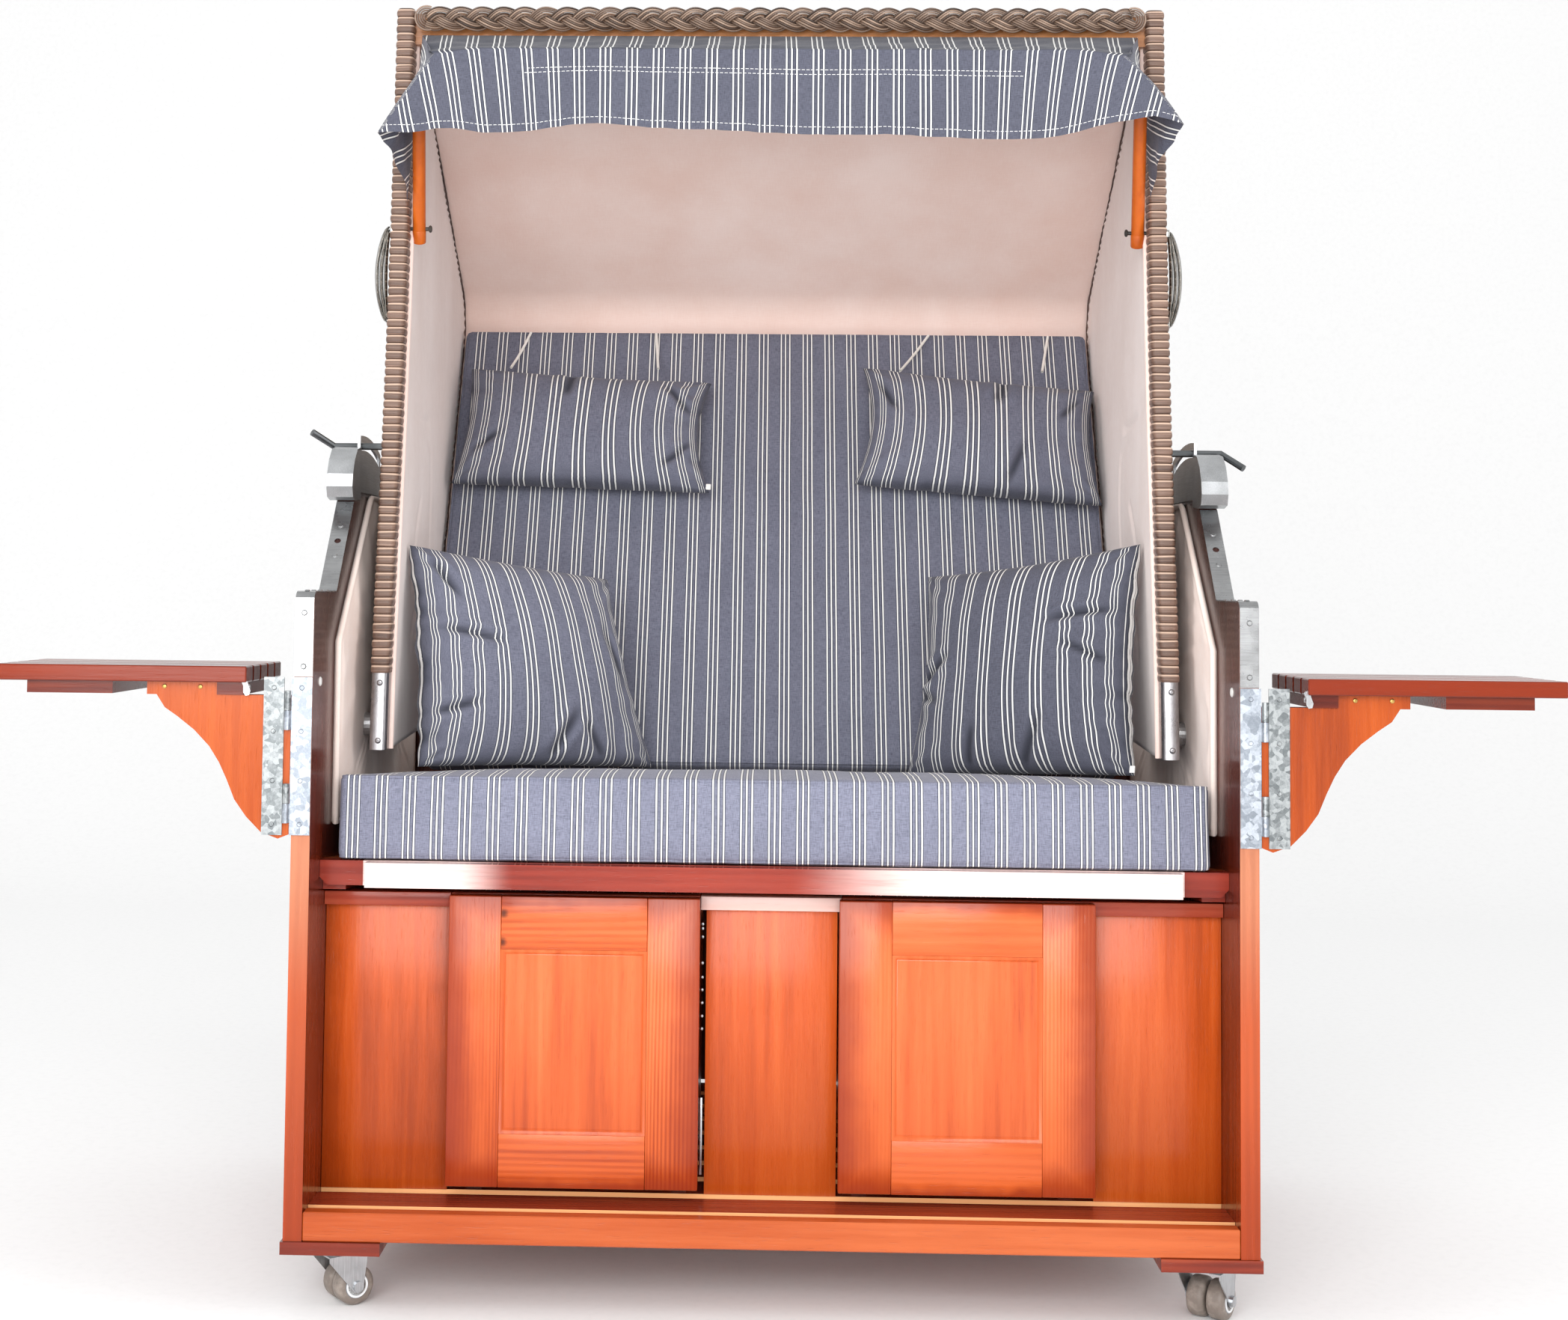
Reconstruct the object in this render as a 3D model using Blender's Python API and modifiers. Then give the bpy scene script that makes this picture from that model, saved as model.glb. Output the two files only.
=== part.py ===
"""Hooded two-seat beach chair on castors, built as separate pieces.

World axes: X to the sitter's left, Y to the back of the chair, Z up, metres.
Heights are measured from the floor, and y from the front plane of the base's side walls.
When all pieces stand, the root empty moves the chair so that its box is centred on the origin.
"""

import math

import bmesh
import bpy
from mathutils import Euler, Matrix, Vector
from mathutils.bvhtree import BVHTree

# Overall sizes
CHAIR_WIDTH = 1.22
BASE_DEPTH = 0.80
WALL_THICKNESS = 0.024
CASTOR_HEIGHT = 0.075
FOOT_THICKNESS = 0.016
ARMREST_Z = 0.905
SHOULDER_Z = 1.085
PIVOT_Y = 0.31
PIVOT_Z = 0.72
RECLINE_DEGREES = 20.0

# Clearances shared by every fit
GAP = 0.0003
RUNNING_GAP = 0.0005
CUT_OVERRUN = 0.01

HALF_WIDTH = CHAIR_WIDTH / 2
INNER_HALF = HALF_WIDTH - WALL_THICKNESS - GAP
WALL_FOOT_Z = CASTOR_HEIGHT + FOOT_THICKNESS + GAP

# Side walls
ARMREST_DEPTH = 0.145
SHOULDER_Y = 0.305
REAR_SHOULDER_Y = 0.60
REAR_TOP_Z = 0.90
WALL_CORNER_RADIUS = 0.012

# Side linings on the inner faces of the walls
LINING_THICKNESS = 0.0077
LINING_FRONT_Y = 0.14
LINING_BOTTOM_Z = 0.60
LINING_BEND_Z = 0.84
LINING_TOP_Y = 0.36
LINING_TOP_Z = 1.040
LINING_REAR_Y = 0.78
LINING_REAR_Z = 0.87
LINING_CORNER_RADIUS = 0.03

# Steel trim on the armrests
TRIM_THICKNESS = 0.0015
TRIM_START_Z = 0.7978
TRIM_END_Z = 1.030
TRIM_SCREW_RADIUS = 0.0042
TRIM_SCREW_HEIGHT = 0.0018
TRIM_SCREW_EDGE = 0.013
TRIM_SCREW_SLOPE_STEP = 0.056
TRIM_HOLE_RADIUS = 0.0045
TRIM_SCREW_COUNT = 4
SCREW_CROWN_SHARE = 0.65

# Lift-off hinges of the side tables
LEAF_BOTTOM_Z = 0.5975
LEAF_HEIGHT = 0.1995
LEAF_THICKNESS = 0.002
LEAF_WIDTH = 0.0262
KNUCKLE_RADIUS = 0.0042
KNUCKLE_X = 0.617
KNUCKLE_LENGTH = 0.0245
KNUCKLE_OFFSETS = (0.0155, 0.1330)
HINGE_PIN_RADIUS = 0.0018
LEAF_SCREW_RADIUS = 0.0038
LEAF_SCREW_HEIGHT = 0.0012
LEAF_SCREW_OFFSETS = (0.0135, 0.0685, 0.1310, 0.1860)

# Side tables
BRACKET_THICKNESS = 0.024
BRACKET_TOP_Z = 0.7737
BRACKET_REACH = 0.1730
BRACKET_DROP = 0.1810
BRACKET_CURVE_SHARES = (
    (1.0, 0.0), (0.937, 0.092), (0.84, 0.155), (0.715, 0.247), (0.601, 0.36), (0.525, 0.473),
    (0.466, 0.592), (0.406, 0.731), (0.317, 0.849), (0.206, 0.956), (0.079, 1.0), (0.0, 0.97),
)
BATTEN_HEIGHT = 0.016
INNER_BATTEN_START = 0.0640
INNER_BATTEN_WIDTH = 0.0340
LEDGE_WIDTH = 0.090
LEDGE_DEPTH = 0.030
OUTER_BATTEN_START = 0.232
OUTER_BATTEN_WIDTH = 0.110
TABLE_INNER = 0.058
TABLE_LENGTH = 0.322
TABLE_DEPTH = 0.200
TABLE_OVERHANG = 0.015
TABLE_THICKNESS = 0.0205
TABLE_SLATS = 5
TABLE_SLAT_GAP = 0.0045
TABLE_EDGE = 0.0015
BATTEN_INSET = 0.012

# Floor frame
BAR_DEPTH = 0.022
BAR_HEIGHT = 0.0362
FLOOR_SLATS = 9
FLOOR_SLAT_WIDTH = 0.062
FLOOR_SLAT_THICKNESS = 0.012
FLOOR_SLAT_START_Y = 0.034
FLOOR_SLAT_REAR = 0.094
FLOOR_SLAT_PITCH = (BASE_DEPTH - FLOOR_SLAT_START_Y - FLOOR_SLAT_REAR) / (FLOOR_SLATS - 1)
BEARER_WIDTH = 0.030
FOOT_INNER_X = 0.487
FOOT_OVERHANG = 0.003
FOOT_DEPTH = 0.110

# Castors
CASTOR_X = 0.552
CASTOR_INSET_Y = 0.052
CASTOR_PLATE_SIDE = 0.060
CASTOR_PLATE_THICKNESS = 0.0025
RACE_RADIUS = 0.020
RACE_HEIGHT = 0.0060
RACE_TAPER_SHARE = 0.9
FORK_SHEET = 0.0016
FORK_HALF_WIDTH = 0.0285
FORK_CROWN_RADIUS = 0.022
WHEEL_RADIUS = 0.025
WHEEL_WIDTH = 0.0235
WHEEL_SPACING = 0.0030
WHEEL_EDGE = 0.004
WHEEL_HUB_RADIUS = 0.0150
WHEEL_HUB_DEPTH = 0.0015
CASTOR_TRAIL = 0.018
FORK_FOOT_RADIUS = 0.0085
AXLE_RADIUS = 0.0040
AXLE_HEAD_RADIUS = 0.0068
AXLE_HEAD_LENGTH = 0.0030
CASTOR_TURN_DEGREES = {
    "front_left": 37.0, "front_right": 57.0, "rear_left": 70.0, "rear_right": 110.0,
}

# Recessed front and its footrests
RECESS_Y = 0.1156
RECESS_PANEL_THICKNESS = 0.012
RECESS_RAIL_Y = 0.1003
RECESS_RAIL_HEIGHT = 0.018
RECESS_RAIL_Z = 0.4965
DOOR_INNER_X = 0.0885
DOOR_WIDTH = 0.3290
DOOR_Y = 0.075
DOOR_THICKNESS = 0.022
DOOR_BOTTOM_Z = 0.1425
DOOR_TOP_Z = 0.5140
DOOR_FRAME_WIDTH = 0.068
DOOR_PANEL_RECESS = 0.003
DOOR_GAP = 0.003
BOX_SIDE_INSET = 0.0115
BOX_BOTTOM_Z = 0.150
BOX_HEIGHT = 0.290
BOX_DEPTH = 0.403
BOX_WALL = 0.010
PAD_THICKNESS = 0.049
PAD_INSET = 0.002
PAD_EDGE = 0.007
PAD_CROWN = 0.002
RUNNER_WIDTH = 0.020
RUNNER_INSET = 0.008
RUNNER_START_Y = 0.141
RUNNER_DEPTH = 0.60

# Back of the base
BACK_PANEL_THICKNESS = 0.008
BACK_PANEL_TOP_Z = 0.70

# Seat
SEAT_SLOPE_DEGREES = 5.0
NOSING_HALF = 0.5235
NOSING_Y = 0.045
NOSING_DEPTH = 0.021
NOSING_BOTTOM_Z = 0.5265
SEAT_DECK_Z = 0.5585
CROSSBAR_DEPTH = 0.024
CROSSBAR_CHAMFER = 0.010
DECK_THICKNESS = 0.012
DECK_REAR_Y = 0.470
DECK_BEARER_HEIGHT = 0.028
CUSHION_HALF = 0.5628
CUSHION_Y = 0.0636
CUSHION_THICKNESS = 0.1177
CUSHION_EDGE = 0.022
CUSHION_CROWN = 0.010
CUSHION_PULL = 0.004

# Hood profile, seen from the side
HOOD_CLEARANCE = 0.0337
HOOD_HALF = INNER_HALF - HOOD_CLEARANCE
RAIL_WIDTH = 0.024
RAIL_DEPTH = 0.034
RAIL_BOTTOM_Z = 0.6905
RAIL_HEIGHT = 1.062
RAIL_FOOT_Y = 0.2120
RAIL_LEAN = 0.125
RAIL_LEAN_SHARES = (
    (0.0, 0.0), (0.104, 0.08), (0.27, 0.31), (0.43, 0.536), (0.58, 0.705), (0.726, 0.832),
    (0.86, 0.925), (1.0, 1.0),
)
SIDE_SHEET = 0.008
SIDE_LINING = 0.0113
BACK_LINING = 0.008
BACK_SHEET = 0.010
BACK_LEAN_DEGREES = 28.5
ROOF_SLOPE_DEGREES = 30.3
ROOF_REFERENCE_Y = 0.565
ROOF_REFERENCE_Z = 1.610
HOOD_CROWN_RADIUS = 0.076
HOOD_BOTTOM_Z = 0.706
HEADER_DEPTH = 0.0213
HEADER_HEIGHT = 0.045
HEADER_DROP = 0.0075
HEADER_TOP_Z = RAIL_BOTTOM_Z + RAIL_HEIGHT - HEADER_DROP
HEADER_BOTTOM_Z = HEADER_TOP_Z - HEADER_HEIGHT
BRAID_RADIUS = 0.0195
BRAID_Z = RAIL_BOTTOM_Z + RAIL_HEIGHT - BRAID_RADIUS

# Back cushion
BACK_FACE_Y = 0.523
BACK_FACE_Z = 0.678
BACK_HALF = 0.520
BACK_BOTTOM_Z = 0.665
BACK_LENGTH = 0.7560
BACK_THICKNESS = 0.045
BACK_EDGE = 0.014
BACK_CROWN = 0.008
BACK_PULL = 0.003

# Pillows
NECK_WIDTH = 0.400
NECK_HEIGHT = 0.188
NECK_THICKNESS = 0.085
NECK_CENTRE_X = 0.317
NECK_CENTRE_Z = 1.172
NECK_ROLL_DEGREES = (-3.0, -5.0)
THROW_SIDE = 0.385
THROW_HEIGHT = 0.320
THROW_THICKNESS = 0.120
THROW_CENTRE_X = 0.349
THROW_CENTRE_Y = 0.412
THROW_YAW_DEGREES = 39.0
THROW_LEAN_DEGREES = 17.0
THROW_ROLL_DEGREES = 4.0
REST_LIFT = 0.10
PILLOW_PINCH_SHARE = 0.07
PILLOW_GRID = 10
PILLOW_CROWN_POWER = 0.42

# Elastic cords that hold the neck pillows
CORD_RADIUS = 0.0014
CORD_STAND_OFF = 0.0045
CORD_TOP_Z = 1.322
CORD_ENDS_X = (
    ((-0.4349, -0.4099), (-0.1917, -0.1986)), ((0.2065, 0.2568), (0.4385, 0.4558)),
)

# Grab bows on the hood's rails
BOW_BOTTOM_Z = 1.290
BOW_HEIGHT = 0.138
BOW_STAND_OFF = 0.0150
BOW_THICKNESS = 0.0045
BOW_WIDTH = 0.019
BOW_SHARES = (
    (0.0, 0.0), (0.10, 0.0), (0.20, 0.45), (0.32, 0.9), (0.5, 1.0), (0.68, 0.9), (0.80, 0.45),
    (0.90, 0.0), (1.0, 0.0),
)

# Recline adjusters
ROD_Y = 0.285
ROD_RADIUS = 0.005
ADJUSTER_RADIUS = 0.3908
ARC_THICKNESS = 0.004
ARC_MARGIN = 0.010
ARC_FOOT_Z = 1.046
ARC_STEPS = 8
LEVER_REACH = {-1: (0.027, -0.022, 0.018), 1: (0.027, -0.022, -0.021)}
HOUSING_FRONT_Y = 0.209
HOUSING_REAR_Y = 0.2735
HOUSING_BOTTOM_Z = 1.032
HOUSING_TOP_Z = 1.1085
HOUSING_SIDE = 0.006
HOUSING_OUTLINE_SHARES = (
    (0.42, 0.0), (0.10, 0.05), (0.0, 0.24), (0.06, 0.47), (0.24, 0.73), (0.55, 0.94), (1.0, 1.0),
    (1.0, 0.04),
)

# Pivot bolts
PIVOT_SHANK_RADIUS = 0.008
PIVOT_COLLAR_RADIUS = 0.016
PIVOT_HEAD_RADIUS = 0.014
PIVOT_HEAD_LENGTH = 0.006

# Awning
ARM_INSET = 0.041
ARM_X = HOOD_HALF - ARM_INSET
ARM_RADIUS = 0.0095
ARM_PIVOT_Y = 0.338
ARM_PIVOT_Z = 1.428
ARM_TAIL = 0.018
FRONT_BAR_Y = 0.200
FRONT_BAR_Z = 1.647
BAR_CORNER_RADIUS = 0.040
KNOB_SHANK_RADIUS = 0.003
KNOB_RADIUS = 0.009
KNOB_LENGTH = 0.011
CLOTH_THICKNESS = 0.002
CLOTH_HEAD_INSET = 0.033
CLOTH_HEAD_HALF = HOOD_HALF - CLOTH_HEAD_INSET
CLOTH_HEAD_Z = 1.7085
CLOTH_SIDE_INSET = 0.026
CLOTH_SIDE_X = HOOD_HALF - CLOTH_SIDE_INSET
CLOTH_SIDE_REAR_Y = 0.3100
CLOTH_SIDE_REAR_Z = 1.6950
CLOTH_FRONT_Y = 0.1850
CLOTH_FRONT_Z = 1.6600
CLOTH_CORNER = 0.045
HEM_FRONT_Z = 1.5450
HEM_FRONT_Y = 0.1800
HEM_TIP_X = 0.5520
HEM_TIP_Z = 1.5420
HEM_REAR_X = 0.5330
HEM_REAR_Y = 0.2920
HEM_REAR_Z = 1.4600
FOLD_DEPTH = 0.0060
FOLD_COUNT = 7
CLOTH_COLUMNS = 36
TOP_ROWS = 3
SKIRT_ROWS = 5

CHAIR_NAME = "beach_chair"
SIDES = {"left": -1, "right": 1}

PALETTE = {
    "mahogany": ((0.43, 0.13, 0.055), 0.30, 0.0),
    "dark_wood": ((0.16, 0.045, 0.022), 0.35, 0.0),
    "orange_wood": ((0.55, 0.21, 0.07), 0.35, 0.0),
    "steel": ((0.62, 0.62, 0.60), 0.28, 1.0),
    "zinc": ((0.55, 0.56, 0.57), 0.42, 1.0),
    "rattan": ((0.38, 0.26, 0.19), 0.55, 0.0),
    "lining": ((0.72, 0.60, 0.53), 0.85, 0.0),
    "striped_cloth": ((0.16, 0.19, 0.26), 0.90, 0.0),
    "elastic": ((0.85, 0.84, 0.80), 0.70, 0.0),
    "tyre": ((0.26, 0.24, 0.25), 0.65, 0.0),
    "board": ((0.20, 0.13, 0.09), 0.60, 0.0),
}


def clear_scene():
    """Remove whatever the scene holds."""
    for found in list(bpy.data.objects):
        bpy.data.objects.remove(found, do_unlink=True)


def make_collection(name):
    made = bpy.data.collections.new(name)
    bpy.context.scene.collection.children.link(made)
    return made


clear_scene()
PARTS = make_collection(CHAIR_NAME)
CUTTERS = make_collection("cutters")
ROOT = bpy.data.objects.new("chair_root", None)
PARTS.objects.link(ROOT)


def make_material(name, finish):
    """A Principled material for one piece, in the colour of its finish."""
    colour, roughness, metallic = PALETTE[finish]
    made = bpy.data.materials.new(name + "_" + finish)
    made.use_nodes = True
    shader = made.node_tree.nodes["Principled BSDF"]
    shader.inputs["Base Color"].default_value = (*colour, 1.0)
    shader.inputs["Roughness"].default_value = roughness
    shader.inputs["Metallic"].default_value = metallic
    return made


def add_piece(name, data, finish, parent=None):
    """Link a named piece, give it its material and hang it on its parent."""
    piece = bpy.data.objects.new(name, data)
    PARTS.objects.link(piece)
    data.materials.append(make_material(name, finish))
    hang(piece, parent or ROOT)
    return piece


def hang(piece, parent):
    """Parent a piece that was placed in chair coordinates, and leave it where it is."""
    place = piece.matrix_basis.copy()
    piece.parent = parent
    piece.matrix_basis = chair_matrix(parent).inverted() @ place


def chair_matrix(thing):
    """The placement of an object in chair coordinates, up to the root empty."""
    if thing is None or thing is ROOT:
        return Matrix.Identity(4)
    return chair_matrix(thing.parent) @ thing.matrix_basis


def joint_empty(name, place, parent=None, turn=0.0):
    """An empty on a joint's axis, turned about Z."""
    empty = bpy.data.objects.new(name, None)
    PARTS.objects.link(empty)
    empty.matrix_basis = Matrix.Translation(place) @ Matrix.Rotation(turn, 4, "Z")
    hang(empty, parent or ROOT)
    return empty


def add_box(mesh_builder, low, high):
    """Add one box between two corners to a bmesh."""
    low = Vector(low)
    high = Vector(high)
    middle = Matrix.Translation((low + high) / 2)
    stretch = Matrix.Diagonal((*(high - low), 1.0))
    bmesh.ops.create_cube(mesh_builder, size=1.0, matrix=middle @ stretch)


def built_mesh(name, builder):
    """Finish a bmesh as a mesh."""
    mesh = bpy.data.meshes.new(name)
    builder.to_mesh(mesh)
    builder.free()
    return mesh


def boxes(name, corners, finish, parent=None, edge=0.0):
    """A piece of one or more boxes, with softened edges where edge is given."""
    builder = bmesh.new()
    for low, high in corners:
        add_box(builder, low, high)
    mesh = built_mesh(name, builder)
    piece = add_piece(name, mesh, finish, parent)
    if edge:
        soften(piece, edge)
    return piece


def soften(piece, width, segments=1, angle=0.6):
    """Round the sharp edges of a piece."""
    bevel = piece.modifiers.new("soft_edges", "BEVEL")
    bevel.width = width
    bevel.segments = segments
    bevel.limit_method = "ANGLE"
    bevel.angle_limit = angle


def mirrored(corners):
    """Boxes of the right side, with their mirror images on the left side."""
    both = []
    for low, high in corners:
        both.append((low, high))
        both.append(((-high[0], low[1], low[2]), (-low[0], high[1], high[2])))
    return both


def x_span(sign, near, far):
    """The low and high x of a stretch between two distances from the middle."""
    return (near, far) if sign > 0 else (-far, -near)


def rounded(points, radii, steps=4):
    """A polygon with arcs of the given radii at its corners."""
    result = []
    count = len(points)
    for index, corner in enumerate(points):
        radius = radii[index]
        here = Vector(corner)
        if not radius:
            result.append(tuple(here))
            continue
        to_last = (Vector(points[index - 1]) - here).normalized()
        to_next = (Vector(points[(index + 1) % count]) - here).normalized()
        half = to_last.angle(to_next) / 2
        reach = radius / math.tan(half)
        centre = here + (to_last + to_next).normalized() * radius / math.sin(half)
        start = here + to_last * reach - centre
        end = here + to_next * reach - centre
        sweep = start.angle_signed(end)
        for step in range(steps + 1):
            turned = start.copy()
            turned.rotate(Matrix.Rotation(-sweep * step / steps, 2))
            result.append(tuple(centre + turned))
    return result


def circle(centre, radius, steps=20):
    """Points on a circle."""
    return [
        (centre[0] + radius * math.cos(2 * math.pi * step / steps),
         centre[1] + radius * math.sin(2 * math.pi * step / steps))
        for step in range(steps)
    ]


def offset_path(points, distance):
    """An open path moved sideways, to the left of its direction where distance is positive."""
    moved = []
    for index, point in enumerate(points):
        here = Vector(point)
        before = Vector(points[max(index - 1, 0)])
        after = Vector(points[min(index + 1, len(points) - 1)])
        normals = []
        for start, end in ((before, here), (here, after)):
            if (end - start).length > 0:
                along = (end - start).normalized()
                normals.append(Vector((-along.y, along.x)))
        across = sum(normals, Vector((0.0, 0.0))).normalized()
        moved.append(tuple(here + across * distance / across.dot(normals[0])))
    return moved


def flat_curve(name, outlines, thickness):
    """A filled 2D curve: the first outline is the rim, and the others are holes."""
    curve = bpy.data.curves.new(name, "CURVE")
    curve.dimensions = "2D"
    curve.fill_mode = "BOTH"
    curve.extrude = thickness / 2
    for outline in outlines:
        spline = curve.splines.new("POLY")
        spline.points.add(len(outline) - 1)
        for point, (across, up) in zip(spline.points, outline):
            point.co = (across, up, 0.0, 1.0)
        spline.use_cyclic_u = True
    return curve


SIDE_VIEW = Euler((math.pi / 2, 0.0, math.pi / 2)).to_matrix().to_4x4()
FRONT_VIEW = Euler((math.pi / 2, 0.0, 0.0)).to_matrix().to_4x4()


def side_sheet(name, outlines, span, finish, parent=None):
    """A flat piece drawn in side view, as y and z, that fills a span of x."""
    piece = add_piece(name, flat_curve(name, outlines, span[1] - span[0]), finish)
    piece.matrix_basis = Matrix.Translation(((span[0] + span[1]) / 2, 0.0, 0.0)) @ SIDE_VIEW
    hang(piece, parent or ROOT)
    return piece


def front_sheet(name, outlines, span, finish, parent=None):
    """A flat piece drawn in front view, as x and z, that fills a span of y."""
    piece = add_piece(name, flat_curve(name, outlines, span[1] - span[0]), finish)
    piece.matrix_basis = Matrix.Translation((0.0, (span[0] + span[1]) / 2, 0.0)) @ FRONT_VIEW
    hang(piece, parent or ROOT)
    return piece


def tube_curve(name, path, radius, resolution=2):
    """A round bar along a path, with filled ends."""
    curve = bpy.data.curves.new(name, "CURVE")
    curve.dimensions = "3D"
    curve.bevel_depth = radius
    curve.bevel_resolution = resolution
    curve.use_fill_caps = True
    add_run(curve, path)
    return curve


def add_run(curve, path):
    """Add one run of points to a tube's curve."""
    spline = curve.splines.new("POLY")
    spline.points.add(len(path) - 1)
    for point, place in zip(spline.points, path):
        point.co = (*place, 1.0)


def as_mesh(piece):
    """Turn a piece into a plain mesh of the same name, with its modifiers done and caps welded."""
    bpy.context.view_layer.update()
    evaluated = piece.evaluated_get(bpy.context.evaluated_depsgraph_get())
    mesh = bpy.data.meshes.new_from_object(evaluated)
    builder = bmesh.new()
    builder.from_mesh(mesh)
    bmesh.ops.remove_doubles(builder, verts=builder.verts, dist=GAP / 100)
    bmesh.ops.recalc_face_normals(builder, faces=builder.faces)
    builder.to_mesh(mesh)
    builder.free()
    name, parent, place = piece.name, piece.parent, piece.matrix_basis.copy()
    bpy.data.objects.remove(piece)
    made = bpy.data.objects.new(name, mesh)
    PARTS.objects.link(made)
    made.parent = parent
    made.matrix_basis = place
    return made


def fused(name, piece, bodies):
    """Unite a piece with overlapping bodies of the same node, and give it the node's name."""
    for index, body in enumerate(bodies):
        place = chair_matrix(body.parent) @ body.matrix_basis
        mesh = body.data
        bpy.data.objects.remove(body)
        combine(piece, cutter("%s_body_%d" % (name, index), mesh, place), "UNION")
    piece.name = name
    return piece


def turned_mesh(name, profile, steps=20):
    """A mesh with a profile of radius and height, for a Screw modifier about Z."""
    mesh = bpy.data.meshes.new(name)
    builder = bmesh.new()
    rim = [builder.verts.new((radius, 0.0, height)) for radius, height in profile]
    closed = profile[0] == profile[-1]
    if closed:
        builder.verts.remove(rim.pop())
    for index in range(len(rim) - 1):
        builder.edges.new((rim[index], rim[index + 1]))
    if closed:
        builder.edges.new((rim[-1], rim[0]))
    builder.to_mesh(mesh)
    builder.free()
    return mesh, steps


def turn(piece, steps):
    """Spin a profile about the piece's Z axis."""
    screw = piece.modifiers.new("turned", "SCREW")
    screw.axis = "Z"
    screw.steps = steps
    screw.render_steps = steps
    screw.use_merge_vertices = True
    screw.merge_threshold = GAP / 100
    return screw


def cutter(name, mesh, place):
    """A hidden cutting body."""
    body = bpy.data.objects.new(name, mesh)
    CUTTERS.objects.link(body)
    body.matrix_basis = place
    body.parent = ROOT
    body.hide_render = True
    body.display_type = "WIRE"
    return body


def combine(piece, body, operation):
    """Add one Boolean of a piece with a hidden body."""
    boolean = piece.modifiers.new(operation.lower(), "BOOLEAN")
    boolean.operation = operation
    boolean.solver = "EXACT"
    boolean.object = body


def rod_mesh(name, radius, length, steps=16):
    """A round rod along Z, centred on its origin."""
    mesh = bpy.data.meshes.new(name)
    builder = bmesh.new()
    bmesh.ops.create_cone(
        builder, cap_ends=True, segments=steps, radius1=radius, radius2=radius, depth=length)
    builder.to_mesh(mesh)
    builder.free()
    return mesh


ALONG_X = Matrix.Rotation(math.pi / 2, 4, "Y")
ALONG_Y = Matrix.Rotation(-math.pi / 2, 4, "X")
FACING_FRONT = Matrix.Rotation(math.pi / 2, 4, "X")


def wall_path():
    """The front and top edge of a side wall, from its foot to its rear shoulder."""
    return [
        (0.0, WALL_FOOT_Z), (0.0, ARMREST_Z), (ARMREST_DEPTH, ARMREST_Z),
        (SHOULDER_Y, SHOULDER_Z), (REAR_SHOULDER_Y, SHOULDER_Z),
    ]


def slope_point(height):
    """The point of the armrest's slope at a height."""
    share = (height - ARMREST_Z) / (SHOULDER_Z - ARMREST_Z)
    return (ARMREST_DEPTH + share * (SHOULDER_Y - ARMREST_DEPTH), height)


SLOPE_ALONG = Vector((SHOULDER_Y - ARMREST_DEPTH, SHOULDER_Z - ARMREST_Z)).normalized()
SLOPE_OUT = Vector((-SLOPE_ALONG.y, SLOPE_ALONG.x))
PIVOT = (PIVOT_Y, PIVOT_Z)


def build_side_walls():
    corner = WALL_CORNER_RADIUS
    outline = rounded(
        wall_path() + [(BASE_DEPTH, REAR_TOP_Z), (BASE_DEPTH, WALL_FOOT_Z)],
        [0.0, corner, corner, corner, 3 * corner, 3 * corner, 0.0])
    bore = circle(PIVOT, PIVOT_SHANK_RADIUS + GAP)
    for side, sign in SIDES.items():
        span = x_span(sign, HALF_WIDTH - WALL_THICKNESS, HALF_WIDTH)
        side_sheet("side_wall_" + side, [outline, bore], span, "mahogany")


def build_side_linings():
    radius = LINING_CORNER_RADIUS
    outline = rounded(
        [(LINING_FRONT_Y, LINING_BOTTOM_Z), (LINING_FRONT_Y, LINING_BEND_Z),
         (LINING_TOP_Y, LINING_TOP_Z), (REAR_SHOULDER_Y, LINING_TOP_Z),
         (LINING_REAR_Y, LINING_REAR_Z), (LINING_REAR_Y, LINING_BOTTOM_Z)],
        [0.0, radius, radius, radius, radius, 0.0])
    bore = circle(PIVOT, PIVOT_SHANK_RADIUS + GAP)
    for side, sign in SIDES.items():
        span = x_span(sign, INNER_HALF - LINING_THICKNESS, INNER_HALF)
        side_sheet("side_lining_" + side, [outline, bore], span, "lining")


def trim_stops():
    """Where the trim's screws sit: points and outward directions in side view."""
    spots = []
    flat = ARMREST_DEPTH - 2 * TRIM_SCREW_EDGE
    for index in range(TRIM_SCREW_COUNT):
        along = TRIM_SCREW_EDGE + flat * index / (TRIM_SCREW_COUNT - 1)
        spots.append((Vector((along, ARMREST_Z)), Vector((0.0, 1.0))))
    low = Vector(slope_point((ARMREST_Z + SHOULDER_Z) / 2)) - SLOPE_ALONG * TRIM_SCREW_SLOPE_STEP
    for index in range(2):
        spots.append((low + SLOPE_ALONG * TRIM_SCREW_SLOPE_STEP * index, SLOPE_OUT))
    for height in (TRIM_START_Z + TRIM_SCREW_EDGE, ARMREST_Z - 2 * TRIM_SCREW_EDGE):
        spots.append((Vector((0.0, height)), Vector((-1.0, 0.0))))
    return spots


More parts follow.
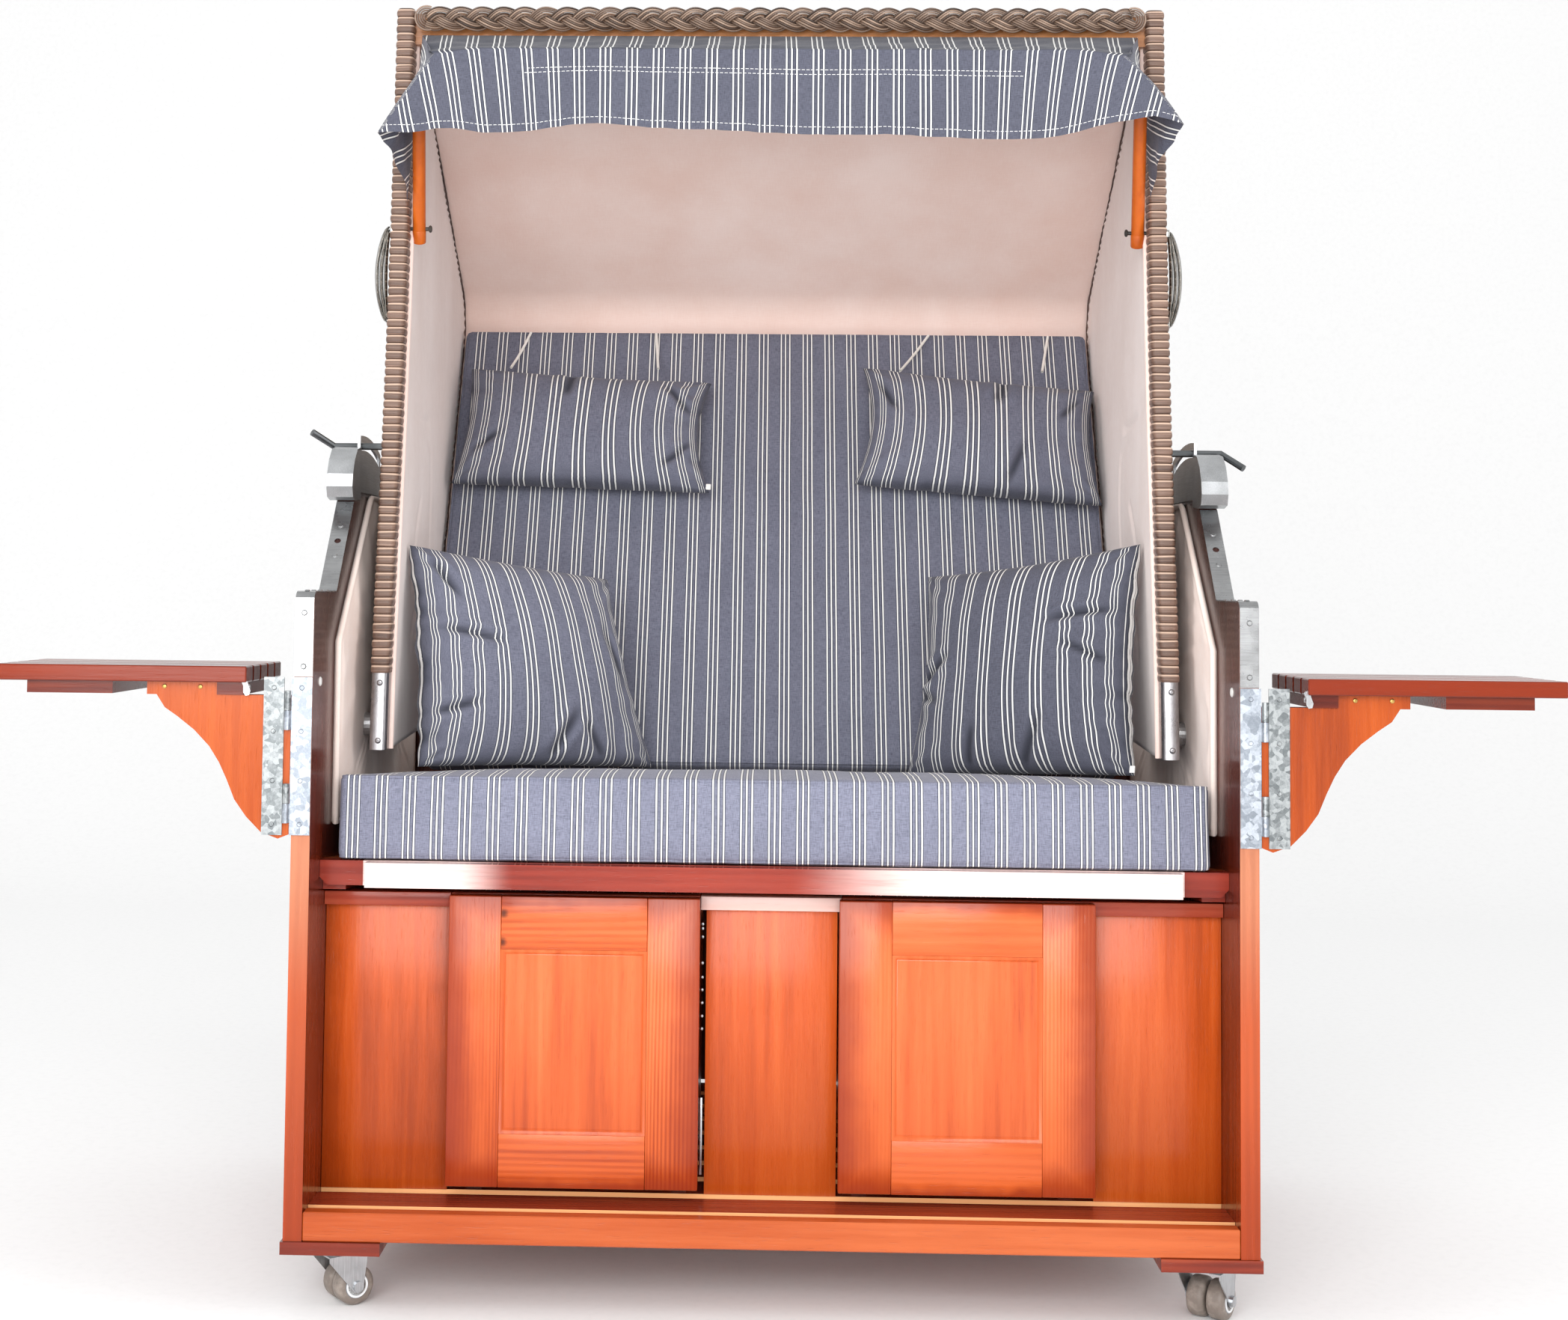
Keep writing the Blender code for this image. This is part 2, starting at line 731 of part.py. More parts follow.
def build_edge_trims():
    """A steel strip over each wall's front edge, armrest and slope, with its screws."""
    corner = WALL_CORNER_RADIUS
    path = [(0.0, TRIM_START_Z)] + wall_path()[1:3] + [slope_point(TRIM_END_Z)]
    bends = rounded(path + [(BASE_DEPTH, TRIM_START_Z)], [0.0, corner, corner, 0.0, 0.0])[:-1]
    inner = offset_path(bends, GAP)
    outer = offset_path(bends, GAP + TRIM_THICKNESS)
    hole_centre = trim_stops()[TRIM_SCREW_COUNT][0] + SLOPE_ALONG * TRIM_SCREW_SLOPE_STEP / 2
    tilt = Matrix.Rotation(math.atan2(-SLOPE_OUT.x, SLOPE_OUT.y), 4, "X")
    for side, sign in SIDES.items():
        middle = sign * (HALF_WIDTH - WALL_THICKNESS / 2)
        span = x_span(sign, HALF_WIDTH - WALL_THICKNESS, HALF_WIDTH)
        name = "edge_trim_" + side
        trim = as_mesh(side_sheet(name, [inner + outer[::-1]], span, "steel"))
        punch = rod_mesh(name + "_punch", TRIM_HOLE_RADIUS, 4 * CUT_OVERRUN)
        place = Matrix.Translation((middle, hole_centre.x, hole_centre.y)) @ tilt
        combine(trim, cutter(name + "_punch", punch, place), "DIFFERENCE")
        heads = add_piece(name + "_heads", trim_screw_mesh(middle), "steel")
        fused(name, trim, [heads])


def trim_screw_mesh(middle):
    """The screw heads of one trim, sunk a little into the strip."""
    builder = bmesh.new()
    for spot, out in trim_stops():
        tilt = Matrix.Rotation(math.atan2(-out.x, out.y), 4, "X")
        seat = spot + out * (TRIM_THICKNESS + TRIM_SCREW_HEIGHT / 2)
        place = Matrix.Translation((middle, seat.x, seat.y))
        bmesh.ops.create_cone(
            builder, cap_ends=True, segments=8, radius1=TRIM_SCREW_RADIUS,
            radius2=TRIM_SCREW_RADIUS * SCREW_CROWN_SHARE, depth=TRIM_SCREW_HEIGHT,
            matrix=place @ tilt)
    return built_mesh("trim_screws", builder)


KNUCKLE_Y = -GAP - KNUCKLE_RADIUS


def leaf_plate(builder, sign, near, far):
    """The flat of one hinge leaf, between two distances from the middle."""
    low_x, high_x = x_span(sign, near, far)
    add_box(
        builder, (low_x, -GAP - LEAF_THICKNESS, LEAF_BOTTOM_Z),
        (high_x, -GAP, LEAF_BOTTOM_Z + LEAF_HEIGHT))


def leaf_details(name, sign, edge, middle, lift, parent):
    """A leaf's screw heads, and the tabs that reach from its edge to its knuckles."""
    builder = bmesh.new()
    seat_y = -LEAF_THICKNESS - LEAF_SCREW_HEIGHT / 2
    for offset in LEAF_SCREW_OFFSETS:
        place = Matrix.Translation((sign * middle, seat_y, LEAF_BOTTOM_Z + offset))
        bmesh.ops.create_cone(
            builder, cap_ends=True, segments=8, radius1=LEAF_SCREW_RADIUS,
            radius2=LEAF_SCREW_RADIUS * SCREW_CROWN_SHARE, depth=LEAF_SCREW_HEIGHT,
            matrix=place @ FACING_FRONT)
    low_x, high_x = x_span(sign, *sorted((edge, KNUCKLE_X)))
    for offset in KNUCKLE_OFFSETS:
        low_z = LEAF_BOTTOM_Z + offset + lift + RUNNING_GAP / 2
        add_box(
            builder, (low_x, -GAP - LEAF_THICKNESS + GAP / 2, low_z),
            (high_x, -GAP - GAP / 2, low_z + KNUCKLE_LENGTH - RUNNING_GAP))
    return add_piece(name, built_mesh(name, builder), "zinc", parent)


def knuckle_rods(piece, sign, lift, radius, length, operation):
    """Combine a leaf with a rod at each knuckle, lifted by a height."""
    for index, offset in enumerate(KNUCKLE_OFFSETS):
        centre = LEAF_BOTTOM_Z + offset + lift + length / 2
        place = Matrix.Translation((sign * KNUCKLE_X, KNUCKLE_Y, centre))
        name = "%s_%s_%d" % (piece.name, operation.lower(), index)
        combine(piece, cutter(name, rod_mesh(name, radius, length, 10), place), operation)


def build_table_hinges(table_empties):
    """Leaves with their knuckles and screws: the wall leaves carry the pins."""
    upper = KNUCKLE_LENGTH + RUNNING_GAP
    bite = GAP / 2
    for side, sign in SIDES.items():
        far = KNUCKLE_X - KNUCKLE_RADIUS - RUNNING_GAP
        builder = bmesh.new()
        leaf_plate(builder, sign, far - LEAF_WIDTH, far)
        name = "wall_hinge_leaf_" + side
        wall = add_piece(name, built_mesh(name, builder), "zinc")
        knuckle_rods(wall, sign, 0.0, KNUCKLE_RADIUS + bite, KNUCKLE_LENGTH, "UNION")
        knuckle_rods(
            wall, sign, 0.0, HINGE_PIN_RADIUS - RUNNING_GAP / 2, 2 * KNUCKLE_LENGTH, "UNION")
        details = leaf_details(
            name + "_details", sign, far - GAP, far - LEAF_WIDTH / 2, 0.0, ROOT)
        fused(name, wall, [details])
        near = KNUCKLE_X + KNUCKLE_RADIUS + RUNNING_GAP
        builder = bmesh.new()
        leaf_plate(builder, sign, near, near + LEAF_WIDTH)
        name = "bracket_hinge_leaf_" + side
        empty = table_empties[side]
        moving = add_piece(name, built_mesh(name, builder), "zinc", empty)
        knuckle_rods(moving, sign, upper, KNUCKLE_RADIUS + bite, KNUCKLE_LENGTH, "UNION")
        knuckle_rods(
            moving, sign, upper - RUNNING_GAP, HINGE_PIN_RADIUS + RUNNING_GAP / 2,
            KNUCKLE_LENGTH + 2 * RUNNING_GAP, "DIFFERENCE")
        details = leaf_details(
            name + "_details", sign, near + GAP, near + LEAF_WIDTH / 2, upper, empty)
        fused(name, moving, [details])


BRACKET_X = HALF_WIDTH + 0.5 * (KNUCKLE_X - HALF_WIDTH) - GAP


def build_tables(table_empties):
    """The bracket board with its ledge, and the slatted top with its battens."""
    outline = [(0.0, 0.0)] + [
        (across * BRACKET_REACH, -down * BRACKET_DROP) for across, down in BRACKET_CURVE_SHARES]
    batten_z = BRACKET_TOP_Z + GAP
    top_z = batten_z + BATTEN_HEIGHT
    front = -TABLE_OVERHANG
    pitch = (TABLE_DEPTH + TABLE_SLAT_GAP) / TABLE_SLATS
    ledge_start = INNER_BATTEN_START + INNER_BATTEN_WIDTH + RUNNING_GAP
    for side, sign in SIDES.items():
        empty = table_empties[side]
        placed = [(sign * (BRACKET_X + across), BRACKET_TOP_Z + up) for across, up in outline]
        name = "table_bracket_" + side
        board = as_mesh(front_sheet(
            name, [placed], (0.0, BRACKET_THICKNESS), "orange_wood", empty))
        low_x, high_x = x_span(
            sign, HALF_WIDTH + ledge_start, HALF_WIDTH + ledge_start + LEDGE_WIDTH)
        ledge = boxes(
            name + "_ledge",
            [((low_x, 0.0, BRACKET_TOP_Z - GAP), (high_x, LEDGE_DEPTH, top_z - GAP))],
            "orange_wood", empty)
        fused(name, board, [ledge])
        battens = []
        for start, width in (
                (INNER_BATTEN_START, INNER_BATTEN_WIDTH), (OUTER_BATTEN_START, OUTER_BATTEN_WIDTH)):
            low_x, high_x = x_span(sign, HALF_WIDTH + start, HALF_WIDTH + start + width)
            battens.append((
                (low_x, front + BATTEN_INSET, batten_z),
                (high_x, front + TABLE_DEPTH - BATTEN_INSET, top_z + GAP)))
        slats = []
        low_x, high_x = x_span(
            sign, HALF_WIDTH + TABLE_INNER, HALF_WIDTH + TABLE_INNER + TABLE_LENGTH)
        for index in range(TABLE_SLATS):
            start = front + index * pitch
            slats.append((
                (low_x, start, top_z),
                (high_x, start + pitch - TABLE_SLAT_GAP, top_z + TABLE_THICKNESS)))
        name = "table_top_" + side
        top = boxes(name, slats, "dark_wood", empty, TABLE_EDGE)
        fused(name, top, [boxes(name + "_battens", battens, "dark_wood", empty)])


def build_floor():
    """The front bar, and the underframe: slats, bearers, foot blocks and footrest runners."""
    low_z = WALL_FOOT_Z
    top_z = low_z + BAR_HEIGHT
    boxes(
        "front_bar", [((-INNER_HALF, 0.0, low_z), (INNER_HALF, BAR_DEPTH, top_z))],
        "mahogany", edge=TABLE_EDGE)
    slat_z = top_z - FLOOR_SLAT_THICKNESS
    lengthwise = mirrored([(
        (INNER_HALF - BEARER_WIDTH, BAR_DEPTH + GAP, low_z - 2 * GAP),
        (INNER_HALF, BASE_DEPTH - BACK_PANEL_THICKNESS - 2 * GAP, slat_z + GAP))])
    box_near = DOOR_INNER_X + BOX_SIDE_INSET
    box_far = DOOR_INNER_X + DOOR_WIDTH - BOX_SIDE_INSET
    for start in (box_near + RUNNER_INSET, box_far - RUNNER_INSET - RUNNER_WIDTH):
        lengthwise += mirrored([(
            (start, RUNNER_START_Y, top_z - GAP),
            (start + RUNNER_WIDTH, RUNNER_START_Y + RUNNER_DEPTH, BOX_BOTTOM_Z - GAP))])
    crosswise = []
    for index in range(FLOOR_SLATS):
        start = FLOOR_SLAT_START_Y + index * FLOOR_SLAT_PITCH
        crosswise.append((
            (-INNER_HALF, start, slat_z), (INNER_HALF, start + FLOOR_SLAT_WIDTH, top_z)))
    for start in (-FOOT_OVERHANG, BASE_DEPTH + FOOT_OVERHANG - FOOT_DEPTH):
        crosswise += mirrored([(
            (FOOT_INNER_X, start, CASTOR_HEIGHT + GAP),
            (HALF_WIDTH + FOOT_OVERHANG, start + FOOT_DEPTH, WALL_FOOT_Z - GAP))])
    frame = boxes("floor_frame", lengthwise, "dark_wood")
    fused("floor_frame", frame, [boxes("floor_crosswise", crosswise, "dark_wood")])


def castor_places():
    """Where the castors' swivel axes stand."""
    places = {}
    for row, y in (("front", CASTOR_INSET_Y), ("rear", BASE_DEPTH - CASTOR_INSET_Y)):
        for side, sign in SIDES.items():
            places[row + "_" + side] = (sign * CASTOR_X, y)
    return places


PLATE_BOTTOM_Z = CASTOR_HEIGHT - CASTOR_PLATE_THICKNESS
RACE_BOTTOM_Z = PLATE_BOTTOM_Z + GAP - RACE_HEIGHT


def castor_plate(corner, x, y):
    """The screwed plate of one castor, with the race of its swivel bearing."""
    half = CASTOR_PLATE_SIDE / 2
    name = "castor_plate_" + corner
    plate = boxes(
        name, [((x - half, y - half, PLATE_BOTTOM_Z), (x + half, y + half, CASTOR_HEIGHT))],
        "zinc")
    builder = bmesh.new()
    bmesh.ops.create_cone(
        builder, cap_ends=True, segments=20, radius1=RACE_RADIUS * RACE_TAPER_SHARE,
        radius2=RACE_RADIUS, depth=RACE_HEIGHT,
        matrix=Matrix.Translation((x, y, RACE_BOTTOM_Z + RACE_HEIGHT / 2)))
    race = add_piece(name + "_race", built_mesh(name + "_race", builder), "zinc")
    fused(name, plate, [race])


def fork_profile():
    """The cheeks of a castor's fork, in side view along the trail."""
    top = RACE_BOTTOM_Z - RUNNING_GAP
    foot = [
        (CASTOR_TRAIL + FORK_FOOT_RADIUS * math.cos(angle),
         WHEEL_RADIUS + FORK_FOOT_RADIUS * math.sin(angle))
        for angle in [math.radians(value) for value in (-150, -120, -90, -60, -30)]
    ]
    crown = FORK_CROWN_RADIUS
    return [(-crown, top), (-crown, top - 4 * FORK_SHEET)] + foot + [(crown + CASTOR_TRAIL / 2, top)]


def build_castor(corner, x, y):
    """One castor: its plate, its swivelling fork with the axle bolt, and its twin wheels."""
    castor_plate(corner, x, y)
    angle = math.radians(CASTOR_TURN_DEGREES[corner])
    swivel = joint_empty("swivel_" + corner, (x, y, RACE_BOTTOM_Z), turn=angle)
    axle = joint_empty(
        "axle_" + corner,
        (x + CASTOR_TRAIL * math.cos(angle), y + CASTOR_TRAIL * math.sin(angle), WHEEL_RADIUS),
        swivel, angle)
    top = RACE_BOTTOM_Z - RUNNING_GAP
    turned_place = Matrix.Translation((x, y, 0.0)) @ Matrix.Rotation(angle, 4, "Z")
    name = "castor_fork_" + corner
    fork = add_piece(name, flat_curve(name, [fork_profile()], 2 * FORK_HALF_WIDTH), "zinc")
    fork.matrix_basis = turned_place @ FRONT_VIEW
    hang(fork, swivel)
    fork = as_mesh(fork)
    hollow = bpy.data.meshes.new(name + "_hollow")
    builder = bmesh.new()
    inner = FORK_HALF_WIDTH - FORK_SHEET
    add_box(
        builder, (-2 * FORK_CROWN_RADIUS, -inner, -CUT_OVERRUN),
        (2 * FORK_CROWN_RADIUS + CASTOR_TRAIL, inner, top - FORK_SHEET))
    builder.to_mesh(hollow)
    builder.free()
    combine(fork, cutter(name + "_hollow", hollow, turned_place), "DIFFERENCE")
    axle_place = turned_place @ Matrix.Translation((CASTOR_TRAIL, 0.0, WHEEL_RADIUS)) @ ALONG_Y
    end = FORK_HALF_WIDTH + AXLE_HEAD_LENGTH
    head_start = FORK_HALF_WIDTH - GAP
    profile = [
        (0.0, end), (AXLE_HEAD_RADIUS, end), (AXLE_HEAD_RADIUS, head_start),
        (AXLE_RADIUS, head_start), (AXLE_RADIUS, -head_start), (AXLE_HEAD_RADIUS, -head_start),
        (AXLE_HEAD_RADIUS, -end), (0.0, -end)]
    mesh, steps = turned_mesh(name + "_bolt", profile, 12)
    bolt = add_piece(name + "_bolt", mesh, "steel")
    bolt.matrix_basis = axle_place
    turn(bolt, steps)
    fused(name, fork, [as_mesh(bolt)])

    bore_radius = AXLE_RADIUS + RUNNING_GAP
    low = WHEEL_SPACING / 2
    high = low + WHEEL_WIDTH
    dish = high - WHEEL_HUB_DEPTH
    half = [
        (bore_radius, dish), (WHEEL_HUB_RADIUS, dish), (WHEEL_HUB_RADIUS, high),
        (WHEEL_RADIUS - WHEEL_EDGE, high), (WHEEL_RADIUS, high - WHEEL_EDGE),
        (WHEEL_RADIUS, low + WHEEL_EDGE), (WHEEL_RADIUS - WHEEL_EDGE, low),
        (WHEEL_HUB_RADIUS, low)]
    ring = half + [(radius, -height) for radius, height in half[::-1]] + half[:1]
    name = "castor_wheels_" + corner
    mesh, steps = turned_mesh(name, ring, 16)
    wheels = add_piece(name, mesh, "tyre")
    wheels.matrix_basis = axle_place
    hang(wheels, axle)
    turn(wheels, steps)


def build_recessed_front():
    """Plain panels beside and between the footrests, under a rail, and the base's back panel."""
    low_z = WALL_FOOT_Z + BAR_HEIGHT + GAP
    rear = RECESS_Y + RECESS_PANEL_THICKNESS
    top = RECESS_RAIL_Z + GAP
    middle = DOOR_INNER_X - DOOR_GAP / 2
    outer = DOOR_INNER_X + DOOR_WIDTH + DOOR_GAP
    panels = mirrored([((outer, RECESS_Y, low_z), (INNER_HALF, rear, top))])
    panels.append(((-middle, RECESS_Y, low_z), (middle, rear, top)))
    rail = boxes(
        "recess_rail",
        [((-INNER_HALF, RECESS_RAIL_Y, RECESS_RAIL_Z),
          (INNER_HALF, rear, RECESS_RAIL_Z + RECESS_RAIL_HEIGHT))], "mahogany")
    fused("recess_panels", boxes("recess_panels", panels, "mahogany"), [rail])
    boxes(
        "back_panel",
        [((-INNER_HALF, BASE_DEPTH - BACK_PANEL_THICKNESS, low_z),
          (INNER_HALF, BASE_DEPTH, BACK_PANEL_TOP_Z))], "board")


def build_footrests(slide_empties):
    """Each footrest: a framed front, an open box behind it and a pad as its lid."""
    rear_y = DOOR_Y + DOOR_THICKNESS
    for side, sign in SIDES.items():
        empty = slide_empties[side]
        low_x, high_x = x_span(sign, DOOR_INNER_X, DOOR_INNER_X + DOOR_WIDTH)
        name = "footrest_front_" + side
        front = boxes(
            name, [((low_x, DOOR_Y, DOOR_BOTTOM_Z), (high_x, rear_y, DOOR_TOP_Z))],
            "mahogany", empty)
        width = DOOR_FRAME_WIDTH
        builder = bmesh.new()
        add_box(
            builder, (low_x + width, DOOR_Y - CUT_OVERRUN, DOOR_BOTTOM_Z + width),
            (high_x - width, DOOR_Y + DOOR_PANEL_RECESS, DOOR_TOP_Z - width))
        pocket = built_mesh(name + "_pocket", builder)
        combine(front, cutter(name + "_pocket", pocket, Matrix.Identity(4)), "DIFFERENCE")

        box_y = rear_y + GAP
        low = Vector((low_x + BOX_SIDE_INSET, box_y, BOX_BOTTOM_Z))
        high = Vector((high_x - BOX_SIDE_INSET, box_y + BOX_DEPTH, BOX_BOTTOM_Z + BOX_HEIGHT))
        builder = bmesh.new()
        add_box(builder, low, high)
        lid = [face for face in builder.faces if face.normal.z > 0.5]
        bmesh.ops.delete(builder, geom=lid, context="FACES_ONLY")
        name = "footrest_box_" + side
        box = add_piece(name, built_mesh(name, builder), "orange_wood", empty)
        wall = box.modifiers.new("board", "SOLIDIFY")
        wall.thickness = BOX_WALL
        wall.offset = -1.0
        wall.use_even_offset = True

        pad_low = Vector((low.x + PAD_INSET, low.y + PAD_INSET, high.z + GAP))
        pad_size = Vector(
            (high.x - low.x - 2 * PAD_INSET, BOX_DEPTH - 2 * PAD_INSET, PAD_THICKNESS))
        pad_form(
            "footrest_pad_" + side, pad_size, PAD_CROWN, 0.0, PAD_EDGE, 2,
            Matrix.Translation(pad_low + pad_size / 2), empty)


def pad_form(name, size, crown, pull, edge, cuts, place, parent=None, finish="striped_cloth"):
    """A cushion: a block with a crowned top, whose sides are drawn in between its corners."""
    builder = bmesh.new()
    bmesh.ops.create_cube(builder, size=2.0)
    bmesh.ops.subdivide_edges(builder, edges=builder.edges, cuts=cuts, use_grid_fill=True)
    for vert in builder.verts:
        s, t, w = vert.co
        middle = (1 - s * s) * (1 - t * t)
        x = s * (size.x / 2 - pull * (1 - t * t) * abs(s))
        y = t * (size.y / 2 - pull * (1 - s * s) * abs(t))
        z = w * size.z / 2
        if w > 0:
            z -= w * crown * (1 - middle)
        vert.co = (x, y, z)
    mesh = built_mesh(name, builder)
    piece = add_piece(name, mesh, finish)
    piece.matrix_basis = place
    hang(piece, parent or ROOT)
    soften(piece, edge, 3, 0.9)
    return piece


SEAT_TILT = math.radians(SEAT_SLOPE_DEGREES)
DECK_FRONT_Y = NOSING_Y + NOSING_DEPTH + CROSSBAR_DEPTH + GAP


def seat_drop(y):
    """How far the sloped seat has dropped at y."""
    return (y - DECK_FRONT_Y) * math.tan(SEAT_TILT)


def build_seat():
    """Nosing, crossbar, sloped deck on bearers, and the seat cushion."""
    nosing = boxes(
        "seat_nosing",
        [((-NOSING_HALF, NOSING_Y, NOSING_BOTTOM_Z),
          (NOSING_HALF, NOSING_Y + NOSING_DEPTH + GAP, SEAT_DECK_Z - GAP))], "dark_wood")
    low = NOSING_BOTTOM_Z + GAP
    chamfer = CROSSBAR_CHAMFER
    bar_y = NOSING_Y + NOSING_DEPTH
    outline = [
        (-INNER_HALF + chamfer, low), (INNER_HALF - chamfer, low), (INNER_HALF, low + chamfer),
        (INNER_HALF, SEAT_DECK_Z), (-INNER_HALF, SEAT_DECK_Z), (-INNER_HALF, low + chamfer)]
    crossbar = as_mesh(
        front_sheet("seat_crossbar", [outline], (bar_y, bar_y + CROSSBAR_DEPTH), "dark_wood"))
    drop = seat_drop(DECK_REAR_Y)
    under = DECK_THICKNESS + GAP
    bearer_y = bar_y + CROSSBAR_DEPTH - GAP
    deck = [
        (DECK_FRONT_Y, SEAT_DECK_Z), (DECK_REAR_Y, SEAT_DECK_Z - drop),
        (DECK_REAR_Y, SEAT_DECK_Z - drop - DECK_THICKNESS),
        (DECK_FRONT_Y, SEAT_DECK_Z - DECK_THICKNESS)]
    side_sheet("seat_deck", [deck], (-INNER_HALF, INNER_HALF), "board")
    bearer = [
        (bearer_y, SEAT_DECK_Z - under), (DECK_REAR_Y, SEAT_DECK_Z - drop - under),
        (DECK_REAR_Y, SEAT_DECK_Z - drop - under - DECK_BEARER_HEIGHT),
        (bearer_y, SEAT_DECK_Z - under - DECK_BEARER_HEIGHT)]
    bearers = [
        as_mesh(side_sheet(
            "bearer_" + side, [bearer], x_span(sign, INNER_HALF - BEARER_WIDTH, INNER_HALF),
            "dark_wood"))
        for side, sign in SIDES.items()]
    fused("seat_frame", crossbar, [nosing] + bearers)
    length = (DECK_REAR_Y - CUSHION_Y) / math.cos(SEAT_TILT)
    size = Vector((2 * CUSHION_HALF, length, CUSHION_THICKNESS))
    seat_z = SEAT_DECK_Z + GAP + (DECK_FRONT_Y - CUSHION_Y) * math.tan(SEAT_TILT)
    hinge = Matrix.Translation((0.0, CUSHION_Y, seat_z)) @ Matrix.Rotation(-SEAT_TILT, 4, "X")
    place = hinge @ Matrix.Translation((0.0, length / 2, CUSHION_THICKNESS / 2))
    return pad_form(
        "seat_cushion", size, CUSHION_CROWN, CUSHION_PULL, CUSHION_EDGE, 5, place)


BACK_LEAN = math.radians(BACK_LEAN_DEGREES)
ROOF_SLOPE = math.radians(ROOF_SLOPE_DEGREES)


def back_face_y(z):
    """The y of the back cushion's front face at a height."""
    return BACK_FACE_Y + (z - BACK_FACE_Z) * math.tan(BACK_LEAN)


def rail_front(share):
    """A point on the front edge of the hood's rail, at a share of its height."""
    lean = 0.0
    for (low, low_lean), (high, high_lean) in zip(RAIL_LEAN_SHARES, RAIL_LEAN_SHARES[1:]):
        if low <= share <= high:
            lean = low_lean + (high_lean - low_lean) * (share - low) / (high - low)
    return (RAIL_FOOT_Y + lean * RAIL_LEAN, RAIL_BOTTOM_Z + share * RAIL_HEIGHT)


def rail_points(start_share, end_share, depth):
    """Points up the rail at a depth behind its front edge, between two shares of its height."""
    shares = [start_share]
    shares += [share for share, _ in RAIL_LEAN_SHARES if start_share < share < end_share]
    shares.append(end_share)
    points = []
    for share in shares:
        y, z = rail_front(share)
        points.append((y + depth, z))
    return points


def hood_path():
    """The inner face of the hood's back and roof, from its foot to the header."""
    lining_y = back_face_y(HOOD_BOTTOM_Z) + (BACK_THICKNESS + GAP) / math.cos(BACK_LEAN)
    foot = Vector((lining_y, HOOD_BOTTOM_Z))
    up = Vector((math.sin(BACK_LEAN), math.cos(BACK_LEAN)))
    roof = Vector((-math.cos(ROOF_SLOPE), math.sin(ROOF_SLOPE)))
    reference = Vector((ROOF_REFERENCE_Y, ROOF_REFERENCE_Z))
    gap = reference - foot
    climb = (gap.x * roof.y - gap.y * roof.x) / (up.x * roof.y - up.y * roof.x)
    corner = foot + up * climb
    front_y = RAIL_FOOT_Y + RAIL_LEAN + RAIL_DEPTH + GAP
    front = reference + roof * (ROOF_REFERENCE_Y - front_y) / math.cos(ROOF_SLOPE)
    spare = (foot.x, front.y)
    return rounded([tuple(foot), tuple(corner), tuple(front), spare],
                   [0.0, HOOD_CROWN_RADIUS, 0.0, 0.0], 8)[:-1]


def build_hood_shell(hood):
    """The back and roof in one curved sheet, its lining, the sides and their linings."""
    path = hood_path()
    lining_back = offset_path(path, -BACK_LINING)
    sheet_front = offset_path(path, -BACK_LINING - GAP)
    sheet_back = offset_path(path, -BACK_LINING - GAP - BACK_SHEET)
    side_outer = HOOD_HALF - GAP
    side_inner = side_outer - SIDE_SHEET
    lining_outer = side_inner - GAP
    lining = as_mesh(side_sheet(
        "hood_lining", [path + lining_back[::-1]],
        (GAP - lining_outer, lining_outer - GAP), "lining", hood))
    shell = as_mesh(side_sheet(
        "hood_shell", [sheet_front + sheet_back[::-1]], (-side_inner - GAP, side_inner + GAP),
        "rattan", hood))

    edge = rail_points(0.0, 1.0, RAIL_DEPTH + GAP)
    side_edge = offset_path(path, -BACK_LINING - 2 * GAP - BACK_SHEET)
    outline = edge + side_edge[::-1]
    outline[len(edge) - 1] = (edge[-1][0], side_edge[-1][1] - GAP)
    bore = circle(PIVOT, PIVOT_SHANK_RADIUS + GAP)
    inner_path = offset_path(path, -BACK_LINING / 2)
    inner_outline = edge + inner_path[::-1]
    inner_outline[len(edge) - 1] = (edge[-1][0], inner_path[-1][1] - GAP)
    sides = []
    linings = []
    for side, sign in SIDES.items():
        sides.append(as_mesh(side_sheet(
            "hood_side_" + side, [outline, bore], x_span(sign, side_inner, side_outer),
            "rattan", hood)))
        linings.append(as_mesh(side_sheet(
            "hood_side_lining_" + side, [inner_outline, circle(PIVOT, PIVOT_COLLAR_RADIUS)],
            x_span(sign, lining_outer - SIDE_LINING, lining_outer), "lining", hood)))
    fused("hood_shell", shell, sides)
    fused("hood_lining", lining, linings)


def awning_knob(side, sign, hood):
    """The knob screw that one arm of the awning turns on: its shank and its head."""
    shank_end = ARM_X - ARM_RADIUS - GAP
    shank_start = HOOD_HALF - RAIL_WIDTH / 2
    depth = shank_start - shank_end + GAP
    pieces = []
    for name, radius, middle, length in (
            ("knob_shank_" + side, KNOB_SHANK_RADIUS, shank_start - depth / 2, depth),
            ("knob_head_" + side, KNOB_RADIUS, shank_end - KNOB_LENGTH / 2, KNOB_LENGTH)):
        piece = add_piece(name, rod_mesh(name, radius, length, 14), "steel")
        piece.matrix_basis = Matrix.Translation(
            (sign * middle, ARM_PIVOT_Y, ARM_PIVOT_Z)) @ ALONG_X
        hang(piece, hood)
        pieces.append(piece)
    return pieces


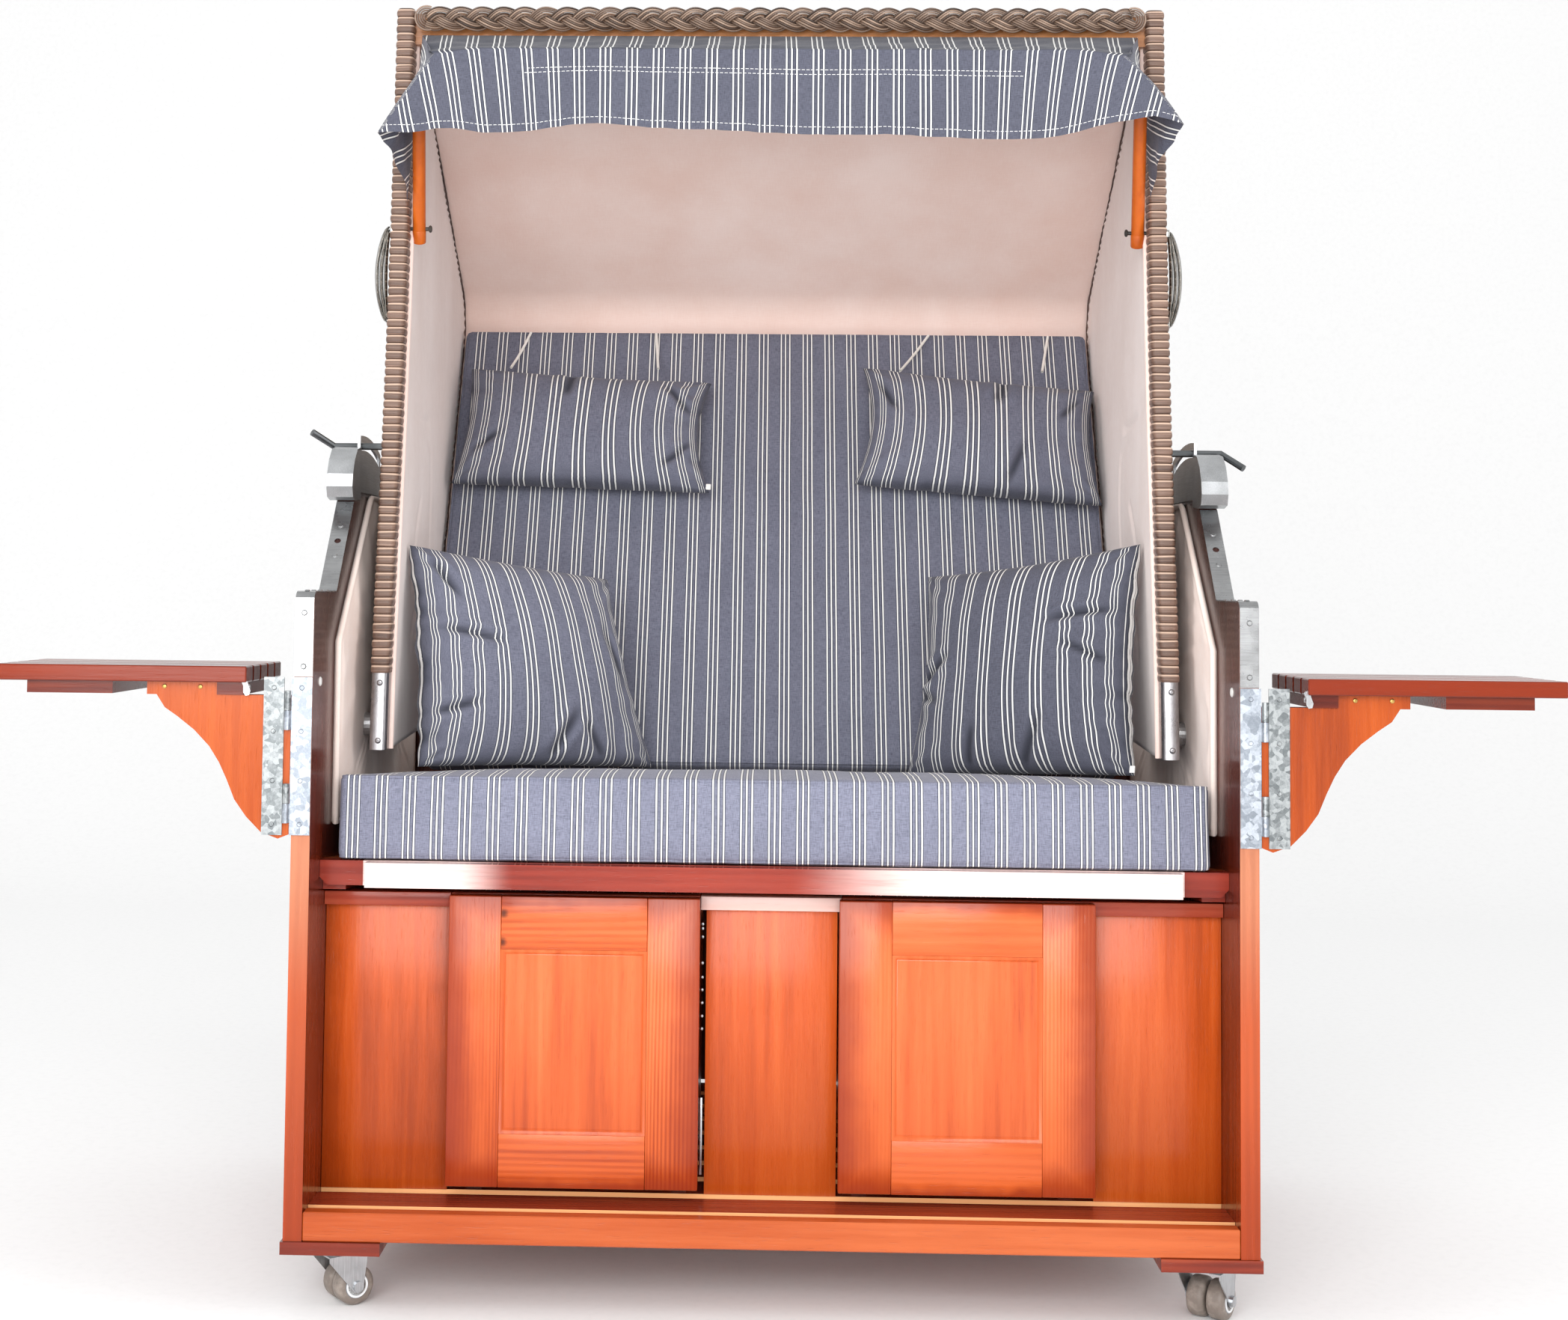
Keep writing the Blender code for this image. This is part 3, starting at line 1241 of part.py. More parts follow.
def build_hood_rails(hood):
    """The wrapped front rails, the header between their tops and the braid in front of it."""
    near = HOOD_HALF - RAIL_WIDTH
    for side, sign in SIDES.items():
        front = rail_points(0.0, 1.0, 0.0)
        rear = rail_points(0.0, 1.0, RAIL_DEPTH)
        name = "hood_rail_" + side
        rail = as_mesh(side_sheet(
            name, [front + rear[::-1]], x_span(sign, near, HOOD_HALF), "rattan", hood))
        fused(name, rail, awning_knob(side, sign, hood))
    half = near - GAP
    rear_y = RAIL_FOOT_Y + RAIL_LEAN + RAIL_DEPTH
    header_front = rear_y - HEADER_DEPTH
    boxes(
        "hood_header", [((-half, header_front, HEADER_BOTTOM_Z), (half, rear_y, HEADER_TOP_Z))],
        "mahogany", hood)
    braid_y = header_front - GAP - BRAID_RADIUS
    name = "top_braid"
    braid = tube_curve(name, [(-half, braid_y, BRAID_Z), (half, braid_y, BRAID_Z)], BRAID_RADIUS, 3)
    add_piece(name, braid, "rattan", hood)


def build_back_cushion(hood):
    up = Vector((0.0, math.sin(BACK_LEAN), math.cos(BACK_LEAN)))
    back = Vector((0.0, math.cos(BACK_LEAN), -math.sin(BACK_LEAN)))
    foot = Vector((0.0, back_face_y(BACK_BOTTOM_Z), BACK_BOTTOM_Z))
    centre = foot + up * BACK_LENGTH / 2 + back * BACK_THICKNESS / 2
    size = Vector((2 * BACK_HALF, BACK_LENGTH, BACK_THICKNESS))
    place = Matrix.Translation(centre) @ Matrix.Rotation(math.pi / 2 - BACK_LEAN, 4, "X")
    return pad_form("back_cushion", size, BACK_CROWN, BACK_PULL, BACK_EDGE, 5, place, hood)


def pillow_form(name, width, height, thickness, place, parent):
    """A pillow: crowned, drawn in between its pinched corners, and mirrored at its seam."""
    builder = bmesh.new()
    bmesh.ops.create_grid(builder, x_segments=PILLOW_GRID, y_segments=PILLOW_GRID, size=1.0)
    for vert in builder.verts:
        s, t = math.sin(vert.co.x * math.pi / 2), math.sin(vert.co.y * math.pi / 2)
        x = s * width / 2 * (1 - PILLOW_PINCH_SHARE * (1 - t * t))
        y = t * height / 2 * (1 - PILLOW_PINCH_SHARE * (1 - s * s))
        swell = max((1 - s * s) * (1 - t * t), 0.0)
        vert.co = (x, y, thickness / 2 * swell ** PILLOW_CROWN_POWER)
    mesh = built_mesh(name, builder)
    piece = add_piece(name, mesh, "striped_cloth")
    piece.matrix_basis = place
    hang(piece, parent)
    back = piece.modifiers.new("back_half", "MIRROR")
    back.use_axis = (False, False, True)
    back.merge_threshold = GAP / 100
    return piece


def surface_of(piece):
    """The points of an evaluated piece in chair coordinates, and its search tree."""
    bpy.context.view_layer.update()
    evaluated = piece.evaluated_get(bpy.context.evaluated_depsgraph_get())
    mesh = evaluated.to_mesh()
    points = [evaluated.matrix_world @ vert.co for vert in mesh.vertices]
    mesh.calc_loop_triangles()
    faces = [tuple(face.vertices) for face in mesh.loop_triangles]
    evaluated.to_mesh_clear()
    return points, BVHTree.FromPolygons(points, faces)


def rest_on(piece, support, down):
    """Lift a piece off its support, lower it along a direction until it lies there, and
    return how far it has moved from where it was placed."""
    lift = -down * REST_LIFT
    piece.matrix_basis.translation += lift
    points, tree = surface_of(piece)
    support_points, support_tree = surface_of(support)
    hits = [support_tree.ray_cast(point, down)[3] for point in points]
    hits += [tree.ray_cast(point, -down)[3] for point in support_points]
    drop = min(distance for distance in hits if distance is not None) - GAP
    piece.matrix_basis.translation += down * drop
    return lift + down * drop


def build_neck_pillows(hood, cushion):
    """Neck pillows with their two elastic cords, which run up to the cushion's top edge."""
    up = Vector((0.0, math.sin(BACK_LEAN), math.cos(BACK_LEAN)))
    out = Vector((0.0, -math.cos(BACK_LEAN), math.sin(BACK_LEAN)))
    face = Vector((0.0, back_face_y(NECK_CENTRE_Z), NECK_CENTRE_Z))
    lie = Matrix.Rotation(math.pi / 2 - BACK_LEAN, 4, "X")
    for (side, sign), roll_degrees, cords in zip(SIDES.items(), NECK_ROLL_DEGREES, CORD_ENDS_X):
        roll = math.radians(roll_degrees)
        centre = face + out * NECK_THICKNESS / 2 + Vector((sign * NECK_CENTRE_X, 0.0, 0.0))
        place = Matrix.Translation(centre) @ lie @ Matrix.Rotation(roll, 4, "Z")
        name = "neck_pillow_" + side
        pillow = as_mesh(pillow_form(
            name, NECK_WIDTH, NECK_HEIGHT, NECK_THICKNESS, place, hood))
        seam = face + out * NECK_THICKNESS / 2 + rest_on(pillow, cushion, -out)
        runs = []
        for foot_x, head_x in cords:
            rise = (foot_x - sign * NECK_CENTRE_X) * math.tan(roll)
            rise += NECK_HEIGHT / 2 * (1 - 2 * PILLOW_PINCH_SHARE)
            foot = seam + up * rise + Vector((foot_x, 0.0, 0.0))
            head = Vector((head_x, back_face_y(CORD_TOP_Z), CORD_TOP_Z)) + out * CORD_STAND_OFF
            middle = foot.lerp(head, 0.5) - out * CORD_STAND_OFF
            run = add_piece(
                "cord_run", tube_curve("cord_run", [foot, middle, head], CORD_RADIUS), "elastic",
                hood)
            runs.append(as_mesh(run))
        fused(name, pillow, runs)


def build_throw_pillows(cushion):
    """Pillows that stand on the seat, turned into the hood's corners and leaning back."""
    lean = math.radians(THROW_LEAN_DEGREES)
    centre_z = SEAT_DECK_Z + CUSHION_THICKNESS + THROW_HEIGHT / 2
    for side, sign in SIDES.items():
        yaw = Matrix.Rotation(-sign * math.radians(THROW_YAW_DEGREES), 4, "Z")
        stand = Matrix.Rotation(math.pi / 2 - lean, 4, "X")
        roll = Matrix.Rotation(sign * math.radians(THROW_ROLL_DEGREES), 4, "Z")
        place = Matrix.Translation((sign * THROW_CENTRE_X, THROW_CENTRE_Y, centre_z))
        pillow = pillow_form(
            "throw_pillow_" + side, THROW_SIDE, THROW_HEIGHT, THROW_THICKNESS,
            place @ yaw @ stand @ roll, ROOT)
        rest_on(pillow, cushion, Vector((0.0, 0.0, -1.0)))


def build_grab_bows(hood):
    """A bowed steel strap on the outer face of each rail."""
    face = HOOD_HALF + GAP
    middle_share = (BOW_BOTTOM_Z + BOW_HEIGHT / 2 - RAIL_BOTTOM_Z) / RAIL_HEIGHT
    middle_y = rail_front(middle_share)[0] + RAIL_DEPTH / 2
    inner = [
        (face + out * BOW_STAND_OFF, BOW_BOTTOM_Z + share * BOW_HEIGHT)
        for share, out in BOW_SHARES]
    outer = offset_path(inner, -BOW_THICKNESS)
    for side, sign in SIDES.items():
        outline = [(sign * across, up) for across, up in inner + outer[::-1]]
        front_sheet(
            "grab_bow_" + side, [outline], (middle_y - BOW_WIDTH / 2, middle_y + BOW_WIDTH / 2),
            "steel", hood)


def rod_height(y):
    """The height of the adjuster's arc at y."""
    return PIVOT_Z + math.sqrt(ADJUSTER_RADIUS ** 2 - (y - PIVOT_Y) ** 2)


def arc_points(radius, start, end, steps):
    """Points on an arc about the hood's pivot."""
    return [
        (PIVOT_Y + radius * math.cos(start + (end - start) * step / steps),
         PIVOT_Z + radius * math.sin(start + (end - start) * step / steps))
        for step in range(steps + 1)]


def build_adjusters(hood, lever_empties):
    """The slotted arcs and lock housings on the walls, and the rods with their levers."""
    rest = math.atan2(rod_height(ROD_Y) - PIVOT_Z, ROD_Y - PIVOT_Y)
    reclined = rest - math.radians(RECLINE_DEGREES)
    slot_half = ROD_RADIUS + GAP
    end_turn = (slot_half + ARC_MARGIN / 2) / ADJUSTER_RADIUS
    outer = arc_points(
        ADJUSTER_RADIUS + slot_half + ARC_MARGIN, rest + end_turn, reclined - end_turn, ARC_STEPS)
    front_y = HOUSING_REAR_Y - 2 * GAP
    plate = outer + [(outer[-1][0], ARC_FOOT_Z), (front_y, ARC_FOOT_Z), (front_y, outer[0][1])]
    cap_turn = slot_half / ADJUSTER_RADIUS
    slot = arc_points(
        ADJUSTER_RADIUS + slot_half, rest + cap_turn, reclined - cap_turn, ARC_STEPS)
    slot += arc_points(
        ADJUSTER_RADIUS - slot_half, reclined - cap_turn, rest + cap_turn, ARC_STEPS)
    channel_edge = offset_path(
        [slope_point(ARMREST_Z), slope_point(SHOULDER_Z)], TRIM_THICKNESS + 2 * GAP)
    far = SLOPE_ALONG * CUT_OVERRUN * 4
    first = Vector(channel_edge[0]) - far
    last = Vector(channel_edge[1]) + far
    behind = last.x + CUT_OVERRUN
    channel = [tuple(first), tuple(last), (behind, last.y), (behind, first.y)]
    depth = HOUSING_REAR_Y - HOUSING_FRONT_Y
    height = HOUSING_TOP_Z - HOUSING_BOTTOM_Z
    block = [
        (HOUSING_FRONT_Y + across * depth, HOUSING_BOTTOM_Z + up * height)
        for across, up in HOUSING_OUTLINE_SHARES]
    rod_z = rod_height(ROD_Y)
    wall_inner = HALF_WIDTH - WALL_THICKNESS
    for side, sign in SIDES.items():
        name = "recline_lock_" + side
        span = x_span(sign, wall_inner - HOUSING_SIDE, HALF_WIDTH + HOUSING_SIDE)
        lock = as_mesh(side_sheet(name, [block], span, "steel"))
        body = as_mesh(side_sheet(
            name + "_channel", [channel], x_span(sign, wall_inner - GAP, HALF_WIDTH + GAP),
            "steel"))
        mesh, place = body.data, body.matrix_basis.copy()
        bpy.data.objects.remove(body)
        combine(lock, cutter(name + "_channel", mesh, place), "DIFFERENCE")
        arc = as_mesh(side_sheet(
            name + "_arc", [plate, slot], x_span(sign, INNER_HALF - ARC_THICKNESS, INNER_HALF),
            "steel"))
        fused(name, lock, [arc])
        start = Vector((sign * (HOOD_HALF + GAP), ROD_Y, rod_z))
        bend = Vector((sign * (HALF_WIDTH + HOUSING_SIDE + ROD_RADIUS), ROD_Y, rod_z))
        reach = LEVER_REACH[sign]
        end = bend + Vector((sign * reach[0], reach[1], reach[2]))
        name = "adjuster_lever_" + side
        add_piece(
            name, tube_curve(name, [start, bend, end], ROD_RADIUS, 3), "steel",
            lever_empties[side])


def build_pivot_bolts():
    """Bolts through the walls that carry the hood's sides."""
    inner = HOOD_HALF - GAP - SIDE_SHEET
    collar_low = HOOD_HALF
    collar_high = INNER_HALF - LINING_THICKNESS - GAP
    head_low = HALF_WIDTH + GAP
    head_high = head_low + PIVOT_HEAD_LENGTH
    profile = [
        (0.0, head_high), (PIVOT_HEAD_RADIUS, head_high), (PIVOT_HEAD_RADIUS, head_low),
        (PIVOT_SHANK_RADIUS, head_low), (PIVOT_SHANK_RADIUS, collar_high),
        (PIVOT_COLLAR_RADIUS, collar_high), (PIVOT_COLLAR_RADIUS, collar_low),
        (PIVOT_SHANK_RADIUS, collar_low), (PIVOT_SHANK_RADIUS, inner), (0.0, inner)]
    for side, sign in SIDES.items():
        name = "pivot_bolt_" + side
        mesh, steps = turned_mesh(name, profile)
        bolt = add_piece(name, mesh, "steel")
        face = Matrix.Rotation(sign * math.pi / 2, 4, "Y")
        bolt.matrix_basis = Matrix.Translation((0.0, PIVOT_Y, PIVOT_Z)) @ face
        turn(bolt, steps)


def build_awning_bow(awning):
    """A bent wooden bow: two arms that turn on the knob screws, and the front bar."""
    pivot = Vector((ARM_X, ARM_PIVOT_Y, ARM_PIVOT_Z))
    top = Vector((ARM_X, FRONT_BAR_Y, FRONT_BAR_Z))
    along = (top - pivot).normalized()
    half = [pivot - along * ARM_TAIL, pivot]
    bend = BAR_CORNER_RADIUS
    inward = Vector((-1.0, 0.0, 0.0))
    centre = top - along * bend + inward * bend
    for step in range(6):
        angle = math.pi / 2 * step / 5
        half.append(centre - inward * bend * math.cos(angle) + along * bend * math.sin(angle))
    path = half + [Vector((-point.x, point.y, point.z)) for point in half[::-1]]
    name = "awning_bow"
    bow = as_mesh(add_piece(name, tube_curve(name, path, ARM_RADIUS, 3), "orange_wood", awning))
    for side, sign in SIDES.items():
        bore = rod_mesh("arm_bore_" + side, KNOB_SHANK_RADIUS + GAP, 4 * ARM_RADIUS)
        place = Matrix.Translation((sign * ARM_X, ARM_PIVOT_Y, ARM_PIVOT_Z)) @ ALONG_X
        combine(bow, cutter("arm_bore_" + side, bore, place), "DIFFERENCE")


def skirt_line(share):
    """Fold line, hem and outward direction of the awning's skirt at a share of its width."""
    sign = -1.0 if share < 0.5 else 1.0
    from_middle = abs(share - 0.5) * 2
    straight = CLOTH_SIDE_X - CLOTH_CORNER
    side_length = CLOTH_SIDE_REAR_Y - CLOTH_FRONT_Y - CLOTH_CORNER
    arc_length = math.pi / 2 * CLOTH_CORNER
    travelled = from_middle * (straight + arc_length + side_length)
    if travelled <= straight:
        x, y, out = travelled, CLOTH_FRONT_Y, Vector((0.0, -1.0))
    elif travelled <= straight + arc_length:
        angle = (travelled - straight) / CLOTH_CORNER
        out = Vector((math.sin(angle), -math.cos(angle)))
        x = straight + CLOTH_CORNER * out.x
        y = CLOTH_FRONT_Y + CLOTH_CORNER * (1 + out.y)
    else:
        y = CLOTH_FRONT_Y + CLOTH_CORNER + travelled - straight - arc_length
        x, out = CLOTH_SIDE_X, Vector((1.0, 0.0))
    rise = max(y - CLOTH_FRONT_Y, 0.0) / (CLOTH_SIDE_REAR_Y - CLOTH_FRONT_Y)
    z = CLOTH_FRONT_Z + (CLOTH_SIDE_REAR_Z - CLOTH_FRONT_Z) * rise
    round_share = min(max((travelled - straight) / arc_length, 0.0), 1.0)
    rear_share = max(y - CLOTH_FRONT_Y - CLOTH_CORNER, 0.0) / side_length
    hem_x = x + (HEM_TIP_X - CLOTH_SIDE_X) * round_share
    hem_x += (HEM_REAR_X - HEM_TIP_X) * rear_share
    hem_y = y + (HEM_FRONT_Y - CLOTH_FRONT_Y) * (1 - rear_share)
    hem_y += (HEM_REAR_Y - CLOTH_SIDE_REAR_Y) * rear_share
    hem_z = HEM_FRONT_Z + (HEM_TIP_Z - HEM_FRONT_Z) * round_share
    hem_z += (HEM_REAR_Z - HEM_TIP_Z) * rear_share
    fold = Vector((sign * x, y, z))
    hem = Vector((sign * hem_x, hem_y, hem_z))
    return fold, hem, Vector((sign * out.x, out.y, 0.0))


def build_awning_cloth(awning):
    """The cloth from the header over the bow, with its hanging skirt, as one thick sheet."""
    builder = bmesh.new()
    rows = []
    head_y = RAIL_FOOT_Y + RAIL_LEAN + RAIL_DEPTH - HEADER_DEPTH - 2 * GAP
    for column in range(CLOTH_COLUMNS + 1):
        share = column / CLOTH_COLUMNS
        fold, hem, out = skirt_line(share)
        head = Vector((CLOTH_HEAD_HALF * (2 * share - 1), head_y, CLOTH_HEAD_Z))
        points = [head.lerp(fold, row / TOP_ROWS) for row in range(TOP_ROWS + 1)]
        wave = FOLD_DEPTH * math.sin(2 * math.pi * FOLD_COUNT * share)
        for row in range(1, SKIRT_ROWS + 1):
            down = row / SKIRT_ROWS
            points.append(fold.lerp(hem, down) + out * wave * down)
        rows.append([builder.verts.new(point) for point in points])
    for left, right in zip(rows, rows[1:]):
        for low in range(len(left) - 1):
            builder.faces.new((left[low], left[low + 1], right[low + 1], right[low]))
    mesh = built_mesh("awning_cloth", builder)
    cloth = add_piece("awning_cloth", mesh, "striped_cloth", awning)
    thick = cloth.modifiers.new("cloth", "SOLIDIFY")
    thick.thickness = CLOTH_THICKNESS
    thick.offset = 0.0


def chair_box():
    """The lowest and highest corners of all pieces."""
    bpy.context.view_layer.update()
    graph = bpy.context.evaluated_depsgraph_get()
    low = Vector((math.inf,) * 3)
    high = Vector((-math.inf,) * 3)
    for piece in PARTS.objects:
        if piece.type == "EMPTY":
            continue
        evaluated = piece.evaluated_get(graph)
        mesh = evaluated.to_mesh()
        for vert in mesh.vertices:
            place = evaluated.matrix_world @ vert.co
            low = Vector(map(min, low, place))
            high = Vector(map(max, high, place))
        evaluated.to_mesh_clear()
    return low, high


def build_chair():
    table_empties = {}
    slide_empties = {}
    lever_empties = {}
    hood = joint_empty("hood_pivot", (0.0, PIVOT_Y, PIVOT_Z))
    awning = joint_empty("awning_pivot", (0.0, ARM_PIVOT_Y, ARM_PIVOT_Z), hood)
    for side, sign in SIDES.items():
        table_empties[side] = joint_empty(
            "table_hinge_" + side, (sign * KNUCKLE_X, KNUCKLE_Y, LEAF_BOTTOM_Z))
        slide_empties[side] = joint_empty(
            "footrest_slide_" + side, (sign * (DOOR_INNER_X + DOOR_WIDTH / 2), DOOR_Y, BOX_BOTTOM_Z))
        lever_empties[side] = joint_empty(
            "lever_axis_" + side, (sign * HALF_WIDTH, ROD_Y, rod_height(ROD_Y)), hood)
    build_side_walls()
    build_side_linings()
    build_edge_trims()
    build_table_hinges(table_empties)
    build_tables(table_empties)
    build_floor()
    for corner, (x, y) in castor_places().items():
        build_castor(corner, x, y)
    build_recessed_front()
    build_footrests(slide_empties)
    build_throw_pillows(build_seat())
    build_pivot_bolts()
    build_hood_shell(hood)
    build_hood_rails(hood)
    build_neck_pillows(hood, build_back_cushion(hood))
    build_grab_bows(hood)
    build_adjusters(hood, lever_empties)
    build_awning_bow(awning)
    build_awning_cloth(awning)
    low, high = chair_box()
    ROOT.location = (-(low.x + high.x) / 2, -(low.y + high.y) / 2, -low.z)
    print("chair box", tuple(low), tuple(high), "moved by", tuple(ROOT.location))


build_chair()
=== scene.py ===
"""Looks of a hooded two-seat beach chair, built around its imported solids.

Every length is in metres. Places given as (x, y, z) measure y from the front plane of the base.
"""
import sys
import logging
import math
from dataclasses import dataclass
from enum import Enum
from typing import Any, Callable, Sequence

import bmesh
import bpy
import numpy as np
from mathutils import Matrix, Vector, noise


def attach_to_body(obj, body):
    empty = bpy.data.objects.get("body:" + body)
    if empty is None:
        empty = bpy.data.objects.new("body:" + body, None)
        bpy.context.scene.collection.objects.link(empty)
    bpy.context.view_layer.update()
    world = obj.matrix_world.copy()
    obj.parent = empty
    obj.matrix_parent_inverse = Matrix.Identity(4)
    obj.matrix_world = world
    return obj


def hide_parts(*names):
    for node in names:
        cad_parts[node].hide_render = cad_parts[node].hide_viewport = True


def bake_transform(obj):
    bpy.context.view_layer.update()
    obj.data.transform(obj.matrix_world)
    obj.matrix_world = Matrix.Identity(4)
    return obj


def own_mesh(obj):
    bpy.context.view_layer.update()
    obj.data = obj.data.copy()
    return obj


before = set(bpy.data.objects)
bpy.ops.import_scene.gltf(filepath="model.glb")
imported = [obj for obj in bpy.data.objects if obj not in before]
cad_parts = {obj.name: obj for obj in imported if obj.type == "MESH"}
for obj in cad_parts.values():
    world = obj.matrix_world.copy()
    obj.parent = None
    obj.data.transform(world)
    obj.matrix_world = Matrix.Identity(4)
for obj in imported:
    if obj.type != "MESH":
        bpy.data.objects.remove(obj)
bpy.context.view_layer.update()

LOG = logging.getLogger("beach_chair")
FRONT_PLANE = -0.466925710439682
Colour = tuple[float, float, float]


class Side(Enum):
    """The two sides of the chair, as seen from the front."""

    LEFT = -1
    RIGHT = 1

    @property
    def label(self) -> str:
        """The side's name as the solids spell it."""
        return self.name.lower()


class Axis(Enum):
    """A direction in the chair's frame."""

    X = 0
    Y = 1
    Z = 2


def place(x: float, y: float, z: float) -> Vector:
    """A point of the chair, with y measured from the base's front plane."""
    return Vector((x, y + FRONT_PLANE, z))


def rgb(code: str) -> Colour:
    """Turns a six-digit screen colour into linear light.

    Args:
        code: Red, green and blue as three two-digit hexadecimal numbers.

    Returns:
        The colour's three linear values.
    """
    values = [int(code[i:i + 2], 16) / 255 for i in (0, 2, 4)]
    linear = [v / 12.92 if v <= 0.04045 else ((v + 0.055) / 1.055) ** 2.4 for v in values]
    return linear[0], linear[1], linear[2]


# painted reflection of window light on the varnish
WINDOW_LIGHT = rgb("F6DCD6")
# painted light on the lit front edges of the floor slats
LIT_EDGE = rgb("F3B27A")
KNOT = rgb("3A1A12")
# darkens the wood towards the top
TOP_DARKENING = rgb("1C0B07")
# painted shade that darkens the cloth and its white lines in creases, along seams and on the
# awning's band
CLOTH_HOLLOW_SHADE = rgb("14161E")
LINE_HOLLOW_SHADE = rgb("3A3D48")
# painted shade in the gaps between the rail's wicker bands
BAND_GAP_SHADE = rgb("1E1512")


class Graph:
    """One material's node tree, wired in few words."""

    def __init__(self, name: str) -> None:
        """Starts a material with a Principled shader.

        Args:
            name: The material's name.
        """
        self.material = bpy.data.materials.new(name)
        self.material.use_nodes = True
        self.tree = self.material.node_tree
        self.tree.nodes.clear()
        self.shader = self.tree.nodes.new("ShaderNodeBsdfPrincipled")
        output = self.tree.nodes.new("ShaderNodeOutputMaterial")
        self.tree.links.new(self.shader.outputs[0], output.inputs[0])

    def feed(self, socket: Any, value: Any) -> None:
        """Links or sets one input.

        Args:
            socket: The input.
            value: Another node's output, a number or a colour.
        """
        if isinstance(value, bpy.types.NodeSocket):
            self.tree.links.new(value, socket)
        elif socket.type == "RGBA" and len(value) == 3:
            socket.default_value = (*value, 1.0)
        else:
            socket.default_value = value

    def node(self, kind: str, inputs: dict[Any, Any], **settings: Any) -> Any:
        """Adds a node.

        Args:
            kind: The node's type, without its common first word.
            inputs: Values by input name or number.
            **settings: The node's own settings.

        Returns:
            The new node.
        """
        made = self.tree.nodes.new("ShaderNode" + kind)
        for key, value in settings.items():
            setattr(made, key, value)
        for key, value in inputs.items():
            self.feed(made.inputs[key], value)
        return made

    def math(self, operation: str, a: Any, b: Any = 0.0) -> Any:
        """The result of one arithmetic step on two values."""
        return self.node("Math", {0: a, 1: b}, operation=operation).outputs[0]

    def plus(self, a: Any, b: Any) -> Any:
        """The sum of two values."""
        return self.math("ADD", a, b)

    def minus(self, a: Any, b: Any) -> Any:
        """The difference of two values."""
        return self.math("SUBTRACT", a, b)

    def times(self, a: Any, b: Any) -> Any:
        """The product of two values."""
        return self.math("MULTIPLY", a, b)

    def size(self, a: Any) -> Any:
        """A value without its sign."""
        return self.math("ABSOLUTE", a)

    def scaled(self, vector: Any, factors: Sequence[float]) -> Any:
        """A vector multiplied by three factors."""
        return self.node("VectorMath", {0: vector, 1: factors}, operation="MULTIPLY").outputs[0]

    def noise(self, vector: Any, scale: float, detail: float = 2.0, rough: float = 0.5) -> Any:
        """Smooth noise from 0 to 1 over a vector."""
        return self.node("TexNoise", {"Vector": vector, "Scale": scale, "Detail": detail,
                                      "Roughness": rough}).outputs[0]

    def remap(self, value: Any, low: float, high: float, to_low: float = 0.0,
              to_high: float = 1.0) -> Any:
        """A value eased from one range into another and kept inside it."""
        return self.node("MapRange", {0: value, 1: low, 2: high, 3: to_low, 4: to_high},
                         interpolation_type="SMOOTHSTEP").outputs[0]

    def mix(self, share: Any, a: Any, b: Any, blend: str = "MIX") -> Any:
        """Two colours mixed by a share, or blended in another way."""
        made = self.node("Mix", {0: share, 6: a, 7: b}, data_type="RGBA", blend_type=blend)
        return made.outputs[2]

    def ramp(self, share: Any, stops: Sequence[tuple[float, Colour]]) -> Any:
        """A colour that runs through several stops.

        Args:
            share: The value that picks the colour.
            stops: Places from 0 to 1, each with its colour.

        Returns:
            The colour output.
        """
        made = self.node("ValToRGB", {0: share})
        band = made.color_ramp
        while len(band.elements) < len(stops):
            band.elements.new(0.5)
        for element, (spot, colour) in zip(band.elements, stops):
            element.position = spot
            element.color = (*colour, 1.0)
        return made.outputs[0]

    def bump(self, height: Any, depth: float, strength: float = 1.0) -> None:
        """Roughens the shader's surface with a height of this depth."""
        made = self.node("Bump", {"Height": height, "Distance": depth, "Strength": strength})
        self.feed(self.shader.inputs["Normal"], made.outputs[0])

    def own(self) -> Any:
        """The piece's own coordinates, in metres."""
        return self.node("TexCoord", {}).outputs["Object"]

    def lay(self) -> Any:
        """The flat coordinates that a cloth or woven piece carries with it, in metres."""
        return self.node("Attribute", {}, attribute_name="lay").outputs["Vector"]

    def split(self, vector: Any) -> tuple[Any, Any, Any]:
        """A vector's three values."""
        made = self.node("SeparateXYZ", {0: vector})
        return made.outputs[0], made.outputs[1], made.outputs[2]

    def joined(self, x: Any, y: Any, z: Any) -> Any:
        """Three values as one vector."""
        return self.node("CombineXYZ", {0: x, 1: y, 2: z}).outputs[0]

    def finish(self, **values: Any) -> bpy.types.Material:
        """Sets the shader's inputs and hands over the material.

        Args:
            **values: Values by input name, with spaces written as underscores.

        Returns:
            The finished material.
        """
        for key, value in values.items():
            self.feed(self.shader.inputs[key.replace("_", " ")], value)
        return self.material


class Finish:
    """A surface finish whose material is made once and then shared."""

    made: dict["Finish", bpy.types.Material] = {}

    def material(self) -> bpy.types.Material:
        """The finish's material.

        Returns:
            The one material that every piece with this finish shares.
        """
        if self not in Finish.made:
            Finish.made[self] = self.mix_up()
        return Finish.made[self]

    def mix_up(self) -> bpy.types.Material:
        """Makes the material. Each kind of finish has its own way."""
        raise NotImplementedError


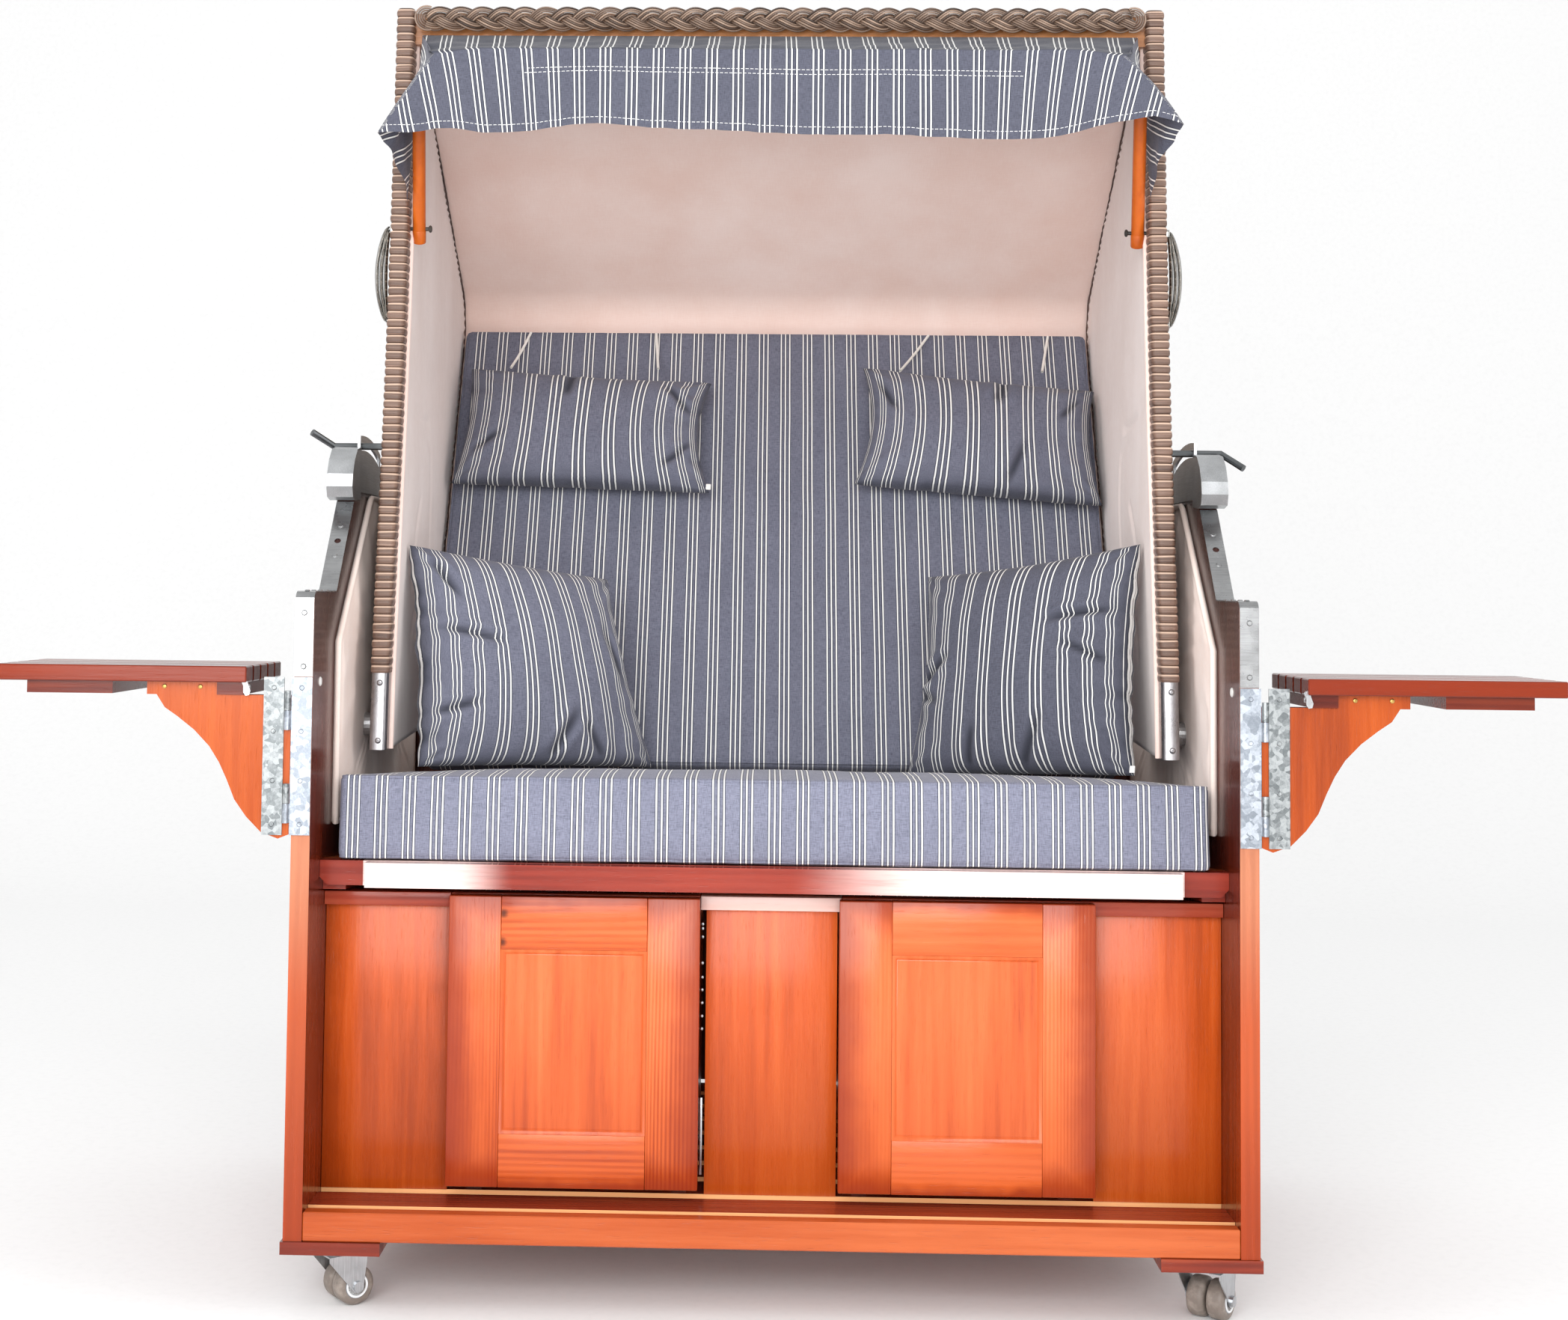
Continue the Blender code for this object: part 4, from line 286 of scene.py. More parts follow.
@dataclass(frozen=True)
class VarnishedWood(Finish):
    """Stained hardwood under a clear glossy varnish.

    Fields: the stain's light, middle and dark tones, the way the grain runs, the varnish's
    roughness, the growth rings' pitch and share, the boards' way, pitch and start, the borders
    (x, z, x, z) and width of a darker rim, the front face's plane and its tones low down, in the
    middle and high up, painted lighter as if lit from the front, where a painted reflection of
    window light whitens the wood, the height from which it is darkened, the pitch and start of
    the slats' front edges that are painted pale as if lit, and the knots' places (x, z).
    """

    name: str
    light: Colour = rgb("D8713B")
    middle: Colour = rgb("B4501F")
    dark: Colour = rgb("6E2412")
    grain: Axis = Axis.Z
    roughness: float = 0.2
    ring_pitch: float = 0.009
    ring_share: float = 0.3
    board_axis: Axis = Axis.X
    board_pitch: float = 0.0
    board_start: float = 0.0
    rim: tuple[float, float, float, float] = ()
    rim_width: float = 0.03
    face_axis: Axis = Axis.Y
    face_limit: float = 0.0
    lit_face_tone: Colour = ()
    low_tone: Colour = ()
    low_z: float = 0.15
    high_z: float = 0.42
    glare: tuple[float, float] = ()
    far_glare: tuple[float, float] = ()
    glare_half: float = 0.5291
    lit_high_tone: Colour = ()
    top_z: float = 0.0
    lit_edge_pitch: float = 0.0
    lit_edge_start: float = 0.0
    knots: tuple[tuple[float, float], ...] = ()

    def mix_up(self) -> bpy.types.Material:
        """Grain, growth rings, pores and blotches of stain.

        Returns:
            The material.
        """
        g = Graph(self.name)
        spot = g.own()
        values = g.split(spot)
        stretch = [1.0, 1.0, 1.0]
        stretch[self.grain.value] = 0.05
        along = g.scaled(spot, stretch)
        offset: Any = 0.0
        if self.board_pitch:
            step = g.minus(values[self.board_axis.value], self.board_start)
            board = g.math("FLOOR", g.math("DIVIDE", step, self.board_pitch))
            tint = g.node("TexWhiteNoise", {"W": board}, noise_dimensions="1D")
            offset = tint.outputs[0]
            shift = g.joined(g.times(offset, 3.1), g.times(offset, 1.7), g.times(offset, 2.3))
            along = g.node("VectorMath", {0: along, 1: shift}).outputs[0]
        fibre = g.noise(along, 230.0, 4.0, 0.6)
        warp = g.noise(along, 9.0, 2.0)
        cross = [values[i] for i in range(3) if i != self.grain.value]
        turn = g.times(g.plus(cross[0], g.times(cross[1], 0.6)), 2 * math.pi / self.ring_pitch)
        rings = g.math("SINE", g.plus(turn, g.times(warp, 38.0)))
        rings = g.times(g.remap(rings, -1.0, 1.0), g.remap(warp, 0.35, 0.6, 0.25, 1.0))
        blotch = g.noise(g.scaled(spot, [1.0 if s == 1.0 else 0.35 for s in stretch]), 6.0, 2.0)
        streak = g.noise(along, 46.0, 2.0)
        total = g.plus(g.times(blotch, 0.5), g.plus(g.times(rings, self.ring_share * 0.35),
                                                    g.times(fibre, 0.16)))
        total = g.plus(total, g.times(streak, 0.34))
        if self.board_pitch:
            total = g.plus(total, g.times(g.minus(offset, 0.5), 0.3))
        tone = g.remap(total, 0.18, 0.86)
        colour = g.ramp(tone, ((0.0, self.dark), (0.42, self.middle), (1.0, self.light)))
        pores = g.remap(g.noise(along, 900.0, 1.0), 0.64, 0.78)
        colour = g.mix(g.times(pores, 0.22), colour, self.dark)
        if self.low_tone:
            low = g.remap(values[2], self.low_z, self.high_z, 0.62, 0.0)
            colour = g.mix(low, colour, g.mix(g.remap(total, 0.3, 0.7), self.dark, self.low_tone))
        # painted reflection: window glare whitens the varnish towards the left end and in the
        # middle
        if self.glare:
            shine = g.remap(values[0], *self.glare, 1.0, 0.0)
            if self.far_glare:
                shine = g.math("MAXIMUM", shine, g.remap(values[0], *self.far_glare, 0.0, 1.0))
                ends = g.remap(g.size(values[0]), self.glare_half - 0.0005,
                               self.glare_half + 0.0005, 1.0, 0.0)
                shine = g.times(shine, ends)
            shine = g.times(shine, g.remap(fibre, 0.25, 0.6, 0.7, 0.95))
            colour = g.mix(shine, colour, WINDOW_LIGHT)
        # painted light: each slat's front edge is painted pale as if lit from the front, against
        # darker tops
        if self.lit_edge_pitch:
            turn = g.minus(values[1], self.lit_edge_start)
            turn = g.math("FRACT", g.math("DIVIDE", turn, self.lit_edge_pitch))
            front = g.remap(g.size(g.minus(turn, 0.5)), 0.491, 0.494)
            colour = g.mix(front, colour, LIT_EDGE)
        for x, z in self.knots:
            near = g.node("VectorMath", {0: g.joined(values[0], 0.0, values[2]), 1: (x, 0.0, z)},
                          operation="DISTANCE").outputs["Value"]
            near = g.plus(near, g.times(fibre, 0.006))
            colour = g.mix(g.remap(near, 0.004, 0.012, 0.85, 0.0), colour, KNOT)
        if self.rim:
            colour = g.mix(self.rim_share(g, values), colour, self.dark)
        # darker towards the top
        if self.top_z:
            top = g.remap(values[2], self.top_z, self.top_z + 0.2, 0.0, 0.75)
            colour = g.mix(top, colour, TOP_DARKENING)
        # painted light: the front face takes lighter tones as if lit from the front, paler higher
        # up and darker towards the bottom
        if self.lit_face_tone:
            inside = g.remap(values[self.face_axis.value], self.face_limit - 0.001,
                             self.face_limit + 0.001)
            lit = self.lit_face_tone
            if self.lit_high_tone:
                lit = g.mix(g.remap(values[2], 0.36, 0.58), lit, self.lit_high_tone)
                lit = g.mix(g.remap(values[2], 0.10, 0.38, 1.0, 0.0), lit, self.low_tone)
            lit = g.mix(g.remap(total, 0.35, 0.8, 0.35, 0.0), lit, self.middle)
            colour = g.mix(inside, lit, colour)
        g.bump(g.minus(fibre, g.times(pores, 0.8)), 0.0004, 0.5)
        rough = g.plus(g.times(fibre, 0.18), self.roughness)
        return g.finish(Base_Color=colour, Roughness=rough, Coat_Weight=0.16,
                        Coat_Roughness=0.14, Specular_IOR_Level=0.28)

    def rim_share(self, g: Graph, values: tuple[Any, Any, Any]) -> Any:
        """How far the darkening reaches in from the borders of a panel.

        Args:
            g: The material's nodes.
            values: The point's three coordinates.

        Returns:
            A share from 0 inside to 1 at the border.
        """
        x0, z0, x1, z1 = self.rim
        near = g.math("MINIMUM", g.minus(values[0], x0), g.minus(x1, values[0]))
        near = g.math("MINIMUM", near, g.minus(values[2], z0))
        near = g.math("MINIMUM", near, g.minus(z1, values[2]))
        wander = g.noise(g.own(), 24.0, 2.0)
        near = g.plus(near, g.times(g.minus(wander, 0.5), 0.02))
        return g.remap(near, 0.0, self.rim_width, 0.8, 0.0)


@dataclass(frozen=True)
class StripedCloth(Finish):
    """Blue-grey yarn-dyed cloth with groups of three white lines.

    Fields: the colours, the pitch of the groups, the lines' spacing, half width and dark edge,
    whether the stripes follow the cloth's own lay or the chair's width, the first group's
    offset, and a factor on the ground that paints the light and shade each piece gets.
    """

    name: str = "striped_chambray"
    ground: Colour = rgb("7C7E8F")
    shade: Colour = rgb("4F515F")
    line: Colour = rgb("ECEBE8")
    edge: Colour = rgb("252A38")
    pitch: float = 0.0365
    spacing: float = 0.0071
    half_line: float = 0.00098
    edge_width: float = 0.0009
    own_lay: bool = False
    shift: float = 0.0
    tone: float = 1.0

    def mix_up(self) -> bpy.types.Material:
        """Stripes, slubs of the two yarns, and a plain weave.

        Returns:
            The material.
        """
        g = Graph(self.name)
        spot = g.lay() if self.own_lay else g.own()
        x, _, painted_shade = g.split(spot)
        drift = g.minus(g.noise(spot, 9.0, 2.0), 0.5)
        across = g.plus(x, g.times(drift, 0.0012))
        turns = g.math("DIVIDE", g.plus(across, self.shift + 50 * self.pitch), self.pitch)
        local = g.minus(g.math("FRACT", turns), 0.5)
        local = g.size(g.times(local, self.pitch))
        far = g.size(g.minus(local, self.spacing))
        near = g.math("MINIMUM", local, far)
        white = g.remap(near, self.half_line - 0.0003, self.half_line + 0.0003, 1.0, 0.0)
        brink = self.half_line + self.edge_width
        dark = g.remap(near, brink - 0.0002, brink + 0.0004, 1.0, 0.0)
        between = g.remap(local, self.spacing - 0.0005, self.spacing + 0.0005, 1.0, 0.0)
        warp = g.noise(g.scaled(spot, (1.0, 0.12, 0.12)), 1100.0, 2.0)
        weft = g.noise(g.scaled(spot, (0.12, 1.0, 1.0)), 1100.0, 2.0)
        slub = g.times(g.plus(warp, weft), 0.5)
        cloud = g.noise(spot, 16.0, 2.0)
        # tone scales the ground and its darker yarn: painted light above 1, painted shade below 1
        ground = tuple(self.tone * c for c in self.ground)
        shade = tuple(self.tone * c for c in self.shade)
        body = g.mix(g.remap(slub, 0.2, 0.66), shade, ground)
        body = g.mix(g.times(g.remap(cloud, 0.35, 0.7), 0.15), body, shade)
        body = g.mix(g.times(between, 0.2), body, shade)
        colour = g.mix(g.times(dark, 0.85), body, self.edge)
        line = self.line
        # painted shade: the lay's third value darkens the cloth in creases, along seams and on the
        # awning's band
        if self.own_lay:
            colour = g.mix(g.times(painted_shade, 0.9), colour, CLOTH_HOLLOW_SHADE)
            line = g.mix(g.times(painted_shade, 0.35), self.line, LINE_HOLLOW_SHADE)
        colour = g.mix(white, colour, line)
        g.bump(g.plus(slub, g.times(white, 0.6)), 0.0005, 0.5)
        return g.finish(Base_Color=colour, Roughness=0.85, Sheen_Weight=0.15,
                        Sheen_Roughness=0.4, Specular_IOR_Level=0.2)


@dataclass(frozen=True)
class PlainCloth(Finish):
    """Undyed lining cloth, softly rubbed, with a fine weave."""

    name: str
    light: Colour = rgb("F7E2DA")
    dark: Colour = rgb("ECCDC1")
    weave: float = 700.0

    def mix_up(self) -> bpy.types.Material:
        """Weave and faint drag marks.

        Returns:
            The material.
        """
        g = Graph(self.name)
        spot = g.own()
        warp = g.noise(g.scaled(spot, (1.0, 0.1, 0.1)), self.weave, 2.0)
        weft = g.noise(g.scaled(spot, (0.1, 1.0, 1.0)), self.weave, 2.0)
        drag = g.noise(g.scaled(spot, (1.0, 1.0, 0.5)), 9.0, 3.0)
        threads = g.times(g.plus(warp, weft), 0.5)
        tone = g.plus(g.times(drag, 0.7), g.times(threads, 0.4))
        colour = g.ramp(g.remap(tone, 0.2, 0.85), ((0.0, self.dark), (1.0, self.light)))
        g.bump(g.plus(threads, g.times(drag, 0.5)), 0.0006, 0.45)
        return g.finish(Base_Color=colour, Roughness=0.9, Sheen_Weight=0.2,
                        Sheen_Roughness=0.5, Specular_IOR_Level=0.15)


@dataclass(frozen=True)
class WovenStrand(Finish):
    """Brown-grey extruded wicker, streaked along each strand."""

    name: str
    light: Colour = rgb("C3A68A")
    middle: Colour = rgb("84705F")
    dark: Colour = rgb("46372E")
    roughness: float = 0.38
    highlight_rib: float = 0.0
    strand_share: float = 0.42

    def mix_up(self) -> bpy.types.Material:
        """Tones that change from strand to strand and run along each one.

        Returns:
            The material.
        """
        g = Graph(self.name)
        spot = g.lay()
        strand, along, rib = g.split(spot)
        tint = g.node("TexWhiteNoise", {"W": strand}, noise_dimensions="1D").outputs[0]
        line = g.joined(g.times(rib, 2.3), g.times(along, 6.0), strand)
        streak = g.noise(line, 1.7, 3.0, 0.6)
        total = g.plus(g.times(tint, self.strand_share), g.times(streak, 0.75))
        colour = g.ramp(g.remap(total, 0.22, 0.95),
                        ((0.0, self.dark), (0.45, self.middle), (1.0, self.light)))
        # painted highlight along each band's top rib, painted shade in the grooves between ribs
        # and in the gap between bands
        if self.highlight_rib:
            pale = g.remap(rib, self.highlight_rib - 0.7, self.highlight_rib, 0.0, 0.85)
            pale = g.times(pale, g.remap(rib, 4.62, 4.8, 1.0, 0.0))
            groove = g.size(g.minus(g.math("FRACT", rib), 0.5))
            colour = g.mix(g.remap(groove, 0.3, 0.5, 0.0, 0.7), colour, self.dark)
            colour = g.mix(pale, colour, self.light)
            seam = g.math("MAXIMUM", g.remap(rib, 0.10, 0.32, 1.0, 0.0),
                          g.remap(rib, 4.66, 4.9, 0.0, 1.0))
            colour = g.mix(seam, colour, BAND_GAP_SHADE)
        scratch = g.noise(g.joined(g.times(rib, 40.0), along, strand), 60.0, 2.0)
        g.bump(scratch, 0.0003, 0.4)
        rough = g.plus(g.times(streak, 0.15), self.roughness - 0.06)
        return g.finish(Base_Color=colour, Roughness=rough, Specular_IOR_Level=0.5)


@dataclass(frozen=True)
class Steel(Finish):
    """Bare metal, brushed along one way."""

    name: str
    tone: Colour = rgb("C9CACC")
    roughness: float = 0.26
    brushed: Axis = Axis.Z
    streak: float = 0.5

    def mix_up(self) -> bpy.types.Material:
        """Fine brush lines and faint smudges.

        Returns:
            The material.
        """
        g = Graph(self.name)
        spot = g.own()
        stretch = [1.0, 1.0, 1.0]
        stretch[self.brushed.value] = 0.02
        lines = g.noise(g.scaled(spot, stretch), 1500.0, 2.0)
        smudge = g.noise(spot, 30.0, 3.0)
        darker = tuple(0.62 * c for c in self.tone)
        share = g.plus(g.times(lines, self.streak), g.times(smudge, 1.0 - self.streak))
        colour = g.mix(g.remap(share, 0.3, 0.7), darker, self.tone)
        rough = g.plus(g.times(smudge, 0.22), self.roughness - 0.08)
        g.bump(lines, 0.0001, 0.35)
        return g.finish(Base_Color=colour, Metallic=1.0, Roughness=rough)


@dataclass(frozen=True)
class Galvanised(Finish):
    """Zinc-dipped plate with frost-like crystals."""

    name: str = "galvanised_plate"
    light: Colour = rgb("BCC2CB")
    dark: Colour = rgb("868D96")
    crystal: float = 130.0

    def mix_up(self) -> bpy.types.Material:
        """Crystals of differing tone, pitted and dull.

        Returns:
            The material.
        """
        g = Graph(self.name)
        spot = g.own()
        cells = g.node("TexVoronoi", {"Vector": spot, "Scale": self.crystal})
        value = g.split(cells.outputs["Color"])[0]
        pits = g.noise(spot, 260.0, 3.0, 0.7)
        tone = g.plus(g.times(value, 0.45), g.times(pits, 0.6))
        colour = g.mix(g.remap(tone, 0.25, 0.85), self.dark, self.light)
        rough = g.plus(g.times(value, 0.15), 0.3)
        g.bump(pits, 0.0002, 0.4)
        return g.finish(Base_Color=colour, Metallic=0.85, Roughness=rough)


@dataclass(frozen=True)
class Moulded(Finish):
    """Moulded rubber or plastic with a fine grain."""

    name: str
    tone: Colour = rgb("6E655E")
    worn: Colour = rgb("8B8178")
    roughness: float = 0.55

    def mix_up(self) -> bpy.types.Material:
        """Grain and dusty wear.

        Returns:
            The material.
        """
        g = Graph(self.name)
        spot = g.own()
        grain = g.noise(spot, 900.0, 2.0)
        dust = g.noise(spot, 70.0, 4.0, 0.6)
        colour = g.mix(g.remap(dust, 0.42, 0.75), self.tone, self.worn)
        g.bump(grain, 0.0002, 0.4)
        rough = g.plus(g.times(dust, 0.2), self.roughness - 0.1)
        return g.finish(Base_Color=colour, Roughness=rough)


class Shape:
    """Points and faces gathered into one mesh, with each point's flat coordinates."""

    def __init__(self) -> None:
        """Starts with nothing in it."""
        self.points: list[np.ndarray] = []
        self.lays: list[np.ndarray] = []
        self.faces: list[tuple[int, ...]] = []
        self.slots: list[int] = []
        self.count = 0

    def add(self, points: Any, faces: Sequence[Sequence[int]], slot: int = 0,
            lay: Any = None) -> None:
        """Adds points and the faces between them.

        Args:
            points: Places, one row each.
            faces: Point numbers of each face, counted within these points.
            slot: The finish that the faces take.
            lay: Flat coordinates of each point, or None for zeros.
        """
        spots = np.asarray(points, float).reshape(-1, 3)
        flat = np.zeros_like(spots) if lay is None else np.asarray(lay, float).reshape(-1, 3)
        self.points.append(spots)
        self.lays.append(flat)
        self.faces.extend(tuple(i + self.count for i in f) for f in faces)
        self.slots.extend([slot] * len(faces))
        self.count += len(spots)

    def grid(self, rows: Any, lay: Any = None, around: bool = False, along: bool = False,
             slot: int = 0, turned: bool = False) -> None:
        """Adds a surface over a grid of points.

        Args:
            rows: Points as rows by columns by three.
            lay: Flat coordinates in the same layout.
            around: Whether each row's last point joins its first.
            along: Whether the last row joins the first.
            slot: The finish that the faces take.
            turned: Whether the faces look the other way.
        """
        spots = np.asarray(rows, float)
        n, m = spots.shape[:2]
        i, j = np.meshgrid(np.arange(n if along else n - 1), np.arange(m if around else m - 1),
                           indexing="ij")
        i2, j2 = (i + 1) % n, (j + 1) % m
        quads = np.stack([i * m + j, i * m + j2, i2 * m + j2, i2 * m + j], -1).reshape(-1, 4)
        if turned:
            quads = quads[:, ::-1]
        self.add(spots, quads.tolist(), slot, lay)

    def tube(self, path: Any, radius: float, sides: int = 10, slot: int = 0, lay: Any = None,
             closed: bool = False) -> None:
        """Adds a round bar along a path, with flat ends.

        Args:
            path: Points of the bar's middle line.
            radius: The bar's radius.
            sides: Faces around the bar.
            slot: The finish that the faces take.
            lay: One flat coordinate for each path point.
            closed: Whether the path comes back to its start.
        """
        line = np.asarray(path, float)
        ahead = np.gradient(line, axis=0)
        if closed:
            ahead = np.roll(line, -1, axis=0) - np.roll(line, 1, axis=0)
        ahead /= np.linalg.norm(ahead, axis=1)[:, None]
        first = np.array((0.0, 0.0, 1.0))
        if abs(ahead[0] @ first) > 0.9:
            first = np.array((1.0, 0.0, 0.0))
        turns = np.linspace(0, 2 * math.pi, sides, endpoint=False)
        rows, flats = [], []
        for k, (spot, way) in enumerate(zip(line, ahead)):
            first = first - way * (first @ way)
            first /= np.linalg.norm(first)
            ring = np.outer(np.cos(turns), first) + np.outer(np.sin(turns), np.cross(way, first))
            rows.append(spot + ring * radius)
            flats.append(np.repeat([lay[k] if lay is not None else (0, 0, 0)], sides, axis=0))
        start = self.count
        self.grid(rows, flats, around=True, along=closed, slot=slot)
        if not closed:
            self.close(start, sides, slot)

    def close(self, start: int, sides: int, slot: int = 0) -> None:
        """Closes both ends of a bar that was added last.

        Args:
            start: The number of its first point.
            sides: Points in each of its rings.
            slot: The finish that the ends take.
        """
        last = self.count - sides
        self.faces.append(tuple(start + k for k in reversed(range(sides))))
        self.faces.append(tuple(last + k for k in range(sides)))
        self.slots.extend([slot, slot])

    def turned(self, profile: Sequence[tuple[float, float]], origin: Vector, ahead: Vector,
               steps: int = 24, slot: int = 0) -> None:
        """Adds a body turned about an axis.

        Args:
            profile: Pairs of height along the axis and radius, from one end to the other.
            origin: The axis's start.
            ahead: The axis's direction.
            steps: Faces around the axis.
            slot: The finish that the faces take.
        """
        line = ahead.normalized()
        first = line.orthogonal().normalized()
        second = line.cross(first)
        turns = np.linspace(0, 2 * math.pi, steps, endpoint=False)
        ring = np.outer(np.cos(turns), first) + np.outer(np.sin(turns), second)
        start_at, way = np.array(origin), np.array(line)
        rows = [start_at + way * h + ring * max(r, 0.00002) for h, r in profile]
        start = self.count
        self.grid(rows, around=True, slot=slot)
        self.close(start, steps, slot)

    def block(self, low: Vector, high: Vector, rounding: float, slot: int = 0,
              steps: int = 2) -> None:
        """Adds a board with rounded edges.

        Args:
            low: Its lowest corner.
            high: Its highest corner.
            rounding: The radius of its edges.
            slot: The finish that the faces take.
            steps: Faces across each rounded edge.
        """
        made = bmesh.new()
        bmesh.ops.create_cube(made, size=1.0)
        size = high - low
        for vertex in made.verts:
            vertex.co = Vector(a * b for a, b in zip(vertex.co, size))
        bmesh.ops.bevel(made, geom=made.edges[:], offset=rounding, segments=steps, profile=0.5,
                        affect="EDGES")
        bmesh.ops.translate(made, vec=(high + low) / 2, verts=made.verts)
        made.verts.index_update()
        self.add([v.co[:] for v in made.verts],
                 [[v.index for v in f.verts] for f in made.faces], slot)
        made.free()

    def outline(self, points: Any, depth: Vector, slot: int = 0) -> None:
        """Adds a flat plate.

        Args:
            points: Its outline.
            depth: Its thickness as a vector.
            slot: The finish that the faces take.
        """
        edge = np.asarray(points, float)
        count = len(edge)
        both = np.vstack([edge, edge + np.array(depth)])
        faces = [tuple(range(count)), tuple(range(2 * count - 1, count - 1, -1))]
        faces += [(k, count + k, count + (k + 1) % count, (k + 1) % count) for k in range(count)]
        self.add(both, faces, slot)

    def build(self, name: str, *finishes: Finish, smooth: float = 40.0,
              weld: float = 0.0) -> bpy.types.Object:
        """Turns what was gathered into an object.

        Args:
            name: The object's name.
            *finishes: The finishes, in the order of their slots.
            smooth: The steepest angle in degrees that still shades as one surface.
            weld: How near two points are when they become one.

        Returns:
            The object, linked to the scene.
        """
        mesh = bpy.data.meshes.new(name)
        spots = np.vstack(self.points)
        mesh.from_pydata(spots.tolist(), [], self.faces)
        mesh.polygons.foreach_set("material_index", self.slots)
        lay = mesh.attributes.new("lay", "FLOAT_VECTOR", "POINT")
        lay.data.foreach_set("vector", np.vstack(self.lays).astype(np.float32).ravel())
        for one in finishes:
            mesh.materials.append(one.material())
        mesh.validate()
        fixed = bmesh.new()
        fixed.from_mesh(mesh)
        if weld:
            bmesh.ops.remove_doubles(fixed, verts=fixed.verts, dist=weld)
        bmesh.ops.recalc_face_normals(fixed, faces=fixed.faces)
        fixed.to_mesh(mesh)
        fixed.free()
        mesh.shade_smooth()
        mesh.set_sharp_from_angle(angle=math.radians(smooth))
        made = bpy.data.objects.new(name, mesh)
        bpy.context.scene.collection.objects.link(made)
        return made


def attach(piece: bpy.types.Object, body: str, node: str, *hidden: str) -> bpy.types.Object:
    """Lets a piece ride on a body and stand for other nodes.

    Args:
        piece: The finished piece.
        body: The body it moves with.
        node: Not used.
        *hidden: Nodes that it replaces.

    Returns:
        The same piece.
    """
    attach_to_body(piece, body)
    if hidden:
        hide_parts(*hidden)
    LOG.info("%s rides on %s with %d faces", piece.name, body, len(piece.data.polygons))
    return piece


def dress(node: str, finish: Finish) -> None:
    """Gives a carried-over solid its finish.

    Args:
        node: The solid's name.
        finish: The finish for all of its slots.
    """
    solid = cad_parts[node]
    for slot in solid.material_slots:
        slot.material = finish.material()
    LOG.info("%s is finished as %s", node, type(finish).__name__)


def smooth(value: float, low: float, high: float) -> float:
    """A share that eases from 0 at the low value to 1 at the high one."""
    share = min(1.0, max(0.0, (value - low) / (high - low)))
    return share * share * (3 - 2 * share)


def ripple(place_in: Sequence[float], scale: float, seed: float = 0.0) -> float:
    """Smooth noise from -1 to 1 at a place, the same on each run."""
    return noise.noise(Vector(place_in) * scale + Vector((seed, 1.7 * seed, -seed)))


@dataclass
class Studio:
    """The pale floor, soft lights and the camera of the front view."""

    lens: float = 50.593
    camera_spot: tuple[float, float, float] = (-0.0098, -2.8, 0.9135)
    yaw: float = -0.0296
    pitch: float = 0.0546
    roll: float = 0.0108
    shift: tuple[float, float] = (0.05196, -0.12153)

    def camera(self) -> None:
        """Sets the camera where the photograph's perspective puts it."""
        sy, cy = math.sin(self.yaw), math.cos(self.yaw)
        sp, cp = math.sin(self.pitch), math.cos(self.pitch)
        ahead = Vector((sy * cp, cy * cp, sp))
        right = Vector((cy, -sy, 0.0))
        up = right.cross(ahead)
        cr, sr = math.cos(self.roll), math.sin(self.roll)
        right, up = cr * right + sr * up, -sr * right + cr * up
        lens = bpy.data.cameras.new("front_camera")
        lens.lens, lens.sensor_width, lens.sensor_fit = self.lens, 36.0, "HORIZONTAL"
        lens.shift_x, lens.shift_y = self.shift
        lens.clip_start, lens.clip_end = 0.05, 60.0
        camera = bpy.data.objects.new("front_camera", lens)
        turn = Matrix((right, up, -ahead)).transposed()
        camera.matrix_world = Matrix.Translation(place(*self.camera_spot)) @ turn.to_4x4()
        bpy.context.scene.collection.objects.link(camera)
        bpy.context.scene.camera = camera

    def floor(self) -> None:
        """Lays a pale floor that rises softly behind the chair."""
        reach, back, rise = 9.0, 5.0, 6.0
        profile = [(-9.0, 0.0), (back - 2.0, 0.0)]
        profile += [(back - 2.0 + 2.0 * math.sin(a), 2.0 - 2.0 * math.cos(a))
                    for a in np.linspace(0.1, math.pi / 2, 12)]
        profile.append((back, rise))
        shape = Shape()
        shape.grid([[(-reach, y, z), (reach, y, z)] for y, z in profile])
        paper = Moulded("studio_paper", rgb("F2F2F2"), rgb("EFEFEF"), 0.8)
        shape.build("studio_floor", paper)

    def lights(self) -> None:
        """Hangs soft boxes and an even surround."""
        scene = bpy.context.scene
        scene.view_settings.view_transform = "Standard"
        world = bpy.data.worlds.new("surround")
        world.use_nodes = True
        surround = world.node_tree.nodes["Background"]
        surround.inputs["Color"].default_value = (1.0, 1.0, 1.0, 1.0)
        surround.inputs["Strength"].default_value = 0.95
        scene.world = world
        boxes = (("front_soft_box", (-0.5, -4.4, 1.75), (3.4, 2.4), 150.0),
                 ("left_soft_box", (-3.4, -2.2, 2.6), (1.6, 2.4), 26.0),
                 ("right_soft_box", (3.4, -1.8, 2.2), (1.6, 2.4), 30.0))
        for name, spot, size, power in boxes:
            lamp = bpy.data.lights.new(name, "AREA")
            lamp.shape, lamp.size, lamp.size_y, lamp.energy = "RECTANGLE", *size, power
            box = bpy.data.objects.new(name, lamp)
            box.location = spot
            aim = Vector((0.0, 0.0, 0.9)) - Vector(spot)
            box.rotation_euler = aim.to_track_quat("-Z", "Y").to_euler()
            scene.collection.objects.link(box)

    def build(self) -> None:
        """Sets up all of the studio."""
        self.camera()
        self.floor()
        self.lights()


def settled(piece: bpy.types.Object) -> bpy.types.Object:
    """Puts a piece's modifiers into its mesh and takes them off.

    Args:
        piece: A piece that may carry modifiers.

    Returns:
        The same piece.
    """
    graph = bpy.context.evaluated_depsgraph_get()
    mesh = bpy.data.meshes.new_from_object(piece.evaluated_get(graph))
    piece.modifiers.clear()
    piece.data = mesh
    return piece


